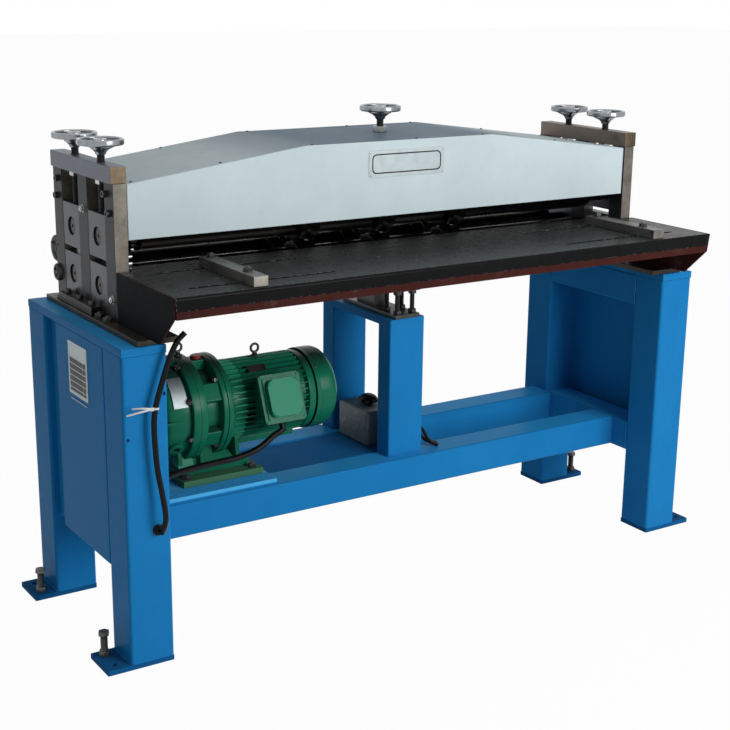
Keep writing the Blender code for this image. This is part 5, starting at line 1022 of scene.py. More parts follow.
@dataclass
class Repeater:
    """A Geometry Nodes tree that sets out copies of one shape and joins them in one mesh."""

    way: Repeat
    seed: int = 7
    sockets: dict[str, str] = field(default_factory=dict)

    def tree(self) -> bpy.types.NodeTree:
        """Builds the tree.

        Returns:
            The node group, with named inputs for its sizes.
        """
        tree = bpy.data.node_groups.new(f"repeat_{self.way.value}", "GeometryNodeTree")
        graph = Graph(tree)
        tree.interface.new_socket("Geometry", in_out="INPUT", socket_type="NodeSocketGeometry")
        tree.interface.new_socket("Geometry", in_out="OUTPUT", socket_type="NodeSocketGeometry")
        kinds = {
            "Shape": "NodeSocketObject", "Surface": "NodeSocketMaterial",
            "Count": "NodeSocketInt", "Radius": "NodeSocketFloat", "Start": "NodeSocketFloat",
            "Step": "NodeSocketFloat", "Every": "NodeSocketInt", "Offset": "NodeSocketInt",
            "Roll": "NodeSocketFloat", "Size": "NodeSocketFloat",
        }
        for name, kind in kinds.items():
            made = tree.interface.new_socket(name, in_out="INPUT", socket_type=kind)
            self.sockets[name] = made.identifier
        given = graph.node("NodeGroupInput")
        wires = {s.name: Wire(graph, s) for s in given.outputs if s.name}
        index = graph.wire("GeometryNodeInputIndex")
        shape = graph.wire("GeometryNodeObjectInfo", {"transform_space": "ORIGINAL"},
                           {"Object": wires["Shape"]}, "Geometry")
        points, turn = getattr(self, f"_{self.way.value}")(graph, wires, index)
        random_roll = graph.wire(
            "FunctionNodeRandomValue", {"data_type": "FLOAT"},
            {"Min": wires["Roll"] * -1.0, "Max": wires["Roll"], "Seed": self.seed}, 1,
        )
        roll = graph.wire("ShaderNodeCombineXYZ", {}, {2: random_roll})
        turned = graph.wire("FunctionNodeRotateRotation", {"rotation_space": "LOCAL"},
                            {0: turn, 1: roll})
        random_size = graph.wire(
            "FunctionNodeRandomValue", {"data_type": "FLOAT"},
            {"Min": 1.0 - wires["Size"], "Max": 1.0 + wires["Size"], "Seed": self.seed + 1}, 1,
        )
        wanted = ((index + wires["Offset"]) % wires["Every"]).below(0.5)
        copies = graph.wire(
            "GeometryNodeInstanceOnPoints", {},
            {"Points": points, "Selection": wanted, "Instance": shape, "Rotation": turned,
             "Scale": random_size},
        )
        real = graph.wire("GeometryNodeRealizeInstances", {}, {0: copies})
        painted = graph.wire("GeometryNodeSetMaterial", {},
                             {"Geometry": real, "Material": wires["Surface"]})
        graph.node("NodeGroupOutput", {}, {0: painted})
        return tree

    def _ring(self, graph: Graph, wires: dict[str, Wire], index: Wire) -> tuple[Wire, Wire]:
        """Points round a circle about Z, each turned to face outwards.

        Args:
            graph: The tree's graph.
            wires: The tree's inputs by name.
            index: Each point's number.

        Returns:
            The points and their turns.
        """
        angle = wires["Start"] + index * wires["Step"]
        line = graph.wire("GeometryNodeMeshLine", {}, {"Count": wires["Count"]})
        place = graph.wire("ShaderNodeCombineXYZ", {},
                           {0: angle.cos() * wires["Radius"], 1: angle.sin() * wires["Radius"]})
        points = graph.wire("GeometryNodeSetPosition", {}, {"Geometry": line, "Position": place})
        return points, graph.wire("ShaderNodeCombineXYZ", {}, {2: angle})

    def _path(self, graph: Graph, wires: dict[str, Wire], index: Wire) -> tuple[Wire, Wire]:
        """Points along the host's own curve, each turned to run along it.

        Args:
            graph: The tree's graph.
            wires: The tree's inputs by name.
            index: Each point's number, which a path has no use for.

        Returns:
            The points and their turns.
        """
        path = graph.wire("GeometryNodeResampleCurve", {},
                          {"Curve": wires["Geometry"], "Count": wires["Count"]})
        tangent = graph.wire("GeometryNodeInputTangent")
        turn = graph.wire("FunctionNodeAlignRotationToVector", {"axis": "X"},
                          {"Vector": tangent})
        return path, turn

    def _points(self, graph: Graph, wires: dict[str, Wire], index: Wire) -> tuple[Wire, Wire]:
        """The host mesh's own corners, all turned alike."""
        return wires["Geometry"], graph.wire("ShaderNodeCombineXYZ")

    def run(self, host: bpy.types.Object, shape: Form, finish: Finish,
            place: Matrix | None = None, **values: Any) -> bpy.types.Mesh:
        """Sets the copies out.

        Args:
            host: The object that carries the points or the path; it is used up.
            shape: The shape that is repeated; it is used up.
            finish: The copies' surface.
            place: Where the host's own frame lies in the machine's.
            values: The tree's sizes by name.

        Returns:
            One mesh of all the copies, in the machine's frame.
        """
        mould = bpy.data.objects.new("shape", shape.data())
        link(mould)
        link(host)
        host.matrix_world = place or Matrix.Identity(4)
        step = host.modifiers.new("repeat", "NODES")
        step.node_group = self.tree()
        given = {"Every": 1, "Offset": 0, "Count": 1, "Radius": 0.0, "Start": 0.0, "Step": 0.0,
                 "Roll": 0.0, "Size": 0.0, **values, "Shape": mould,
                 "Surface": finish.material()}
        for name, value in given.items():
            step[self.sockets[name]] = value
        made = evaluated_mesh(host)
        discard(host, mould)
        return made


def points_host(points: Sequence[Point]) -> bpy.types.Object:
    """An object whose mesh is these loose points."""
    mesh = bpy.data.meshes.new("points")
    mesh.from_pydata([tuple(p) for p in points], [], [])
    return bpy.data.objects.new("points", mesh)


def path_host(name: str, points: Sequence[Point], closed: bool = False) -> bpy.types.Object:
    """An object whose curve runs through points.

    Args:
        name: The object's name.
        points: The curve's corners.
        closed: Whether the last point is joined to the first.

    Returns:
        The object, not yet in the scene.
    """
    curve = bpy.data.curves.new(name, "CURVE")
    curve.dimensions = "3D"
    spline = curve.splines.new("POLY")
    spline.points.add(len(points) - 1)
    for point, place in zip(spline.points, points):
        point.co = (*place, 1.0)
    spline.use_cyclic_u = closed
    return bpy.data.objects.new(name, curve)


def axis_place(origin: Point, direction: Point) -> Matrix:
    """The frame whose Z lies along a direction from an origin."""
    turn = Vector(direction).to_track_quat("Z", "Y").to_matrix().to_4x4()
    return Matrix.Translation(Vector(origin)) @ turn


class Fastener(Enum):
    """Kinds of screw, nut and bolt, each drawn standing on its seat with its axis up."""

    HEX_BOLT = "hex_bolt"
    SOCKET_SCREW = "socket_screw"
    PAN_SCREW = "pan_screw"
    RIVET = "rivet"
    FLAT_SCREW = "flat_screw"

    def shape(self, size: float) -> Form:
        """The fastener's shape.

        Args:
            size: Its thread's diameter.

        Returns:
            The form, on +Z.
        """
        return getattr(self, f"_{self.value}")(size)

    def _hex_bolt(self, size: float) -> Form:
        """A hexagon head with rounded corners on a washer.

        Args:
            size: Its thread's diameter.

        Returns:
            The form, on +Z.
        """
        form = Form()
        form.lathe([(0, 0), (1.12 * size, 0), (1.12 * size, 0.16 * size), (0, 0.16 * size)],
                   (0, 0, 0), facets=20)
        form.prism(hexagon(0, 0, 0.94 * size), Axis.Z, 0.14 * size, 0.82 * size, 0.09 * size)
        form.lathe([(0, 0.8 * size), (0.5 * size, 0.8 * size), (0.46 * size, 1.05 * size),
                    (0, 1.05 * size)], (0, 0, 0), facets=14)
        return form

    def _socket_screw(self, size: float) -> Form:
        """A round head with a hexagon socket."""
        head = Form().rod((0, 0, 0), (0, 0, size), 0.8 * size, 0.08 * size, 24)
        socket = hexagon(0, 0, 0.46 * size)
        return head.less(Form().prism(socket, Axis.Z, 0.45 * size, 1.2 * size, 0.0))

    def _pan_screw(self, size: float) -> Form:
        """A low domed head with a cross slot.

        Args:
            size: Half the head's width.

        Returns:
            The form, on +Z.
        """
        profile = [(0, 0), (size, 0), (size, 0.16 * size), (0.86 * size, 0.42 * size),
                   (0.5 * size, 0.58 * size), (0, 0.62 * size)]
        head = Form().lathe(profile, (0, 0, 0), facets=18)
        wide, long = 0.11 * size, 0.6 * size
        return head.less(
            Form().block((-long, -wide, 0.35 * size), (long, wide, size), 0.0),
            Form().block((-wide, -long, 0.35 * size), (wide, long, size), 0.0),
        )

    def _rivet(self, size: float) -> Form:
        """A small domed rivet."""
        profile = [(size * math.sin(TURN / 4 * i / 4), 0.6 * size * math.cos(TURN / 4 * i / 4))
                   for i in range(5)] + [(0, 0)]
        return Form().lathe(profile, (0, 0, 0), facets=14)

    def _flat_screw(self, size: float) -> Form:
        """A countersunk head almost flush with its plate."""
        head = Form().rod((0, 0, -0.1 * size), (0, 0, 0.07 * size), size, 0.04 * size, 20)
        return head.less(Form().rod((0, 0, -0.02 * size), (0, 0, size), 0.42 * size, 0.0, 6))

    def fit(self, name: str, finish: Finish, points: Sequence[Point], direction: Point,
            size: float, body: str = "machine") -> bpy.types.Object:
        """Puts one fastener at each point.

        Args:
            name: The name of the piece that holds them all.
            finish: Their surface.
            points: Their seats' centres.
            direction: The way that their heads face.
            size: Their threads' diameter.
            body: The CAD body that they ride on.

        Returns:
            The piece.
        """
        place = axis_place((0, 0, 0), direction)
        local = [place.inverted() @ Vector(p) for p in points]
        mesh = Repeater(Repeat.POINTS).run(points_host(local), self.shape(size), finish, place,
                                           Roll=3.0)
        return dress(mesh, name, finish, body, smooth=35.0)


@dataclass
class WeldBeads:
    """Fillet welds, laid as rippled beads along paths."""

    width: float = 0.0045
    pitch: float = 0.0022

    def lay(self, name: str, finish: Finish, paths: Sequence[Sequence[Point]]) -> None:
        """Lays one bead along each path.

        Args:
            name: The name of the piece that holds them all.
            finish: The paint over them.
            paths: The welds' lines, each at least two points.
        """
        form = Form()
        for number, path in enumerate(paths):
            length = sum((Vector(b) - Vector(a)).length for a, b in zip(path, path[1:]))
            drop = self.width / 2
            profile = [(drop * math.sin(math.pi * i / 4), -drop * math.cos(math.pi * i / 4))
                       for i in range(5)]
            ripple = Form().lathe(profile, (0, 0, 0), facets=8)
            form.add(Repeater(Repeat.PATH, seed=number).run(
                path_host("weld", path), ripple, finish, Size=0.14, Roll=0.4,
                Count=max(3, round(length / self.pitch))))
        form.piece(name, finish)


# Stands and rails


@dataclass
class Stand:
    """One end stand: two legs on foot plates, a top, cross rails and a folded side panel."""

    name: str
    side: int
    inner_x: float = 0.694
    outer_x: float = 0.794
    front_y: float = -0.2205
    rear_y: float = 0.3155
    leg: float = 0.100
    corner: float = 0.007
    height: float = 0.708
    top_plate: float = 0.018
    rail: float = 0.080
    rail_top: float = 0.288
    setback: float = 0.020
    foot: float = 0.012
    reach: float = 0.054
    hole_inset: float = 0.025
    anchor: float = 0.007
    jack_radius: float = 0.008
    jack_height: float = 0.060
    jack_nut: float = 0.0125
    sheet: float = 0.003
    recess: float = 0.072

    def build(self) -> None:
        """Builds the whole stand."""
        for row, low_y in (("front", self.front_y), ("rear", self.rear_y - self.leg)):
            self.leg_tube(row, low_y)
            self.foot_plate(row, low_y)
        self.top()
        self.cross_rail()
        self.panel()
        self.welds()

    def leg_tube(self, row: str, low_y: float) -> None:
        """Builds a leg.

        Args:
            row: "front" or "rear".
            low_y: The leg's front face.
        """
        low_x, high_x = spread(self.side, self.inner_x, self.outer_x)
        outline = rounded((low_x, low_y), (high_x, low_y + self.leg), self.corner)
        tube = Form().prism(outline, Axis.Z, self.foot, self.height - self.top_plate - GAP, 0.0)
        if (self.name, row) == ("left", "front"):
            tube.less(*[Form().rod((x, low_y - 0.01, z), (x, low_y + 0.006, z), radius, 0.0)
                        for x, z, radius in ((-0.703, 0.604, 0.0045), (-0.786, 0.516, 0.0040))])
        tube.piece(f"{self.name}_{row}_leg_tube", BLUE, nodes=[f"{self.name}_{row}_leg"])

    def foot_plate(self, row: str, low_y: float) -> None:
        """Builds a foot plate with its anchor hole and levelling bolt.

        Args:
            row: "front" or "rear".
            low_y: The plate's front edge.
        """
        low_x, high_x = spread(self.side, self.inner_x, self.outer_x + self.reach)
        outline = rounded((low_x, low_y), (high_x, low_y + self.leg), 0.003, 3)
        x = self.side * (self.outer_x + self.reach / 2 + self.jack_radius / 2)
        near, far = low_y + self.hole_inset, low_y + self.leg - self.hole_inset
        hole_y, jack_y = (near, far) if row == "front" else (far, near)
        plate = Form().prism(outline, Axis.Z, 0.0, self.foot, 0.0012)
        plate.less(Form().rod((x, hole_y, -0.01), (x, hole_y, 0.03), self.anchor, 0.0, 28))
        # The plate takes a darker copy of the blue paint: painted shade.
        plate.piece(f"{self.name}_{row}_foot_plate", SHADED_BLUE_FOOT)
        self.jack(row, x, jack_y)

    def jack(self, row: str, x: float, y: float) -> None:
        """Builds a levelling bolt with thread, lock nut and head.

        Args:
            row: "front" or "rear".
            x: Its axis.
            y: Its axis.
        """
        cuts = thread(self.jack_radius, self.jack_radius * 0.86, self.foot - 0.001, 24)
        profile = [(0.0, cuts[0][1]), *cuts, (0.0, cuts[-1][1])]
        form = Form().lathe(profile, (x, y, 0.0), facets=20)
        for low, high, turn in ((self.foot, 0.025, 0.012), (self.jack_height, 0.070, 0.060)):
            form.prism(hexagon(x, y, self.jack_nut, turn), Axis.Z, low, high, 0.0012)
        form.piece(f"{self.name}_{row}_jack_bolt", DULL_ZINC)

    def top(self) -> None:
        """Builds the top plate over both legs, and the top rail under it."""
        low_x, high_x = spread(self.side, self.inner_x, self.outer_x)
        bottom = self.height - self.top_plate
        plate = Form().block((low_x, self.front_y, bottom), (high_x, self.rear_y, self.height),
                             0.0015)
        plate.piece(f"{self.name}_top_plate", BLUE, nodes=[f"{self.name}_stand_top"])
        rail = self.rail_tube(bottom - self.rail, bottom + 0.0005)
        rail.piece(f"{self.name}_top_rail", BLUE)

    def rail_tube(self, low_z: float, high_z: float) -> Form:
        """A rail from leg to leg, between two heights."""
        low_x, high_x = spread(self.side, self.inner_x, self.outer_x - self.setback)
        outline = rounded((low_x, low_z), (high_x, high_z), 0.005)
        return Form().prism(outline, Axis.Y, self.front_y + self.leg, self.rear_y - self.leg, 0.0)

    def cross_rail(self) -> None:
        """Builds the lower cross rail."""
        rail = self.rail_tube(self.rail_top - self.rail, self.rail_top)
        rail.piece(f"{self.name}_cross_rail_tube", BLUE, nodes=[f"{self.name}_cross_rail"])

    def panel(self) -> None:
        """Builds the folded side panel, and on the left the skin that closes its rear strip."""
        front = self.front_y + self.leg + GAP
        leg_face = self.rear_y - self.leg - GAP
        rear = leg_face - (self.recess if self.name == "left" else 0.0)
        bottom, top = self.rail_top - self.rail, self.height - self.top_plate
        depth = self.setback - GAP
        low_x, high_x = spread(self.side, self.outer_x - depth, self.outer_x)
        tray = Form().block((low_x, front, bottom), (high_x, rear, top), 0.0025, 3)
        low_x, high_x = spread(self.side, self.outer_x - 2 * depth, self.outer_x - self.sheet)
        tray.less(Form().block((low_x, front + self.sheet, bottom + self.sheet),
                               (high_x, rear - self.sheet, top - self.sheet), 0.0))
        tray.piece(f"{self.name}_panel_tray", BLUE, nodes=[f"{self.name}_side_panel"])
        if rear < leg_face - self.sheet:
            inner = self.outer_x - depth
            low_x, high_x = spread(self.side, inner, inner + self.sheet)
            skin = Form().block((low_x, rear - self.sheet, bottom), (high_x, leg_face, top), 0.0006)
            skin.piece(f"{self.name}_panel_skin", BLUE)

    def welds(self) -> None:
        """Lays the welds round the legs' feet and at the rails' ends."""
        inner, outer = self.side * self.inner_x, self.side * self.outer_x
        z = self.foot + 0.0005
        paths = [[(outer, low_y + 0.006, z), (outer, low_y + self.leg - 0.006, z)]
                 for low_y in (self.front_y, self.rear_y - self.leg)]
        bottom, top = self.rail_top - self.rail, self.rail_top
        end, short = inner - self.side * 0.0005, 0.004
        for rail_y in (Rails.front_y, Rails.rear_y):
            paths += [[(end, rail_y, bottom + short), (end, rail_y, bottom + self.rail - short)],
                      [(end, rail_y + short, top), (end, rail_y + self.rail - short, top)]]
        under, x = self.height - self.top_plate - self.rail, inner + self.side * 0.001
        for y in (self.front_y + self.leg, self.rear_y - self.leg):
            paths += [[(x, y, under + 0.005), (x, y, under + self.rail)],
                      [(x, y, bottom + 0.005), (x, y, top - 0.005)]]
        WeldBeads().lay(f"{self.name}_stand_welds", BLUE, paths)


@dataclass
class Rails:
    """The two long rails, the middle portal and the plates that lie on and between them."""

    end_x: float = 0.6937
    size: float = 0.080
    top: float = 0.288
    front_y: float = -0.0635
    rear_y: float = 0.1985
    portal_x: float = 0.029
    portal_width: float = 0.100
    post_depth: float = 0.054
    post_front_y: float = -0.0375
    post_rear_y: float = 0.2245
    portal_top: float = 0.636
    portal_plate: float = 0.018

    def build(self) -> None:
        """Builds rails, portal and plates."""
        for name, low_y in (("front_rail", self.front_y), ("rear_rail", self.rear_y)):
            outline = rounded((low_y, self.top - self.size), (low_y + self.size, self.top), 0.005)
            tube = Form().prism(outline, Axis.X, -self.end_x, self.end_x, 0.0)
            tube.piece(f"{name}_tube", BLUE, nodes=[name])
        self.portal()
        pad_low, pad_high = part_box("motor_pad_plate")
        # The pad takes the lighter copy of the blue paint: painted light on its top.
        pad = Form().block(pad_low, pad_high, 0.0012)
        pad.piece("motor_pad", LIT_BLUE_PAD, nodes=["motor_pad_plate"])
        ridges, inset, width, every = Form(), 0.004, 0.0052, 0.0115
        for i in range(4):
            y = pad_low.y + inset + every * i
            ridges.block((pad_low.x + inset, y, pad_high.z - 0.0006),
                         (pad_high.x - inset, y + width, pad_high.z + 0.0011), 0.0005)
        ridges.piece("pad_brush_ridges", BLUE)
        low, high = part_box("shelf_plate")
        dark = Form().block((low.x, self.front_y + self.size + 0.0005, self.top - 0.011),
                            (high.x, low.y - GAP, self.top - 0.0065), 0.0)
        dark.piece("slot_shadow_strip", SHADE_BLACK)
        # The shelf takes a darker copy of the blue paint: painted shade.
        Form().block(low, high, 0.0008).piece("shelf", SHADED_BLUE_SHELF, nodes=["shelf_plate"])

    def portal(self) -> None:
        """Builds the middle portal's posts and top plate."""
        low_x = self.portal_x - self.portal_width / 2
        high_x = self.portal_x + self.portal_width / 2
        under = self.portal_top - self.portal_plate
        posts = Form()
        for low_y in (self.post_front_y, self.post_rear_y):
            outline = rounded((low_x, low_y), (high_x, low_y + self.post_depth), 0.004)
            posts.prism(outline, Axis.Z, self.top + GAP, under, 0.0)
        posts.piece("portal_posts", BLUE, nodes=["middle_portal"])
        outline = rounded((low_x, self.post_front_y),
                          (high_x, self.post_rear_y + self.post_depth), 0.004)
        Form().prism(outline, Axis.Z, under, self.portal_top, 0.0012).piece("portal_plate", BLUE)
        z, short = self.top + 0.001, 0.004
        paths = []
        for low_y in (self.post_front_y, self.post_rear_y):
            high_y = low_y + self.post_depth
            paths += [[(low_x + short, low_y, z), (high_x - short, low_y, z)],
                      [(high_x, low_y + short, z), (high_x, high_y - short, z)],
                      [(low_x, low_y + short, z), (low_x, high_y - short, z)]]
        WeldBeads().lay("portal_welds", BLUE, paths)


# Head


@dataclass
class EndFrame:
    """One end of the head: slotted frame, lower blocks, bed plate, cap bar and fasteners."""

    name: str
    side: int
    inner_x: float = 0.696
    outer_x: float = 0.727
    front_y: float = -0.0485
    rear_y: float = 0.2935
    bottom: float = 0.7209
    top: float = 1.014
    slot: float = 0.096
    slot_bottom: float = 0.831
    block_foot: float = 0.7330
    bore: float = 0.0210
    bed_top: float = 0.7203
    flange_half: float = 0.095
    flange_high: float = 0.018
    flange_out: float = 0.025
    cap_width: float = 0.036
    cap_height: float = 0.036

    def build(self) -> None:
        """Builds everything at this end."""
        self.plate()
        self.lower_blocks()
        self.flange()
        self.bed_plate()
        self.cap_bar()
        self.screws()

    def plate(self) -> None:
        """Builds the slotted plate."""
        half = self.slot / 2
        outline = [(self.front_y, self.bottom), (self.rear_y, self.bottom),
                   (self.rear_y, self.top)]
        for y in reversed(ROWS):
            outline += [(y + half, self.top), (y + half, self.block_foot),
                        (y - half, self.block_foot), (y - half, self.top)]
        outline.append((self.front_y, self.top))
        low_x, high_x = spread(self.side, self.inner_x, self.outer_x)
        plate = Form().prism(outline, Axis.X, low_x, high_x, CAST)
        plate.piece(f"{self.name}_frame_plate", FRAME_STEEL, nodes=[f"{self.name}_end_frame"])

    def lower_blocks(self) -> None:
        """Builds the two lower bearing blocks with their bores."""
        half = self.slot / 2 - 0.0004
        low_x, high_x = spread(self.side, self.inner_x + 0.0004, self.outer_x - 0.0006)
        blocks = Form()
        for y in ROWS:
            part = Form().block((low_x, y - half, self.block_foot + 0.0004),
                                (high_x, y + half, self.slot_bottom), 0.0008)
            part.less(Form().rod((low_x - 0.01, y, LOWER_ROLL_Z), (high_x + 0.01, y, LOWER_ROLL_Z),
                                 self.bore, 0.0, 48))
            blocks.add(part.data())
        blocks.piece(f"{self.name}_lower_blocks", BLOCK_STEEL)
        low_x, high_x = spread(self.side, self.inner_x + 0.002, self.outer_x - 0.0050)
        rings = bearing_rings(low_x, high_x, ROWS, LOWER_ROLL_Z)
        rings.piece(f"{self.name}_lower_bearings", BLACK_STEEL)

    def middle(self) -> float:
        """The Y of the foot flange's middle."""
        return self.front_y + 0.52 * (self.rear_y - self.front_y)

    def flange(self) -> None:
        """Builds the foot flange along the frame's outer face."""
        low_x, high_x = spread(self.side, self.outer_x - 0.0005, self.outer_x + self.flange_out)
        middle, top = self.middle(), self.bottom + self.flange_high
        form = Form().block((low_x, middle - self.flange_half, self.bottom),
                            (high_x, middle + self.flange_half, top), CAST)
        form.piece(f"{self.name}_foot_flange", SHADED_BED_STEEL)
        x = self.side * (self.outer_x + self.flange_out / 2)
        points = [(x, middle + d, top) for d in (-0.070, 0.0, 0.070)]
        Fastener.SOCKET_SCREW.fit(f"{self.name}_flange_screws", BLACK_STEEL, points, UP, 0.009)

    def bed_plate(self) -> None:
        """Builds the bed plate under the frame, and its bolts."""
        low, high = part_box(f"{self.name}_bed_plate")
        bed = Form().block(low, (high.x, high.y, self.bed_top), CAST)
        bed.piece(f"{self.name}_bed", SHADED_BED_STEEL, nodes=[f"{self.name}_bed_plate"])
        x = self.side * (self.outer_x + self.flange_out / 2)
        middle, half, size = self.middle(), self.flange_half, 0.011
        reach = 1.4 * size
        rows = (middle - half - reach, middle - half - 4 * reach, middle + half + reach)
        points = [(x, y, self.bed_top) for y in rows]
        Fastener.HEX_BOLT.fit(f"{self.name}_bed_bolts", BLACK_STEEL, points, UP, size)

    def cap_bar(self) -> None:
        """Builds the cap bar with its square screw nuts."""
        low_x, high_x = spread(self.side, self.inner_x, self.inner_x + self.cap_width)
        bottom, x = self.top + GAP, self.side * PRESS_SCREW_X
        bar = Form().block((low_x, self.front_y, bottom),
                           (high_x, self.rear_y, bottom + self.cap_height), 0.0012)
        bar.less(*[bored(x, y, bottom - 0.03, bottom + 0.06) for y in ROWS])
        bar.piece(f"{self.name}_cap", CAP_STEEL if self.side < 0 else CAP_STEEL_RIGHT,
                  nodes=[f"{self.name}_cap_bar"])
        nuts, half = Form(), 0.011
        for y in ROWS:
            nut = Form().block((x - half, y - half, bottom - 0.012), (x + half, y + half, bottom),
                               CAST)
            nuts.add(nut.less(bored(x, y, bottom - 0.03, bottom + 0.03)).data())
        nuts.piece(f"{self.name}_screw_nuts", ZINC)

    def screws(self) -> None:
        """Puts the socket screws and hex bolts on the frame's outer face."""
        face, high, low = self.side * self.outer_x, 0.990, 0.9506
        cheek = 0.04775 + 0.0112
        front, rear = ROWS
        black = [(face, front - cheek, high), (face, front - cheek - 0.016, low),
                 (face, rear + cheek + 0.008, high), (face, rear + cheek + 0.016, low)]
        out = (self.side, 0, 0)
        Fastener.SOCKET_SCREW.fit(f"{self.name}_side_screws", BLACK_STEEL, black, out, 0.0095)
        silver = [(face, (front + rear) / 2, 0.940), (face, self.front_y + 0.0192, 0.766)]
        Fastener.HEX_BOLT.fit(f"{self.name}_side_bolts", ZINC, silver, out, 0.0080)


@dataclass
class UpperBlocks:
    """The pair of upper bearing blocks of one row, which rise and fall with its screws."""

    row: str
    y: float
    body: str
    centre_z: float = 0.893
    height: float = 0.098
    half: float = 0.0475
    inner_x: float = 0.6965
    outer_x: float = 0.7265
    bore: float = 0.0210

    def build(self) -> None:
        """Builds both blocks with their bores and bearings."""
        for name, side in (("left", -1), ("right", 1)):
            low_x, high_x = spread(side, self.inner_x, self.outer_x)
            low = (low_x, self.y - self.half, self.centre_z - self.height / 2)
            high = (high_x, self.y + self.half, self.centre_z + self.height / 2)
            part = Form().block(low, high, CAST)
            part.less(Form().rod((low_x - 0.01, self.y, UPPER_ROLL_Z),
                                 (high_x + 0.01, self.y, UPPER_ROLL_Z), self.bore, 0.0, 48))
            part.piece(f"{name}_{self.row}_top_block", BLOCK_STEEL, self.body,
                       [f"{name}_{self.row}_upper_block"])
            start, end = spread(side, self.inner_x + 0.002, self.outer_x - 0.0045)
            ring = bearing_rings(start, end, [self.y], UPPER_ROLL_Z)
            ring.piece(f"{name}_{self.row}_top_bearing", BLACK_STEEL, self.body)


@dataclass
class LeftDetails:
    """What only the left end has: rear bearing caps, their plate, and two bright studs."""

    face_x: float = -0.727
    rear_y: float = 0.2935
    big_cap: tuple[float, float, float, float] = (0.3050, 0.822, 0.0305, 0.008)
    small_cap: tuple[float, float, float, float] = (0.2815, 0.771, 0.0200, 0.017)
    screw_circle: float = 0.0222

    def build(self) -> None:
        """Builds the caps from their Y, Z, radius and height, the plate and the studs."""
        back = self.face_x + 0.009
        plate = Form().block((back, self.rear_y - 0.0005, 0.735),
                             (back + 0.008, self.rear_y + 0.018, 0.880), CAST)
        plate.piece("bearing_cap_bracket", FRAME_STEEL)
        caps = Form()
        for y, z, radius, top in (self.big_cap, self.small_cap):
            profile = [(0.0, 0.0), (radius, 0.0), (radius, top - 0.0025), (radius - 0.0025, top),
                       (0.62 * radius, top), (0.56 * radius, top - 0.0028),
                       (0.30 * radius, top - 0.0028), (0.24 * radius, top - 0.0005), (0.0, top)]
            caps.lathe(profile, (back, y, z), LEFT, 48)
        caps.piece("bearing_caps", FRAME_STEEL)
        points = [(back - 0.0055, *polar(self.big_cap[:2], self.screw_circle, TURN * i / 3 + 0.5))
                  for i in range(3)]
        Fastener.SOCKET_SCREW.fit("bearing_cap_screws", BLACK_STEEL, points, LEFT, 0.0045)
        studs = Form()
        for z in (0.849, 0.834):
            studs.rod((-0.6955, 0.002, z), (-0.668, 0.002, z), 0.0042, 0.0008, 20)
        studs.piece("bright_studs", ZINC)


# Rolls and gears


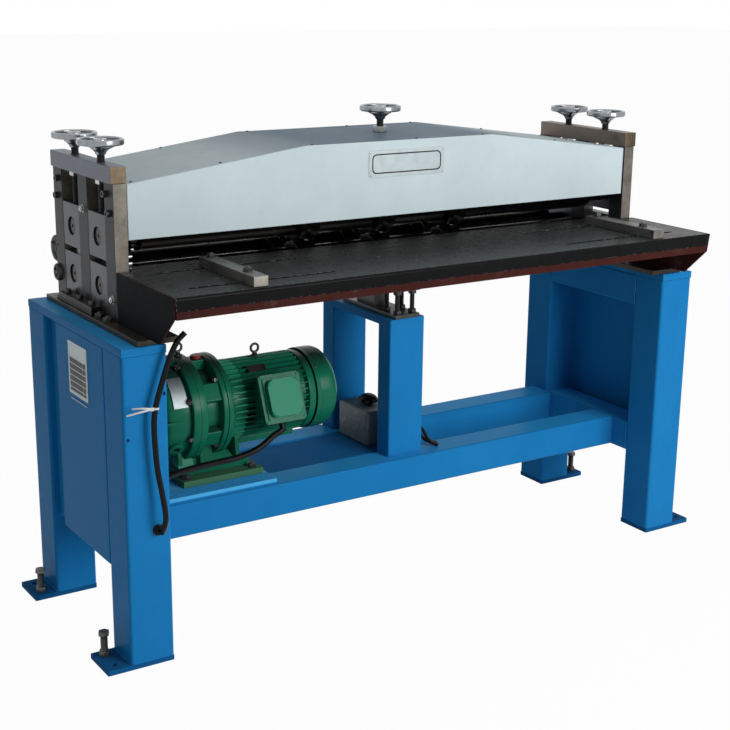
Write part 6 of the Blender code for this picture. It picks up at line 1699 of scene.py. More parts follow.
@dataclass
class RollSet:
    """The four rolls with their gears, and the idler gear between the lower two."""

    radius: float = 0.040
    ring: float = 0.0532
    ring_width: float = 0.050
    ring_centre: float = -0.012
    ring_pitch: float = 0.210
    journal: float = 0.017
    journal_end: float = 0.7235
    hub: float = 0.028
    shoulder: float = 0.6955
    body_end: float = 0.640
    module: float = 0.003
    teeth: int = 36
    idler_teeth: int = 13
    gear_low: float = -0.690
    gear_width: float = 0.022

    def build(self) -> None:
        """Builds every roll and gear."""
        front, rear = ROWS
        half = math.pi / self.teeth
        self.roll("lower_front", front, LOWER_ROLL_Z, True, 0.0)
        self.roll("lower_rear", rear, LOWER_ROLL_Z, True, half)
        self.roll("upper_front", front, UPPER_ROLL_Z, False, half)
        self.roll("upper_rear", rear, UPPER_ROLL_Z, False, 0.0)
        middle = front + self.module * (self.teeth + self.idler_teeth) / 2
        idler = self.gear(self.idler_teeth, (middle, LOWER_ROLL_Z), 0.0)
        idler.rod((-0.6957, middle, LOWER_ROLL_Z), (self.gear_low + 0.001, middle, LOWER_ROLL_Z),
                  0.008)
        idler.piece("idler_wheel", ROLL_STEEL, "idler", ["idler_gear"], 30)

    def gear(self, teeth: int, centre: tuple[float, float], phase: float) -> Form:
        """A spur gear across X.

        Args:
            teeth: How many teeth.
            centre: Its axis in Y and Z.
            phase: Angle of its first tooth.

        Returns:
            The gear's form.
        """
        pitch = self.module * teeth / 2
        root, tip = pitch - 1.12 * self.module, pitch + 0.80 * self.module
        tooth = ((root, -0.31), (0.5 * (root + tip), -0.235), (tip, -0.12),
                 (tip, 0.12), (0.5 * (root + tip), 0.235), (root, 0.31))
        outline = [polar(centre, radius, phase + (i + share) * TURN / teeth)
                   for i in range(teeth) for radius, share in tooth]
        low = self.gear_low
        return Form().prism(outline, Axis.X, low, low + self.gear_width, 0.0)

    def roll(self, name: str, y: float, z: float, beaded: bool, phase: float) -> None:
        """Builds a roll with its gear.

        Args:
            name: Which roll, as its body is named.
            y: Its axis.
            z: Its axis.
            beaded: Whether its rings carry beads, and not grooves.
            phase: Angle of its gear's first tooth.
        """
        peak = self.ring + 0.006 if beaded else self.ring - 0.008
        width = 0.010 if beaded else 0.014
        end = self.journal_end
        points = [(0.0, end - 0.004), (0.004, end - 0.001), (0.005, end),
                  (self.journal - 0.001, end), (self.journal, end - 0.001),
                  (self.journal, self.shoulder),
                  (self.hub - 0.001, self.shoulder), (self.hub, self.shoulder - 0.001),
                  (self.hub, self.body_end), (self.radius - 0.0015, self.body_end),
                  (self.radius, self.body_end - 0.0015)]
        for ring in (1, 0, -1):
            x = self.ring_centre + ring * self.ring_pitch
            half = self.ring_width / 2
            arc = [(0.5 * (1 + math.cos(TURN * k / 8)), width * (k - 4) / -4)
                   for k in range(8, -1, -1)]
            points += [(self.radius, x + half), (self.ring - 0.0015, x + half),
                       (self.ring, x + half - 0.0015)]
            points += [(self.ring + (peak - self.ring) * (1 - share), x - offset)
                       for share, offset in arc]
            points += [(self.ring, x - half + 0.0015), (self.ring - 0.0015, x - half),
                       (self.radius, x - half)]
        points += [(self.radius, 0.0015 - self.body_end), (self.radius - 0.0015, -self.body_end),
                   (self.hub, -self.body_end), (self.hub, 0.001 - self.shoulder),
                   (self.hub - 0.001, -self.shoulder), (self.journal, -self.shoulder),
                   (self.journal, 0.001 - end), (self.journal - 0.001, -end), (0.005, -end),
                   (0.004, 0.001 - end), (0.0, 0.004 - end)]
        form = Form().lathe(points, (0.0, y, z), RIGHT, 64)
        form.piece(f"{name}_roll_body", ROLL_STEEL, name, [f"{name}_roll"])
        gear = self.gear(self.teeth, (y, z), phase)
        if name == "lower_rear":
            gear.prism(Drive().sprocket(Drive.driven_teeth, (y, z)), Axis.X, -0.654, -0.648,
                       0.0008)
        gear.piece(f"{name}_roll_gear", ROLL_STEEL, name, smooth=30)
        self.set_screws(name, y, z)

    def set_screws(self, name: str, y: float, z: float) -> None:
        """Puts the rings' set screws beside their grooves.

        Args:
            name: The roll's body.
            y: Its axis.
            z: Its axis.
        """
        form = Form()
        for ring in (-1, 0, 1):
            x = self.ring_centre + ring * self.ring_pitch
            for angle in (0.9, 0.9 + TURN / 2):
                outward = Vector((0, math.cos(angle), math.sin(angle)))
                base = Vector((x - 0.019, y, z)) + outward * (self.ring - 0.0010)
                form.rod(base, base + outward * 0.0014, 0.0035, 0.0003, 12)
        form.piece(f"{name}_ring_screws", BLACK_STEEL, name)


# Handwheels


@dataclass
class Handwheel:
    """A dished three-spoke handwheel on its press screw."""

    name: str
    x: float
    y: float
    rim_z: float
    hub_foot: float
    screw_foot: float
    body: str
    radius: float = 0.0505
    rim_thick: float = 0.0085
    rim_high: float = 0.0135
    screw: float = 0.009
    spokes: int = 3

    def build(self) -> None:
        """Builds hub, rim, spokes and screw."""
        foot = self.hub_foot
        top = foot + 0.033
        hub = Form().lathe([(0.0, foot), (0.0105, foot), (0.0112, foot + 0.0010),
                            (0.0125, foot + 0.0050), (0.0165, foot + 0.0090),
                            (0.0215, foot + 0.0130), (0.0235, foot + 0.0160),
                            (0.0205, foot + 0.0175), (0.0158, foot + 0.0190), (0.0155, top - 0.003),
                            (0.0140, top), (0.0075, top), (0.0065, top - 0.0015),
                            (0.0, top - 0.0015)], (self.x, self.y, 0.0), facets=40)
        middle = self.radius - self.rim_thick / 2
        outline = rounded((middle - self.rim_thick / 2, -self.rim_high / 2),
                          (self.radius, self.rim_high / 2), 0.0034, 5)
        hub.lathe(outline, (self.x, self.y, self.rim_z), facets=72)
        for i in range(self.spokes):
            angle = TURN * i / self.spokes
            out = Vector((math.cos(angle), math.sin(angle), 0.0))
            centre = Vector((self.x, self.y, 0.0))
            path, radii = [], []
            for k in range(10):
                t = k / 9
                height = foot + 0.0125 + (self.rim_z - 0.001 - foot - 0.0125) * t**1.2
                path.append(centre + out * (0.010 + (middle - 0.010) * t) + Vector((0, 0, height)))
                radii.append((0.0105 - 0.0035 * math.sin(math.pi * min(1.0, t * 1.1)),
                              0.0056 - 0.0014 * t))
            hub.sweep(path, radii, 16)
        hub.piece(f"{self.name}_wheel", CHROME, self.body, [self.name])
        self.spindle()

    def spindle(self) -> None:
        """Builds the threaded press screw."""
        head, core, pitch = self.hub_foot + 0.004, self.screw * 0.86, 0.002
        turns = int((head - self.screw_foot) / pitch)
        profile = [(0.0, self.screw_foot),
                   *thread(core, self.screw, self.screw_foot, turns, pitch),
                   (core, head), (0.0, head)]
        screw = Form().lathe(profile, (self.x, self.y, 0.0), facets=24)
        screw.piece(f"{self.name}_screw", BLACK_STEEL, self.body)
        tip = Form().lathe([(0.0, 0.0), (0.0058, 0.0), (0.0062, 0.0006), (0.0058, 0.0030),
                            (0.0, 0.0034)], (self.x, self.y, self.hub_foot + 0.0300), facets=20)
        tip.piece(f"{self.name}_screw_end", BLACK_STEEL, self.body)


# Cover, centre parts and plates


@dataclass
class Cover:
    """The folded sheet cover with its screws, and the blank nameplate."""

    half: float = 0.6945
    flat_half: float = 0.262
    bottom: float = 0.893
    shoulder: float = 1.0123
    top: float = 1.0686
    sheet: float = 0.002
    front_y: float = -0.0455
    rear_y: float = 0.2835
    slope_screws: tuple[float, float] = (0.680, 0.470)
    top_screws: tuple[float, float, float] = (-0.240, 0.045, 0.240)
    screw: float = 0.0038

    def slope(self) -> float:
        """How much the sloping sides fall over their length."""
        return (self.top - self.shoulder) / (self.half - self.flat_half)

    def outline(self, inset: float, longer: float) -> Outline:
        """The cover's front view.

        Args:
            inset: How far its top is lowered.
            longer: How far its ends and open bottom are pushed out.

        Returns:
            The outline's points.
        """
        end = self.half + longer
        end_z = self.shoulder - inset - self.slope() * longer
        return [(-end, self.bottom - longer), (end, self.bottom - longer), (end, end_z),
                (self.flat_half, self.top - inset), (-self.flat_half, self.top - inset),
                (-end, end_z)]

    def build(self) -> None:
        """Builds the cover's shell, with the centre screw's hole, and its screws."""
        shell = Form().prism(self.outline(0.0, 0.0), Axis.Y, self.front_y, self.rear_y, 0.0022, 3)
        inside = Form().prism(self.outline(self.sheet, 0.01), Axis.Y, self.front_y + self.sheet,
                              self.rear_y - self.sheet, 0.0)
        hole = Form().rod((*CENTRE_SCREW, self.top - 0.02), (*CENTRE_SCREW, self.top + 0.02),
                          0.0146, 0.0, 40)
        shell.less(inside, hole)
        shell.piece("cover_shell", COVER, nodes=["cover"], smooth=30)
        slope = self.slope()
        for side in (-1, 1):
            points = []
            for x in self.slope_screws:
                z = self.shoulder + slope * (self.half - x)
                points += [(side * x, y, z) for y in (self.front_y + 0.012, self.rear_y - 0.012)]
            direction = Vector((side * slope, 0.0, 1.0)).normalized()
            Fastener.PAN_SCREW.fit(f"cover_slope_screws_{side + 1}", BLACK_STEEL, points,
                                   direction, self.screw)
        points = [(x, y, self.top) for x in self.top_screws
                  for y in (self.front_y + 0.010, self.rear_y - 0.010)]
        Fastener.PAN_SCREW.fit("cover_top_screws", BLACK_STEEL, points, UP, self.screw)

    def nameplate(self) -> None:
        """Builds the bare nameplate: plate, printed border and rivets."""
        low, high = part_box("nameplate")
        outline = rounded((low.x, low.z), (high.x, high.z), 0.003, 3)
        plate = Form().prism(outline, Axis.Y, low.y, high.y, 0.0002)
        plate.piece("nameplate_blank", PLATE, nodes=["nameplate"])
        outer, inner = [
            rounded((low.x + inset, low.z + inset), (high.x - inset, high.z - inset), radius)
            for inset, radius in ((0.0085, 0.012), (0.0085 + 0.0030, 0.0095))]
        border = Form().prism(outer, Axis.Y, low.y - 0.0003, low.y + 0.0003, 0.0)
        border.less(Form().prism(inner, Axis.Y, low.y - 0.002, low.y + 0.002, 0.0))
        border.piece("nameplate_border", BLACK_PRINT)
        points = [(x, low.y, z) for x in (low.x + 0.005, high.x - 0.005)
                  for z in (low.z + 0.005, high.z - 0.005)]
        Fastener.RIVET.fit("nameplate_rivets", ZINC, points, FRONT, 0.0021)


@dataclass
class CentreParts:
    """The bridge beam with its boss and nut, the saddle and the lower centre support."""

    cover_top: float = 1.0686
    beam_bottom: float = 0.965
    beam_top: float = 1.007
    foot: float = 0.6363
    yoke: float = 0.7148

    def build(self) -> None:
        """Builds the centre parts."""
        low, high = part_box("bridge_beam")
        outline = rounded((low.y, self.beam_bottom), (high.y, self.beam_top), 0.004)
        beam = Form().prism(outline, Axis.X, low.x, high.x, 0.0)
        boss = Form().rod((*CENTRE_SCREW, 1.000), (*CENTRE_SCREW, self.cover_top + 0.0006), 0.0138)
        for form in (beam, boss):
            form.less(bored(*CENTRE_SCREW, 0.94, 1.10))
        beam.piece("bridge_beam_tube", BLACK_STEEL, nodes=["bridge_beam"])
        boss.piece("bridge_beam_boss", BLACK_STEEL)
        nut = Form().prism(hexagon(*CENTRE_SCREW, 0.017, 0.3), Axis.Z, self.cover_top + GAP,
                           self.cover_top + 0.015, 0.0014)
        nut.less(bored(*CENTRE_SCREW, 1.0, 1.2))
        nut.piece("centre_nut", ZINC)
        self.saddle()
        self.support()

    def saddle(self) -> None:
        """Builds the saddle plate and its backing rollers."""
        low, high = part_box("centre_saddle")
        rollers = Form()
        for y in ROWS:
            rollers.lathe([(0.0, 0.0), (0.0072, 0.0), (0.008, 0.001), (0.008, 0.039),
                           (0.0072, 0.040), (0.0, 0.040)],
                          (CENTRE_SCREW[0] - 0.020, y, low.z + 0.008), RIGHT, 28)
        rollers.piece("saddle_rollers", ROLL_STEEL, "saddle")
        form = Form().block((low.x, ROWS[0], low.z + 0.0085), (high.x, ROWS[1], high.z), CAST)
        form.piece("saddle_plate", BLACK_STEEL, "saddle", ["centre_saddle"])

    def support(self) -> None:
        """Builds the lower centre support: two plates, pillar, cradles, rollers and studs."""
        low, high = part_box("centre_support")
        foot, yoke = self.foot, self.yoke
        low_x, high_x = -0.006, 0.064
        (x, middle), cradle_z = CENTRE_SCREW, 0.7345
        form = Form().block((low_x, low.y, foot), (high_x, high.y, foot + 0.010), CAST)
        form.block((low_x, low.y, yoke - 0.012), (high_x, high.y, yoke), CAST)
        form.block((0.009, middle - 0.040, foot + 0.009), (0.049, middle + 0.040, yoke - 0.011),
                   CAST)
        for y in ROWS:
            form.block((x - 0.016, y - 0.008, yoke - 0.001), (x + 0.016, y + 0.008, 0.7335),
                       0.0008)
            form.rod((x - 0.020, y, cradle_z), (x + 0.020, y, cradle_z), 0.008)
        form.piece("support_body", BLACK_STEEL, nodes=["centre_support"])
        studs = Form()
        cuts = thread(0.0052, 0.0060, foot + 0.002, 36)
        for x, y in [(x, y) for x in (low_x + 0.0132, high_x - 0.0132)
                     for y in (low.y + 0.0143, low.y + 0.060)]:
            studs.lathe([(0.0, foot + 0.002), *cuts, (0.0, cuts[-1][1])], (x, y, 0.0), facets=16)
            for z in (foot + 0.010, yoke - 0.021):
                studs.prism(hexagon(x, y, 0.011), Axis.Z, z, z + 0.009, CAST)
        studs.piece("support_studs", BLACK_STEEL)


# Work table


@dataclass
class WorkTable:
    """The table sheet, its stiffener, end brackets, slots, screws and sliding guides."""

    half: float = 0.7235
    front_y: float = -0.3355
    rear_y: float = -0.0555
    tongue_half: float = 0.690
    tongue_y: float = -0.0095
    top: float = 0.829
    sheet: float = 0.005
    lip: float = 0.028
    fold: float = 0.006
    slot_width: float = 0.011
    slot_rows: tuple[float, float] = (-0.2675, -0.1025)
    slot_start: float = 0.320
    slot_end: float = 0.665
    left_guide_x: float = -0.530
    right_guide_x: float = 0.565
    screws: tuple[tuple[float, float], ...] = (
        (-0.569, -0.2025), (-0.150, -0.1745), (0.521, -0.0825), (0.150, -0.1745),
        (-0.560, -0.060), (0.10, -0.055))

    def build(self) -> None:
        """Builds table, stiffener, brackets and guides."""
        self.plate()
        self.lip_strip()
        low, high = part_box("table_stiffener")
        Form().block(low, high, CAST).piece("stiffener", PRIMER, nodes=["table_stiffener"])
        for name in ("left", "right"):
            self.bracket(name)
        self.guide("left", self.left_guide_x)
        self.guide("right", self.right_guide_x)
        points = [(*place, self.top) for place in self.screws]
        Fastener.FLAT_SCREW.fit("table_screws", BLACK_STEEL, points, UP, 0.0062)

    def plate(self) -> None:
        """Builds the flat of the table with its slots."""
        start = self.front_y + self.fold
        outline = [(-self.half, start), (self.half, start), (self.half, self.rear_y),
                   (self.tongue_half, self.rear_y), (self.tongue_half, self.tongue_y),
                   (-self.tongue_half, self.tongue_y), (-self.tongue_half, self.rear_y),
                   (-self.half, self.rear_y)]
        plate = Form().prism(outline, Axis.Z, self.top - self.sheet, self.top, 0.0)
        cuts = []
        for side in (-1, 1):
            low_x, high_x = spread(side, self.slot_start, self.slot_end)
            for y in self.slot_rows:
                half = self.slot_width / 2
                outline = rounded((low_x, y - half), (high_x, y + half), half * 0.98, 6)
                cuts.append(Form().prism(outline, Axis.Z, self.top - 0.02, self.top + 0.01, 0.0))
        plate.less(*cuts)
        plate.piece("table_plate", TABLE, nodes=["work_table"], smooth=30)

    def lip_strip(self) -> None:
        """Builds the rounded fold and the lip along the table's front."""
        bottom = self.top - self.lip
        start, inner = self.front_y + self.fold, self.front_y + self.sheet
        bend = [TURN / 4 * i / 6 for i in range(7)]
        outline = [(start, self.top)]
        outline += [(start - self.fold * math.sin(angle),
                     self.top - self.fold + self.fold * math.cos(angle)) for angle in bend]
        outline += [(self.front_y, bottom + 0.001), (self.front_y + 0.001, bottom),
                    (inner, bottom), (inner, self.top - self.sheet),
                    (start, self.top - self.sheet)]
        clean = [p for n, p in enumerate(outline)
                 if (Vector(p) - Vector(outline[n - 1])).length > 1e-6]
        Form().prism(clean, Axis.X, -self.half, self.half, 0.0).piece("table_lip", TABLE)

    def bracket(self, name: str) -> None:
        """Builds an end bracket: dark outside, primed inside.

        Args:
            name: "left" or "right".
        """
        low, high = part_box(f"{name}_table_bracket")
        outline = [(self.rear_y, self.top), (self.front_y, self.top),
                   (self.front_y + 0.006, self.top - 0.045), (self.front_y + 0.074, low.z),
                   (self.rear_y, low.z)]
        middle = (low.x + high.x) / 2
        halves = [(low.x, middle), (middle, high.x)]
        outer, inner = halves if name == "left" else reversed(halves)
        outside = Form().prism(outline, Axis.X, *outer, 0.0005)
        outside.piece(f"{name}_bracket_outside", BRACKET, nodes=[f"{name}_table_bracket"])
        Form().prism(outline, Axis.X, *inner, 0.0).piece(f"{name}_bracket_inside", PRIMER)

    def guide(self, name: str, x: float) -> None:
        """Builds a sliding guide bar with its clamping bolts.

        Args:
            name: "left" or "right".
            x: The bar's middle.
        """
        body = f"{name}_guide"
        low_y = self.front_y + 0.011
        bottom, half, length = self.top + GAP, 0.017, 0.248
        top = bottom + 0.022
        bar = Form().block((x - half, low_y, bottom), (x + half, low_y + length, top), 0.0014)
        bar.piece(f"{name}_guide_bar", GUIDE_STEEL, body, [f"{name}_side_guide"])
        points = [(x, y, top) for y in self.slot_rows]
        Fastener.HEX_BOLT.fit(f"{name}_guide_bolts", BLACK_STEEL, points, UP, 0.0100, body)
        under = self.top - self.sheet - GAP
        points = [(x, y, under) for y in self.slot_rows]
        Fastener.HEX_BOLT.fit(f"{name}_guide_heads", ZINC, points, (0, 0, -1), 0.0075, body)
        stems = Form()
        for y in self.slot_rows:
            stems.rod((x, y, under - 0.002), (x, y, bottom + 0.002), 0.0049, 0.0, 16)
        stems.piece(f"{name}_guide_stems", ZINC, body)


# Gearmotor and drive


@dataclass
class GearMotor:
    """The finned motor with its fan cover and terminal box, on a flanged cycloidal reducer."""

    y: float = 0.1125
    z: float = 0.456
    motor_left: float = -0.428
    motor_right: float = -0.1935
    core: float = 0.0855
    fin_height: float = 0.0115
    fins: int = 40
    shield: float = 0.0965
    cover_right: float = -0.1217
    cover_dome: float = 0.034
    cover_crown: float = 0.050
    cover_radius: float = 0.100
    motor_flange: float = 0.120
    big_flange: float = 0.1255
    big_flange_right: float = -0.497
    big_flange_width: float = 0.038
    neck: float = 0.094
    housing: float = 0.112
    housing_length: float = 0.062
    foot_z: float = 0.3136
    foot_left: float = -0.556
    foot_right: float = -0.372
    motor_eye_x: float = -0.312
    reducer_eye_x: float = -0.514
    box_x: float = -0.3144
    box_drop: float = 0.025
    box_tilt: float = math.radians(22)
    box_long: float = 0.0545
    box_high: float = 0.0575
    box_lip: float = 0.010
    box_front: float = -0.0978 - 0.043
    bolt: float = 0.0085

    def build(self) -> None:
        """Builds the whole gearmotor."""
        self.body()
        self.fan_cover()
        self.reducer()
        self.reducer_foot()
        self.terminal_box()
        self.eye("motor_eye", self.motor_eye_x, self.z + 0.0975)
        self.eye("reducer_eye", self.reducer_eye_x, self.z + self.big_flange)
        self.base_plate()

    def turned(self, profile: Sequence[tuple[float, float]], facets: int = 64) -> Form:
        """A lathe shape about the motor's axis, from (radius, X) points."""
        return Form().lathe(profile, (0.0, self.y, self.z), RIGHT, facets)

    def ring(self, shape: Form, finish: Finish, x: float, radius: float, count: int,
             start: float, direction: int = 1) -> bpy.types.Mesh:
        """Copies of a shape round the motor's axis.

        Args:
            shape: The shape, standing on +Z with +X outwards.
            finish: Its surface.
            x: Where the ring lies on the axis.
            radius: The ring's radius.
            count: How many copies.
            start: The first one's angle.
            direction: 1 to stand towards +X and -1 towards -X.

        Returns:
            The copies' mesh.
        """
        place = axis_place((x, self.y, self.z), (direction, 0, 0))
        return Repeater(Repeat.RING).run(points_host([(0, 0, 0)]), shape, finish, place,
                                         Count=count, Radius=radius, Start=start,
                                         Step=TURN / count)

    def body(self) -> None:
        """Builds the motor's core, end shields and fins."""
        left, right = self.motor_left, self.motor_right
        rotor = 0.0125
        profile = [(0.0, left), (self.core + 0.003, left), (self.core, left + 0.003),
                   (self.core, right - 0.024), (self.shield, right - 0.020),
                   (self.shield, right - 0.004), (self.shield - 0.004, right), (rotor, right),
                   (rotor, right - 0.060), (0.0, right - 0.062)]
        self.turned(profile).piece("motor_core", GREEN, nodes=["motor_body"])
        # The second set is a band of slightly larger fins in the lighter copy of the motor paint:
        # painted light.
        for name, finish, low, high, rise in (
            ("motor_fins", GREEN, 0.002, right - left - 0.023, 0.0),
            ("motor_pale_fins", LIT_GREEN, 0.014, 0.046, 0.0004),
        ):
            wide = 0.0016 + rise
            tip, taper = self.fin_height + rise, 0.0006
            section = [(-0.002, -wide), (tip, taper - wide), (tip, wide - taper), (-0.002, wide)]
            fin = Form().prism(section, Axis.Z, low, high, 0.0004, 1)
            mesh = self.ring(fin, finish, left, self.core, self.fins, 0.04)
            dress(mesh, name, finish)
        outward = Vector((0.0, -0.53, 0.848))
        plate = Form().prism(rounded((-0.024, -0.011), (0.024, 0.011), 0.002), Axis.Z, 0.0, 0.0012,
                             0.0002)
        seat = Vector((-0.335, self.y, self.z)) + outward * (self.core + self.fin_height - 0.0002)
        frame = Matrix((Vector(RIGHT), outward.cross(Vector(RIGHT)), outward)).transposed()
        plate.moved(Matrix.Translation(seat) @ frame.to_4x4())
        plate.piece("motor_blank_plate", BLACK_STEEL)
        pads = Form()
        for low_y in (self.y - 0.030, self.y + 0.012):
            pads.block((left + 0.020, low_y, self.z - self.core - 0.0195),
                       (right - 0.030, low_y + 0.018, self.z - self.core + 0.006), 0.002)
        pads.piece("motor_pads", GREEN)

    def fan_cover(self) -> None:
        """Builds the fan cover, with its slotted end, and the fan in it."""
        left, right = self.motor_right + GAP, self.cover_right
        radius, wall = self.cover_radius, 0.002
        outer = [*self.dome(radius, right), (radius, left + 0.014), (radius - 0.0012, left + 0.012),
                 (radius - 0.0012, left + 0.009), (radius, left + 0.007), (radius, left)]
        inner = [(radius - wall, left), *reversed(self.dome(radius - wall, right - wall))]
        shell = self.turned([*outer, *inner])
        cutters = []
        for reach, count, long in ((0.016, 6, 0.007), (0.029, 10, 0.009), (0.042, 14, 0.010)):
            slot = Form().block((-long / 2, -0.0030, -0.004), (long / 2, 0.0030, 0.006), 0.0)
            mesh = self.ring(slot, GREEN, right, reach, count, 0.1)
            cutters.append(Form().take(mesh))
        shell.less(*cutters)
        shell.piece("fan_cover_shell", GREEN, nodes=["fan_cover"], smooth=35)
        screw = Fastener.PAN_SCREW.shape(0.0042).moved(Matrix.Rotation(TURN / 4, 4, "Y"))
        mesh = self.ring(screw, BLACK_STEEL, left + 0.010, radius - 0.0012, 4, TURN / 8)
        dress(mesh, "fan_cover_screws", BLACK_STEEL, smooth=35)
        self.fan()

    def dome(self, radius: float, right: float) -> list[tuple[float, float]]:
        """The fan cover's round end.

        Args:
            radius: The cover's radius, or less for the inner face.
            right: X of the end's middle.

        Returns:
            (radius, X) points, from the middle outwards.
        """
        crown = radius - self.cover_radius + self.cover_crown
        bend = [TURN / 4 * i / 10 for i in range(11)]
        return [(0.0, right)] + [
            (crown + (radius - crown) * math.sin(a), right - self.cover_dome * (1 - math.cos(a)))
            for a in bend
        ]

    def fan(self) -> None:
        """Builds the fan on the rotor's end."""
        left, end = self.motor_right + 0.015, self.motor_right - 0.030
        hub, disc, shaft = 0.024, 0.080, 0.012
        profile = [(0.0, left + 0.030), (hub - 0.002, left + 0.030), (hub, left + 0.028),
                   (hub, left + 0.005), (disc, left + 0.005), (disc, left), (shaft, left),
                   (shaft, end), (0.0, end)]
        fan = self.turned(profile, 48)
        fan.piece("fan_hub", BLACK_RUBBER, "fan", ["motor_fan"])
        blade = Form().block((0.0, -0.0012, 0.0), (0.056, 0.0012, 0.024), 0.0004, 1)
        mesh = self.ring(blade, BLACK_RUBBER, left + 0.004, 0.022, 6, 0.0)
        dress(mesh, "fan_blades", BLACK_RUBBER, "fan")

    def reducer(self) -> None:
        """Builds the reducer's turned castings, its windows' pads, ribs and bolts."""
        big_right, right = self.big_flange_right, self.motor_left - GAP
        big_left = big_right - self.big_flange_width
        housing_left = big_left - self.housing_length
        motor_flange_left = self.motor_left - 0.028
        edge, fillet = 0.0025, 0.004
        small, big = self.motor_flange, self.big_flange
        profile = [
            (0.0, right), (small - edge, right), (small, right - edge), (small, right - 0.013),
            (small - edge, right - 0.0145), (small - edge, right - 0.0155),
            (small, right - 0.017), (small, motor_flange_left + edge),
            (small - edge, motor_flange_left), (self.neck + fillet, motor_flange_left),
            (self.neck, motor_flange_left - fillet), (self.neck, big_right + fillet),
            (self.neck + fillet, big_right), (big - edge, big_right), (big, big_right - edge),
            (big, big_right - 0.018), (big - 0.001, big_right - 0.0185),
            (big - 0.001, big_right - 0.0195), (big, big_right - 0.020), (big, big_left + edge),
            (big - edge, big_left), (self.housing, big_left),
            (self.housing - 0.003, housing_left + 0.016), (self.housing - 0.018, housing_left),
            (0.055, housing_left), (0.053, housing_left - 0.016), (0.050, housing_left - 0.018),
            (0.0, housing_left - 0.018),
        ]
        form = self.turned(profile, 80)
        form.piece("reducer_casting", GREEN, nodes=["cycloidal_reducer"])
        pad = Form().block((-0.012, -0.022, 0.0), (0.016, 0.022, 0.043), 0.003, 3)
        mesh = self.ring(pad, GREEN, motor_flange_left - 0.042, 0.098, 6, TURN / 12)
        dress(mesh, "reducer_window_pads", GREEN)
        for name, x, circle, count in (("big_flange_bolts", big_left, big - 0.0075, 8),
                                       ("motor_flange_bolts", motor_flange_left, small - 0.010, 4)):
            mesh = self.ring(Fastener.HEX_BOLT.shape(self.bolt), BLACK_STEEL, x, circle, count,
                             TURN / count / 2, -1)
            dress(mesh, name, BLACK_STEEL, smooth=35)
        rib = Form().prism([(-0.010, 0.0), (0.004, 0.0), (0.004, 0.040), (-0.010, 0.058)],
                           Axis.Y, -0.003, 0.003, 0.0008)
        mesh = self.ring(rib, GREEN, housing_left + 0.002, self.housing - 0.004, 8, TURN / 8)
        dress(mesh, "housing_ribs", GREEN)
        plug = Form().lathe([(0.0, -0.004), (0.0120, -0.004), (0.0120, 0.009), (0.0140, 0.0100),
                             (0.0140, 0.0185), (0.0120, 0.0210), (0.0, 0.0210)],
                            (-0.468, self.y, self.z + 0.100), facets=24)
        plug.piece("filler_plug", RED_PLUG)
        seat = Form().lathe([(0.0, -0.050), (0.0180, -0.050), (0.0165, -0.002), (0.0145, 0.0),
                             (0.0, 0.0)], (-0.533, self.y - 0.012, self.z + 0.118), facets=28)
        seat.piece("breather_boss", GREEN)
        drain, aim = (-0.566, self.y - 0.088, self.z - 0.066), (-0.10, -0.80, -0.60)
        boss = Form().lathe([(0.0, -0.020), (0.0200, -0.020), (0.0180, 0.006), (0.0165, 0.0075),
                             (0.0085, 0.0075), (0.0080, 0.001), (0.0, 0.001)], drain, aim, 28)
        boss.piece("drain_boss", GREEN)
        # A near-black disc in the socket: painted shade in its hollow.
        socket_shade = Form().rod((0, 0, 0), (0, 0, 0.0036), 0.0080, 0.0004, 24)
        socket_shade.moved(axis_place(drain, aim))
        socket_shade.piece("drain_socket", SHADE_BLACK)
        bend = [math.radians(17.0 + 38.0 * i / 12) for i in range(13)]
        outline = [(self.y - radius * math.cos(angle), self.z + radius * math.sin(angle))
                   for radius, angles in ((self.housing + 0.0012, bend),
                                          (self.housing - 0.002, bend[::-1])) for angle in angles]
        plate = Form().prism(outline, Axis.X, housing_left + 0.021, housing_left + 0.056, 0.0003)
        plate.piece("reducer_blank_plate", PLATE)

    def reducer_foot(self) -> None:
        """Builds the reducer's foot, waist and side webs."""
        foot = Form()
        left, right, half, thick = self.foot_left, self.foot_right, 0.078, 0.016
        outline = rounded((left, self.y - half), (right, self.y + half), 0.010)
        foot.prism(outline, Axis.Z, self.foot_z, self.foot_z + thick, 0.0025)
        waist = [(self.y - 0.060, self.foot_z + 0.010), (self.y + 0.060, self.foot_z + 0.010),
                 (self.y + 0.052, self.z), (self.y - 0.052, self.z)]
        foot.prism(waist, Axis.X, left + 0.020, self.motor_left - 0.028, 0.003)
        for low, high, flare in ((-0.553, -0.541, 0.0), (-0.497, -0.484, 0.006),
                                 (-0.405, -0.393, 0.010)):
            base, head = self.foot_z + 0.012, self.z - 0.070 + flare
            web = [(self.y - half + 0.003, base), (self.y + half - 0.003, base),
                   (self.y + 0.066, head), (self.y - 0.066, head)]
            foot.prism(web, Axis.X, low, high, 0.0025)
        foot.piece("reducer_foot_casting", GREEN)
        # The foot's front faces take the lighter copy of the motor paint: painted light.
        faces, front, top = Form(), self.y - half + 0.0015, self.foot_z + thick
        for low, high, depth, rise in ((left + 0.002, -0.514, 0.020, 0.044),
                                       (-0.482, -0.408, 0.032, 0.018)):
            faces.prism([(front, top - 0.004), (front + depth + 0.012, top - 0.004),
                         (front + depth + 0.012, top + rise), (front + depth, top + rise),
                         (front, top + 0.001)], Axis.X, low, high, 0.0015)
        faces.piece("reducer_foot_faces", LIT_GREEN)
        points = [(x, self.y + d, self.foot_z + thick) for x in (left + 0.014, right - 0.018)
                  for d in (-0.064, 0.064)]
        Fastener.HEX_BOLT.fit("reducer_foot_bolts", BLACK_STEEL, points, UP, 0.0090)

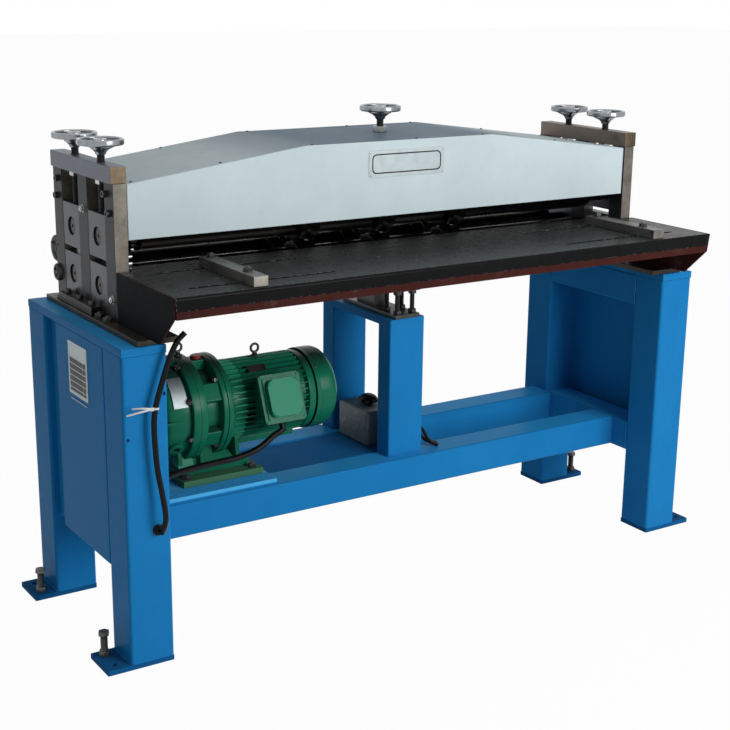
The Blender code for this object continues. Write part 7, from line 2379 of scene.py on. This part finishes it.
    def eye(self, name: str, x: float, foot: float) -> None:
        """Builds a lifting eye.

        Args:
            name: The piece's name.
            x: Where it stands on the motor.
            foot: Height of its seat.
        """
        section = [polar((0.0100, 0.0), 0.0030, TURN * i / 12) for i in range(12)]
        form = Form().lathe(section, (x, self.y, foot + 0.0200), (0, 1, 0), 36)
        form.lathe([(0.0, -0.008), (0.0066, -0.008), (0.0066, 0.0), (0.0105, 0.0005),
                    (0.0105, 0.0030), (0.0070, 0.0045), (0.0050, 0.0095), (0.0, 0.0100)],
                   (x, self.y, foot), facets=24)
        form.piece(name, BLACK_STEEL)

    def box_place(self) -> Matrix:
        """Where the tilted terminal box's own frame lies in the machine's."""
        return (Matrix.Translation((self.box_x, self.y, self.z))
                @ Matrix.Rotation(-self.box_tilt, 4, "X")
                @ Matrix.Translation((0.0, 0.0, -self.box_drop)))

    def gland_point(self, rise: float) -> Vector:
        """The point on the cable gland's axis, at a rise above the box's lower edge."""
        out = (self.box_front + 0.012 - 0.0975) / 2
        return self.box_place() @ Vector((0.0, out, -self.box_high + rise))

    def terminal_box(self) -> None:
        """Builds the tilted terminal box: case, collar, raised lid, screws and gland."""
        long, high, lip, front = self.box_long, self.box_high, self.box_lip, self.box_front
        place = self.box_place()
        case = Form()
        outline = rounded((-long + lip, -high + lip), (long - lip, high - lip), 0.010)
        case.prism(outline, Axis.Y, front + 0.006, -0.050, 0.0)
        case.moved(place)
        case.less(Form().rod((self.box_x - 0.08, self.y, self.z),
                             (self.box_x + 0.08, self.y, self.z), 0.0870, 0.0, 64))
        case.piece("terminal_case", GREEN, nodes=["terminal_box"])
        collar = Form()
        for reach, low, top, edge in ((0.0, front, front + 0.0120, 0.0022),
                                      (0.0085, front - 0.0035, front + 0.001, 0.0012)):
            outline = rounded((-long + reach, -high + reach), (long - reach, high - reach),
                              0.006 - 0.3 * reach, 6)
            collar.prism(outline, Axis.Y, low, top, edge, 3)
        collar.moved(place)
        collar.piece("terminal_collar", GREEN)
        reach, rise = 0.0135, 0.016
        outline = rounded((-long + reach, -high + reach), (long - reach, high - reach), 0.015, 8)
        # The lid takes the lighter copy of the motor paint: painted light.
        lid = Form().prism(outline, Axis.Y, front - rise, front - 0.003, 0.0042, 4)
        lid.moved(place).piece("terminal_lid", LIT_GREEN)
        inset = 0.0062
        points = [place @ Vector((x, front, z)) for x in (-long + inset, long - inset)
                  for z in (-high + inset, high - inset)]
        direction = place.to_3x3() @ Vector(FRONT)
        Fastener.PAN_SCREW.fit("terminal_screws", LIT_GREEN, points, direction, 0.0032)
        start, end = self.gland_point(lip + 0.002), self.gland_point(lip - 0.0100)
        gland = Form().lathe([(0.0, 0.0), (0.0110, 0.0), (0.0110, 0.006), (0.0098, 0.007),
                              (0.0094, 0.0105), (0.0078, 0.0120), (0.0, 0.0120)],
                             start, end - start, 18)
        gland.piece("terminal_gland", BLACK_RUBBER)

    def base_plate(self) -> None:
        """Builds the olive plate under the gearmotor, with its bolts."""
        low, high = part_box("gearmotor_base_plate")
        outline = rounded((low.x, low.y), (high.x, high.y), 0.002, 2)
        plate = Form().prism(outline, Axis.Z, low.z, high.z, 0.0015)
        plate.piece("olive_plate", OLIVE, nodes=["gearmotor_base_plate"])
        points = [(x, y, high.z) for x in (low.x + 0.016, high.x - 0.022)
                  for y in (low.y + 0.018, high.y - 0.018)]
        Fastener.HEX_BOLT.fit("olive_plate_bolts", BLACK_STEEL, points, UP, 0.0100)


@dataclass
class Drive:
    """The roller chain from the gearmotor's sprocket to the lower rear roll."""

    x: float = -0.651
    driver: tuple[float, float] = (0.1125, 0.456)
    driven: tuple[float, float] = (ROWS[1], LOWER_ROLL_Z)
    driver_teeth: int = 15
    driven_teeth: int = 30
    pitch: float = 0.0127
    tooth: float = 0.0034

    def radius(self, teeth: int) -> float:
        """The pitch radius of a sprocket with this many teeth."""
        return self.pitch / (2 * math.sin(math.pi / teeth))

    def sprocket(self, teeth: int, centre: tuple[float, float]) -> Outline:
        """A sprocket's outline across X.

        Args:
            teeth: How many teeth.
            centre: Its axis in Y and Z.

        Returns:
            The outline's points.
        """
        outer = self.radius(teeth)
        tooth = ((1.0, -0.34), (0.86, -0.24), (0.25, -0.13), (0.0, -0.06),
                 (0.0, 0.06), (0.25, 0.13), (0.86, 0.24), (1.0, 0.34))
        return [polar(centre, outer - self.tooth * depth, (i + share) * TURN / teeth)
                for i in range(teeth) for depth, share in tooth]

    def loop(self) -> list[Vector]:
        """Points along the chain's middle line, close together."""
        small, large = Vector(self.driver), Vector(self.driven)
        # The chain lies a small gap outside both sprockets' teeth.
        small_radius = self.radius(self.driver_teeth) + 0.0055
        large_radius = self.radius(self.driven_teeth) + 0.0075
        across = large - small
        heading = math.atan2(across.y, across.x)
        lean = math.acos((small_radius - large_radius) / across.length)
        points = []
        for centre, radius, start, sweep in (
            (large, large_radius, heading - lean, 2 * lean),
            (small, small_radius, heading + lean, TURN - 2 * lean),
        ):
            points += [Vector((self.x, *polar(tuple(centre), radius, start + sweep * i / 48)))
                       for i in range(49)]
        return points

    def build(self) -> None:
        """Builds the chain, the driving sprocket and the output shaft."""
        loop = self.loop()
        length = sum((b - a).length for a, b in zip(loop, loop[1:] + loop[:1]))
        count = 2 * round(length / self.pitch / 2)
        half = length / count / 2
        form = Form()
        for offset, plate_x, reach, radius, edge, facets in (
            (0, 0.0040, 0.0049, 0.0019, 0.0004, 8),  # outer plates with their pins
            (1, 0.0028, 0.0027, 0.0038, 0.0, 10),  # inner plates with their rollers
        ):
            made, thick = Form(), 0.0010
            for side in (-1, 1):
                made.prism(self.link_outline(half), Axis.Z, side * plate_x - thick / 2,
                           side * plate_x + thick / 2, 0.0)
            for end in (-half, half):
                made.rod((end, 0, -reach), (end, 0, reach), radius, edge, facets)
            form.add(Repeater(Repeat.PATH).run(
                path_host("chain", loop, closed=True), self.laid(made), BLACK_STEEL,
                Count=count, Every=2, Offset=offset))
        form.piece("roller_chain", BLACK_STEEL, nodes=["drive_chain"], smooth=35)
        sprocket = Form().prism(self.sprocket(self.driver_teeth, self.driver), Axis.X,
                                self.x - 0.003, self.x + 0.003, 0.0006)
        y, z = self.driver
        sprocket.lathe([(0.0, -0.657), (0.0168, -0.657), (0.018, -0.6558), (0.018, -0.6158),
                        (0.0, -0.6158)], (0.0, y, z), RIGHT, 40)
        sprocket.piece("driver_sprocket", ROLL_STEEL, "output", ["output_sprocket"], 30)

    @staticmethod
    def laid(made: Form) -> Form:
        """Turns a link so that its plates stand across X when it runs along the loop."""
        return made.moved(Matrix.Rotation(TURN / 4, 4, "X"))

    def link_outline(self, half: float) -> Outline:
        """A link plate's waisted outline.

        Args:
            half: Distance of each pin from the link's middle.

        Returns:
            The outline's points.
        """
        wide, waist = 0.0046, 0.0034
        points = []
        for end in (1, -1):
            for i in range(7):
                angle = TURN / 2 * (i / 6 - 0.5) + (0 if end > 0 else TURN / 2)
                points.append((end * half + wide * math.cos(angle), wide * math.sin(angle)))
            points.append((0.0, waist * end))
        return points


# Foot switch and cables


@dataclass
class FootSwitch:
    """The wrapped foot switch with its domed pedal."""

    def build(self) -> None:
        """Builds case and pedal."""
        low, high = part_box("foot_switch_case")
        case = Form().block(low, high, 0.0080, 4)
        x, y = (low.x + high.x) / 2, high.y - 0.0665
        case.less(Form().rod((x, y, high.z - 0.018), (x, y, high.z + 0.01), 0.0112, 0.0, 28))
        case.piece("switch_case", SWITCH_FILM, nodes=["foot_switch_case"])
        rim = Form().block((low.x + 0.004, low.y, low.z + 0.058),
                           (high.x - 0.004, high.y, low.z + 0.0605))
        rim.piece("switch_seam", SWITCH_FILM)
        foot, radius, dome, stem = high.z + 0.0065, 0.026, 0.020, 0.010
        profile = [(0.0, foot + dome)]
        profile += [(radius * math.sin(a), foot + dome * math.cos(a))
                    for a in (TURN / 4 * i / 10 for i in range(1, 11))]
        profile += [(radius - 0.002, foot - 0.0004), (stem, foot), (stem, high.z - 0.006),
                    (0.0, high.z - 0.006)]
        pedal = Form().lathe(profile, (x, y, 0.0), facets=40)
        pedal.piece("switch_pedal", BLACK_RUBBER, "pedal", ["foot_pedal"])


@dataclass
class Cables:
    """The motor cable, the supply cable with its tie, and the foot switch lead."""

    motor_diameter: float = 0.0145
    supply_diameter: float = 0.012
    lead_diameter: float = 0.009
    tie_place: tuple[float, float, float] = (-0.7319, -0.2420, 0.583)

    def cable(self, name: str, node: str, corners: Sequence[Point], diameter: float) -> None:
        """Builds a cable along its route and says what it is.

        Args:
            name: The piece's name.
            node: The CAD cable that it stands for.
            corners: The points that its route passes.
            diameter: Its diameter.
        """
        route = smooth_route(corners, diameter)
        made = path_host(name, route)
        curve = made.data
        curve.bevel_depth = diameter / 2
        curve.bevel_resolution = 3
        curve.use_fill_caps = True
        curve.splines[0].use_smooth = True
        curve.materials.append(BLACK_RUBBER.material())
        link(made)
        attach(made, "machine")
        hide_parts(node)
        length = sum((b - a).length for a, b in zip(route, route[1:]))
        log.info("%s: %.3f m long", name, length)

    def build(self) -> None:
        """Builds all three cables and the tie."""
        self.motor_cable()
        self.supply_cable()
        self.switch_lead()
        self.tie()

    def motor_cable(self) -> None:
        """From the terminal box's gland, in a low sag, into the left front leg."""
        motor = GearMotor()
        foot, top = motor.gland_point(motor.box_lip - 0.010), motor.gland_point(0.020)
        heading = (foot - top).normalized()
        start = foot + heading * GAP
        end_x, diameter = -0.6937, self.motor_diameter
        corners = [start, start + heading * diameter, (-0.3425, -0.0345, 0.3990),
                   (-0.3630, -0.0385, 0.3875), (-0.3900, -0.0430, 0.3765),
                   (-0.4250, -0.0485, 0.3700), (-0.4569, -0.0535, 0.3680),
                   (-0.492, -0.058, 0.369), (-0.563, -0.073, 0.372), (-0.630, -0.094, 0.374),
                   (end_x + 2 * diameter, -0.118, 0.374), (end_x + diameter, -0.135, 0.374),
                   (end_x, -0.135, 0.374)]
        self.cable("motor_cable_run", "motor_cable", corners, diameter)

    def supply_cable(self) -> None:
        """From its gland in the left front leg, up the leg's front to its bare end."""
        x, z, exit_y = -0.7235, 0.309, -0.2305
        corners = [(x, exit_y, z), (x, exit_y - 0.010, z), (-0.7210, -0.2545, 0.345),
                   (-0.7255, -0.2480, 0.400), (-0.7325, -0.2430, 0.457),
                   (-0.7363, -0.2420, 0.538), self.tie_place,
                   (-0.7155, -0.2430, 0.637), (-0.6963, -0.2440, 0.690),
                   (-0.6780, -0.2450, 0.722), (-0.6640, -0.2460, 0.734)]
        self.cable("supply_cable_run", "supply_cable", corners, self.supply_diameter)
        gland = Form().lathe([(0.0, 0.0), (0.0125, 0.0), (0.0125, 0.004), (0.0100, 0.005),
                              (0.0095, 0.0085), (0.0065, 0.0105), (0.0, 0.0105)],
                             (x, -0.2200, z), FRONT, 24)
        gland.piece("supply_gland", BLACK_RUBBER)

    def switch_lead(self) -> None:
        """From the foot switch, in loose folds on the rail, back to the middle post."""
        case_right, post_right, floor = 0.074, 0.079, 0.2918
        corners = [(case_right + 0.0003, 0.100, 0.330), (case_right + 0.012, 0.100, 0.330),
                   (0.112, 0.070, 0.352), (0.106, 0.036, 0.378), (0.098, 0.014, 0.350),
                   (0.104, 0.000, 0.312), (0.122, -0.012, floor + 0.006),
                   (0.138, -0.018, floor + 0.002), (0.130, -0.030, floor + 0.002),
                   (0.110, -0.020, floor + 0.018), (post_right + 0.016, -0.018, 0.336),
                   (post_right + 0.008, -0.018, 0.345), (post_right + 0.0003, -0.018, 0.345)]
        self.cable("switch_lead_run", "foot_switch_lead", corners, self.lead_diameter)

    def tie(self) -> None:
        """Builds the white cable tie with its two tails across the leg's front."""
        centre, radius, half = Vector(self.tie_place), self.supply_diameter / 2, 0.0022
        inner, outer = radius + 0.0001, radius + 0.0014
        form = Form().lathe([(inner, -half), (outer, -half), (outer, half), (inner, half)],
                            centre, (0.12, 0.0, 1.0), 28)
        form.block(centre + Vector((-0.012, -0.006, -0.0035)),
                   centre + Vector((-0.0055, 0.001, 0.0035)), 0.0006)
        for rise, reach in ((0.004, 0.040), (-0.009, 0.052)):
            path, radii = [], []
            for i in range(9):
                t = i / 8
                bow = math.sin(math.pi * t)
                path.append(centre + Vector((-0.009 - reach * t, -0.004 + 0.010 * t - 0.010 * bow,
                                             rise * t + 0.004 * bow)))
                radii.append((0.0006, 0.0020))
            form.sweep(path, radii, 8)
        form.piece("cable_tie", TIE)


@dataclass
class RatingPlate:
    """The bare rating plate on the left leg's outer face."""

    inset: float = 0.007
    heading: float = 0.034
    row: float = 0.0135

    def build(self) -> None:
        """Builds plate, printed frame lines and rivets."""
        low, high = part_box("rating_plate")
        outline = rounded((low.y, low.z), (high.y, high.z), 0.003, 3)
        plate = Form().prism(outline, Axis.X, low.x, high.x, 0.0002)
        plate.piece("rating_blank", PLATE, nodes=["rating_plate"])
        x, head = low.x, high.z - self.heading
        (near, far), (foot, top) = [(low[k] + self.inset, high[k] - self.inset) for k in (1, 2)]
        panel = Form().block((x - 0.0002, near, foot), (x + 0.0002, far, head), 0.0)
        panel.piece("rating_panel", BLACK_PRINT)
        lines, front, back = Form(), x - 0.0004, x + 0.0002
        for z in (foot, top, head, *(head - self.row * i for i in range(1, 8))):
            lines.block((front, near, z - 0.0009), (back, far, z + 0.0009), 0.0)
        for y in (near, far):
            lines.block((front, y - 0.0007, foot), (back, y + 0.0007, top), 0.0)
        lines.block((front, low.y + 0.024, foot), (back, low.y + 0.025, head), 0.0)
        lines.piece("rating_lines", PLATE)
        corner = 0.0035
        points = [(x, y, z) for y in (low.y + corner, high.y - corner)
                  for z in (low.z + corner, high.z - corner)]
        Fastener.RIVET.fit("rating_rivets", ZINC, points, LEFT, 0.0016)


# Studio


@dataclass
class Studio:
    """Floor, lamps, world and camera."""

    camera_place: tuple[float, float, float] = (-1.8617, -2.7695, 1.4394)
    yaw: float = -0.5746
    pitch: float = -0.2709
    roll: float = 0.0121
    focal_px: float = 1407.64
    image_px: float = 730.0
    sensor_mm: float = 36.0
    floor_half: float = 30.0
    fill: float = 0.22
    white: float = 1.0

    def build(self) -> None:
        """Builds everything that isn't the machine."""
        self.floor()
        self.world()
        self.lamps()
        self.camera()
        bpy.context.scene.view_settings.view_transform = "Standard"

    def seen(self, graph: Graph) -> Wire:
        """Tells the rays that show the background from those that light the machine.

        Args:
            graph: The graph that the nodes go into.

        Returns:
            1 for camera, glossy and transmission rays, else 0.
        """
        path = graph.node("ShaderNodeLightPath")
        camera = Wire(graph, path.outputs["Is Camera Ray"])
        glossy = Wire(graph, path.outputs["Is Glossy Ray"])
        through = Wire(graph, path.outputs["Is Transmission Ray"])
        return camera.most(glossy).most(through)

    def floor(self) -> None:
        """Builds the pale floor, which shows the background's white and the machine's shadow."""
        reach = self.floor_half
        mesh = Form().block((-reach, -reach, -0.02), (reach, reach, -0.0005), 0.0).data("floor")
        material = bpy.data.materials.new("floor")
        material.use_nodes = True
        graph = Graph(material.node_tree)
        graph.tree.nodes.clear()
        matt = graph.node("ShaderNodeBsdfDiffuse", {}, {"Color": (0.88, 0.88, 0.88, 1.0)})
        glow = graph.node("ShaderNodeEmission", {}, {"Color": (1, 1, 1, 1), "Strength": self.white})
        share = graph.node("ShaderNodeMixShader", {},
                           {0: self.seen(graph) * 0.97, 1: matt.outputs[0], 2: glow.outputs[0]})
        graph.node("ShaderNodeOutputMaterial", {}, {"Surface": share.outputs[0]})
        mesh.materials.append(material)
        floor = bpy.data.objects.new("floor", mesh)
        link(floor)

    def world(self) -> None:
        """Builds the white world, which lights the machine at a plain level."""
        world = bpy.data.worlds.new("studio")
        bpy.context.scene.world = world
        world.use_nodes = True
        graph = Graph(world.node_tree)
        graph.tree.nodes.clear()
        shown = self.seen(graph)
        strength = shown * self.white + (1.0 - shown) * self.fill
        sky = graph.node("ShaderNodeBackground", {}, {"Color": (1, 1, 1, 1), "Strength": strength})
        graph.node("ShaderNodeOutputWorld", {}, {"Surface": sky.outputs[0]})

    def lamps(self) -> None:
        """Builds the soft lamps: a key in front, a weak one at the left and a top light."""
        for name, place, size, power in (
            ("key", (0.9, -3.4, 1.6), 1.8, 88.0),
            ("left", (-3.6, -1.6, 2.2), 1.8, 0.8),
            ("top", (-0.2, -0.2, 3.4), 2.4, 9.0),
        ):
            lamp = bpy.data.lights.new(name, "AREA")
            lamp.shape = "SQUARE"
            lamp.size = size
            lamp.energy = power
            holder = bpy.data.objects.new(name, lamp)
            holder.location = place
            aim = Vector((0.0, 0.0, 0.6)) - Vector(place)
            holder.rotation_euler = aim.to_track_quat("-Z", "Y").to_euler()
            link(holder)

    def camera(self) -> None:
        """Builds the camera at the photograph's place."""
        data = bpy.data.cameras.new("camera")
        data.sensor_width = self.sensor_mm
        data.lens = self.focal_px / self.image_px * self.sensor_mm
        data.clip_start, data.clip_end = 0.05, 200.0
        holder = bpy.data.objects.new("camera", data)
        flat = Vector((-math.sin(self.yaw), math.cos(self.yaw), 0.0))
        right = Vector((math.cos(self.yaw), math.sin(self.yaw), 0.0))
        up = Vector((0.0, 0.0, 1.0))
        ahead = flat * math.cos(self.pitch) + up * math.sin(self.pitch)
        over = up * math.cos(self.pitch) - flat * math.sin(self.pitch)
        across = right * math.cos(self.roll) + over * math.sin(self.roll)
        over = over * math.cos(self.roll) - right * math.sin(self.roll)
        turn = Matrix((across, over, -ahead)).transposed()
        holder.matrix_world = Matrix.Translation(self.camera_place) @ turn.to_4x4()
        link(holder)
        bpy.context.scene.camera = holder


def handwheels() -> list[Handwheel]:
    """The machine's five handwheels."""
    heights = (1.0923, 1.0653, 0.9423)
    wheels = [Handwheel(f"{end}_{row}_handwheel", side * PRESS_SCREW_X, y, *heights,
                        f"{end}_{row}_wheel")
              for end, side in (("left", -1), ("right", 1))
              for row, y in zip(("front", "rear"), ROWS)]
    centre = Handwheel("centre_handwheel", *CENTRE_SCREW, 1.1266, 1.0996, 0.965, "centre_wheel")
    return [*wheels, centre]


def main() -> None:
    """Builds the studio and every part of the machine."""
    logging.basicConfig(level=logging.INFO, format="%(message)s")
    Studio().build()
    Cables().build()
    builders: list[Any] = [Stand("left", -1), Stand("right", 1), Rails(),
                           EndFrame("left", -1), EndFrame("right", 1),
                           UpperBlocks("front", ROWS[0], "front_lift"),
                           UpperBlocks("rear", ROWS[1], "rear_lift"),
                           LeftDetails(), RollSet(), *handwheels(), CentreParts(), WorkTable(),
                           GearMotor(), Drive(), FootSwitch(), RatingPlate()]
    for builder in builders:
        builder.build()
    cover = Cover()
    cover.build()
    cover.nameplate()


if __name__ == "__main__":
    main()
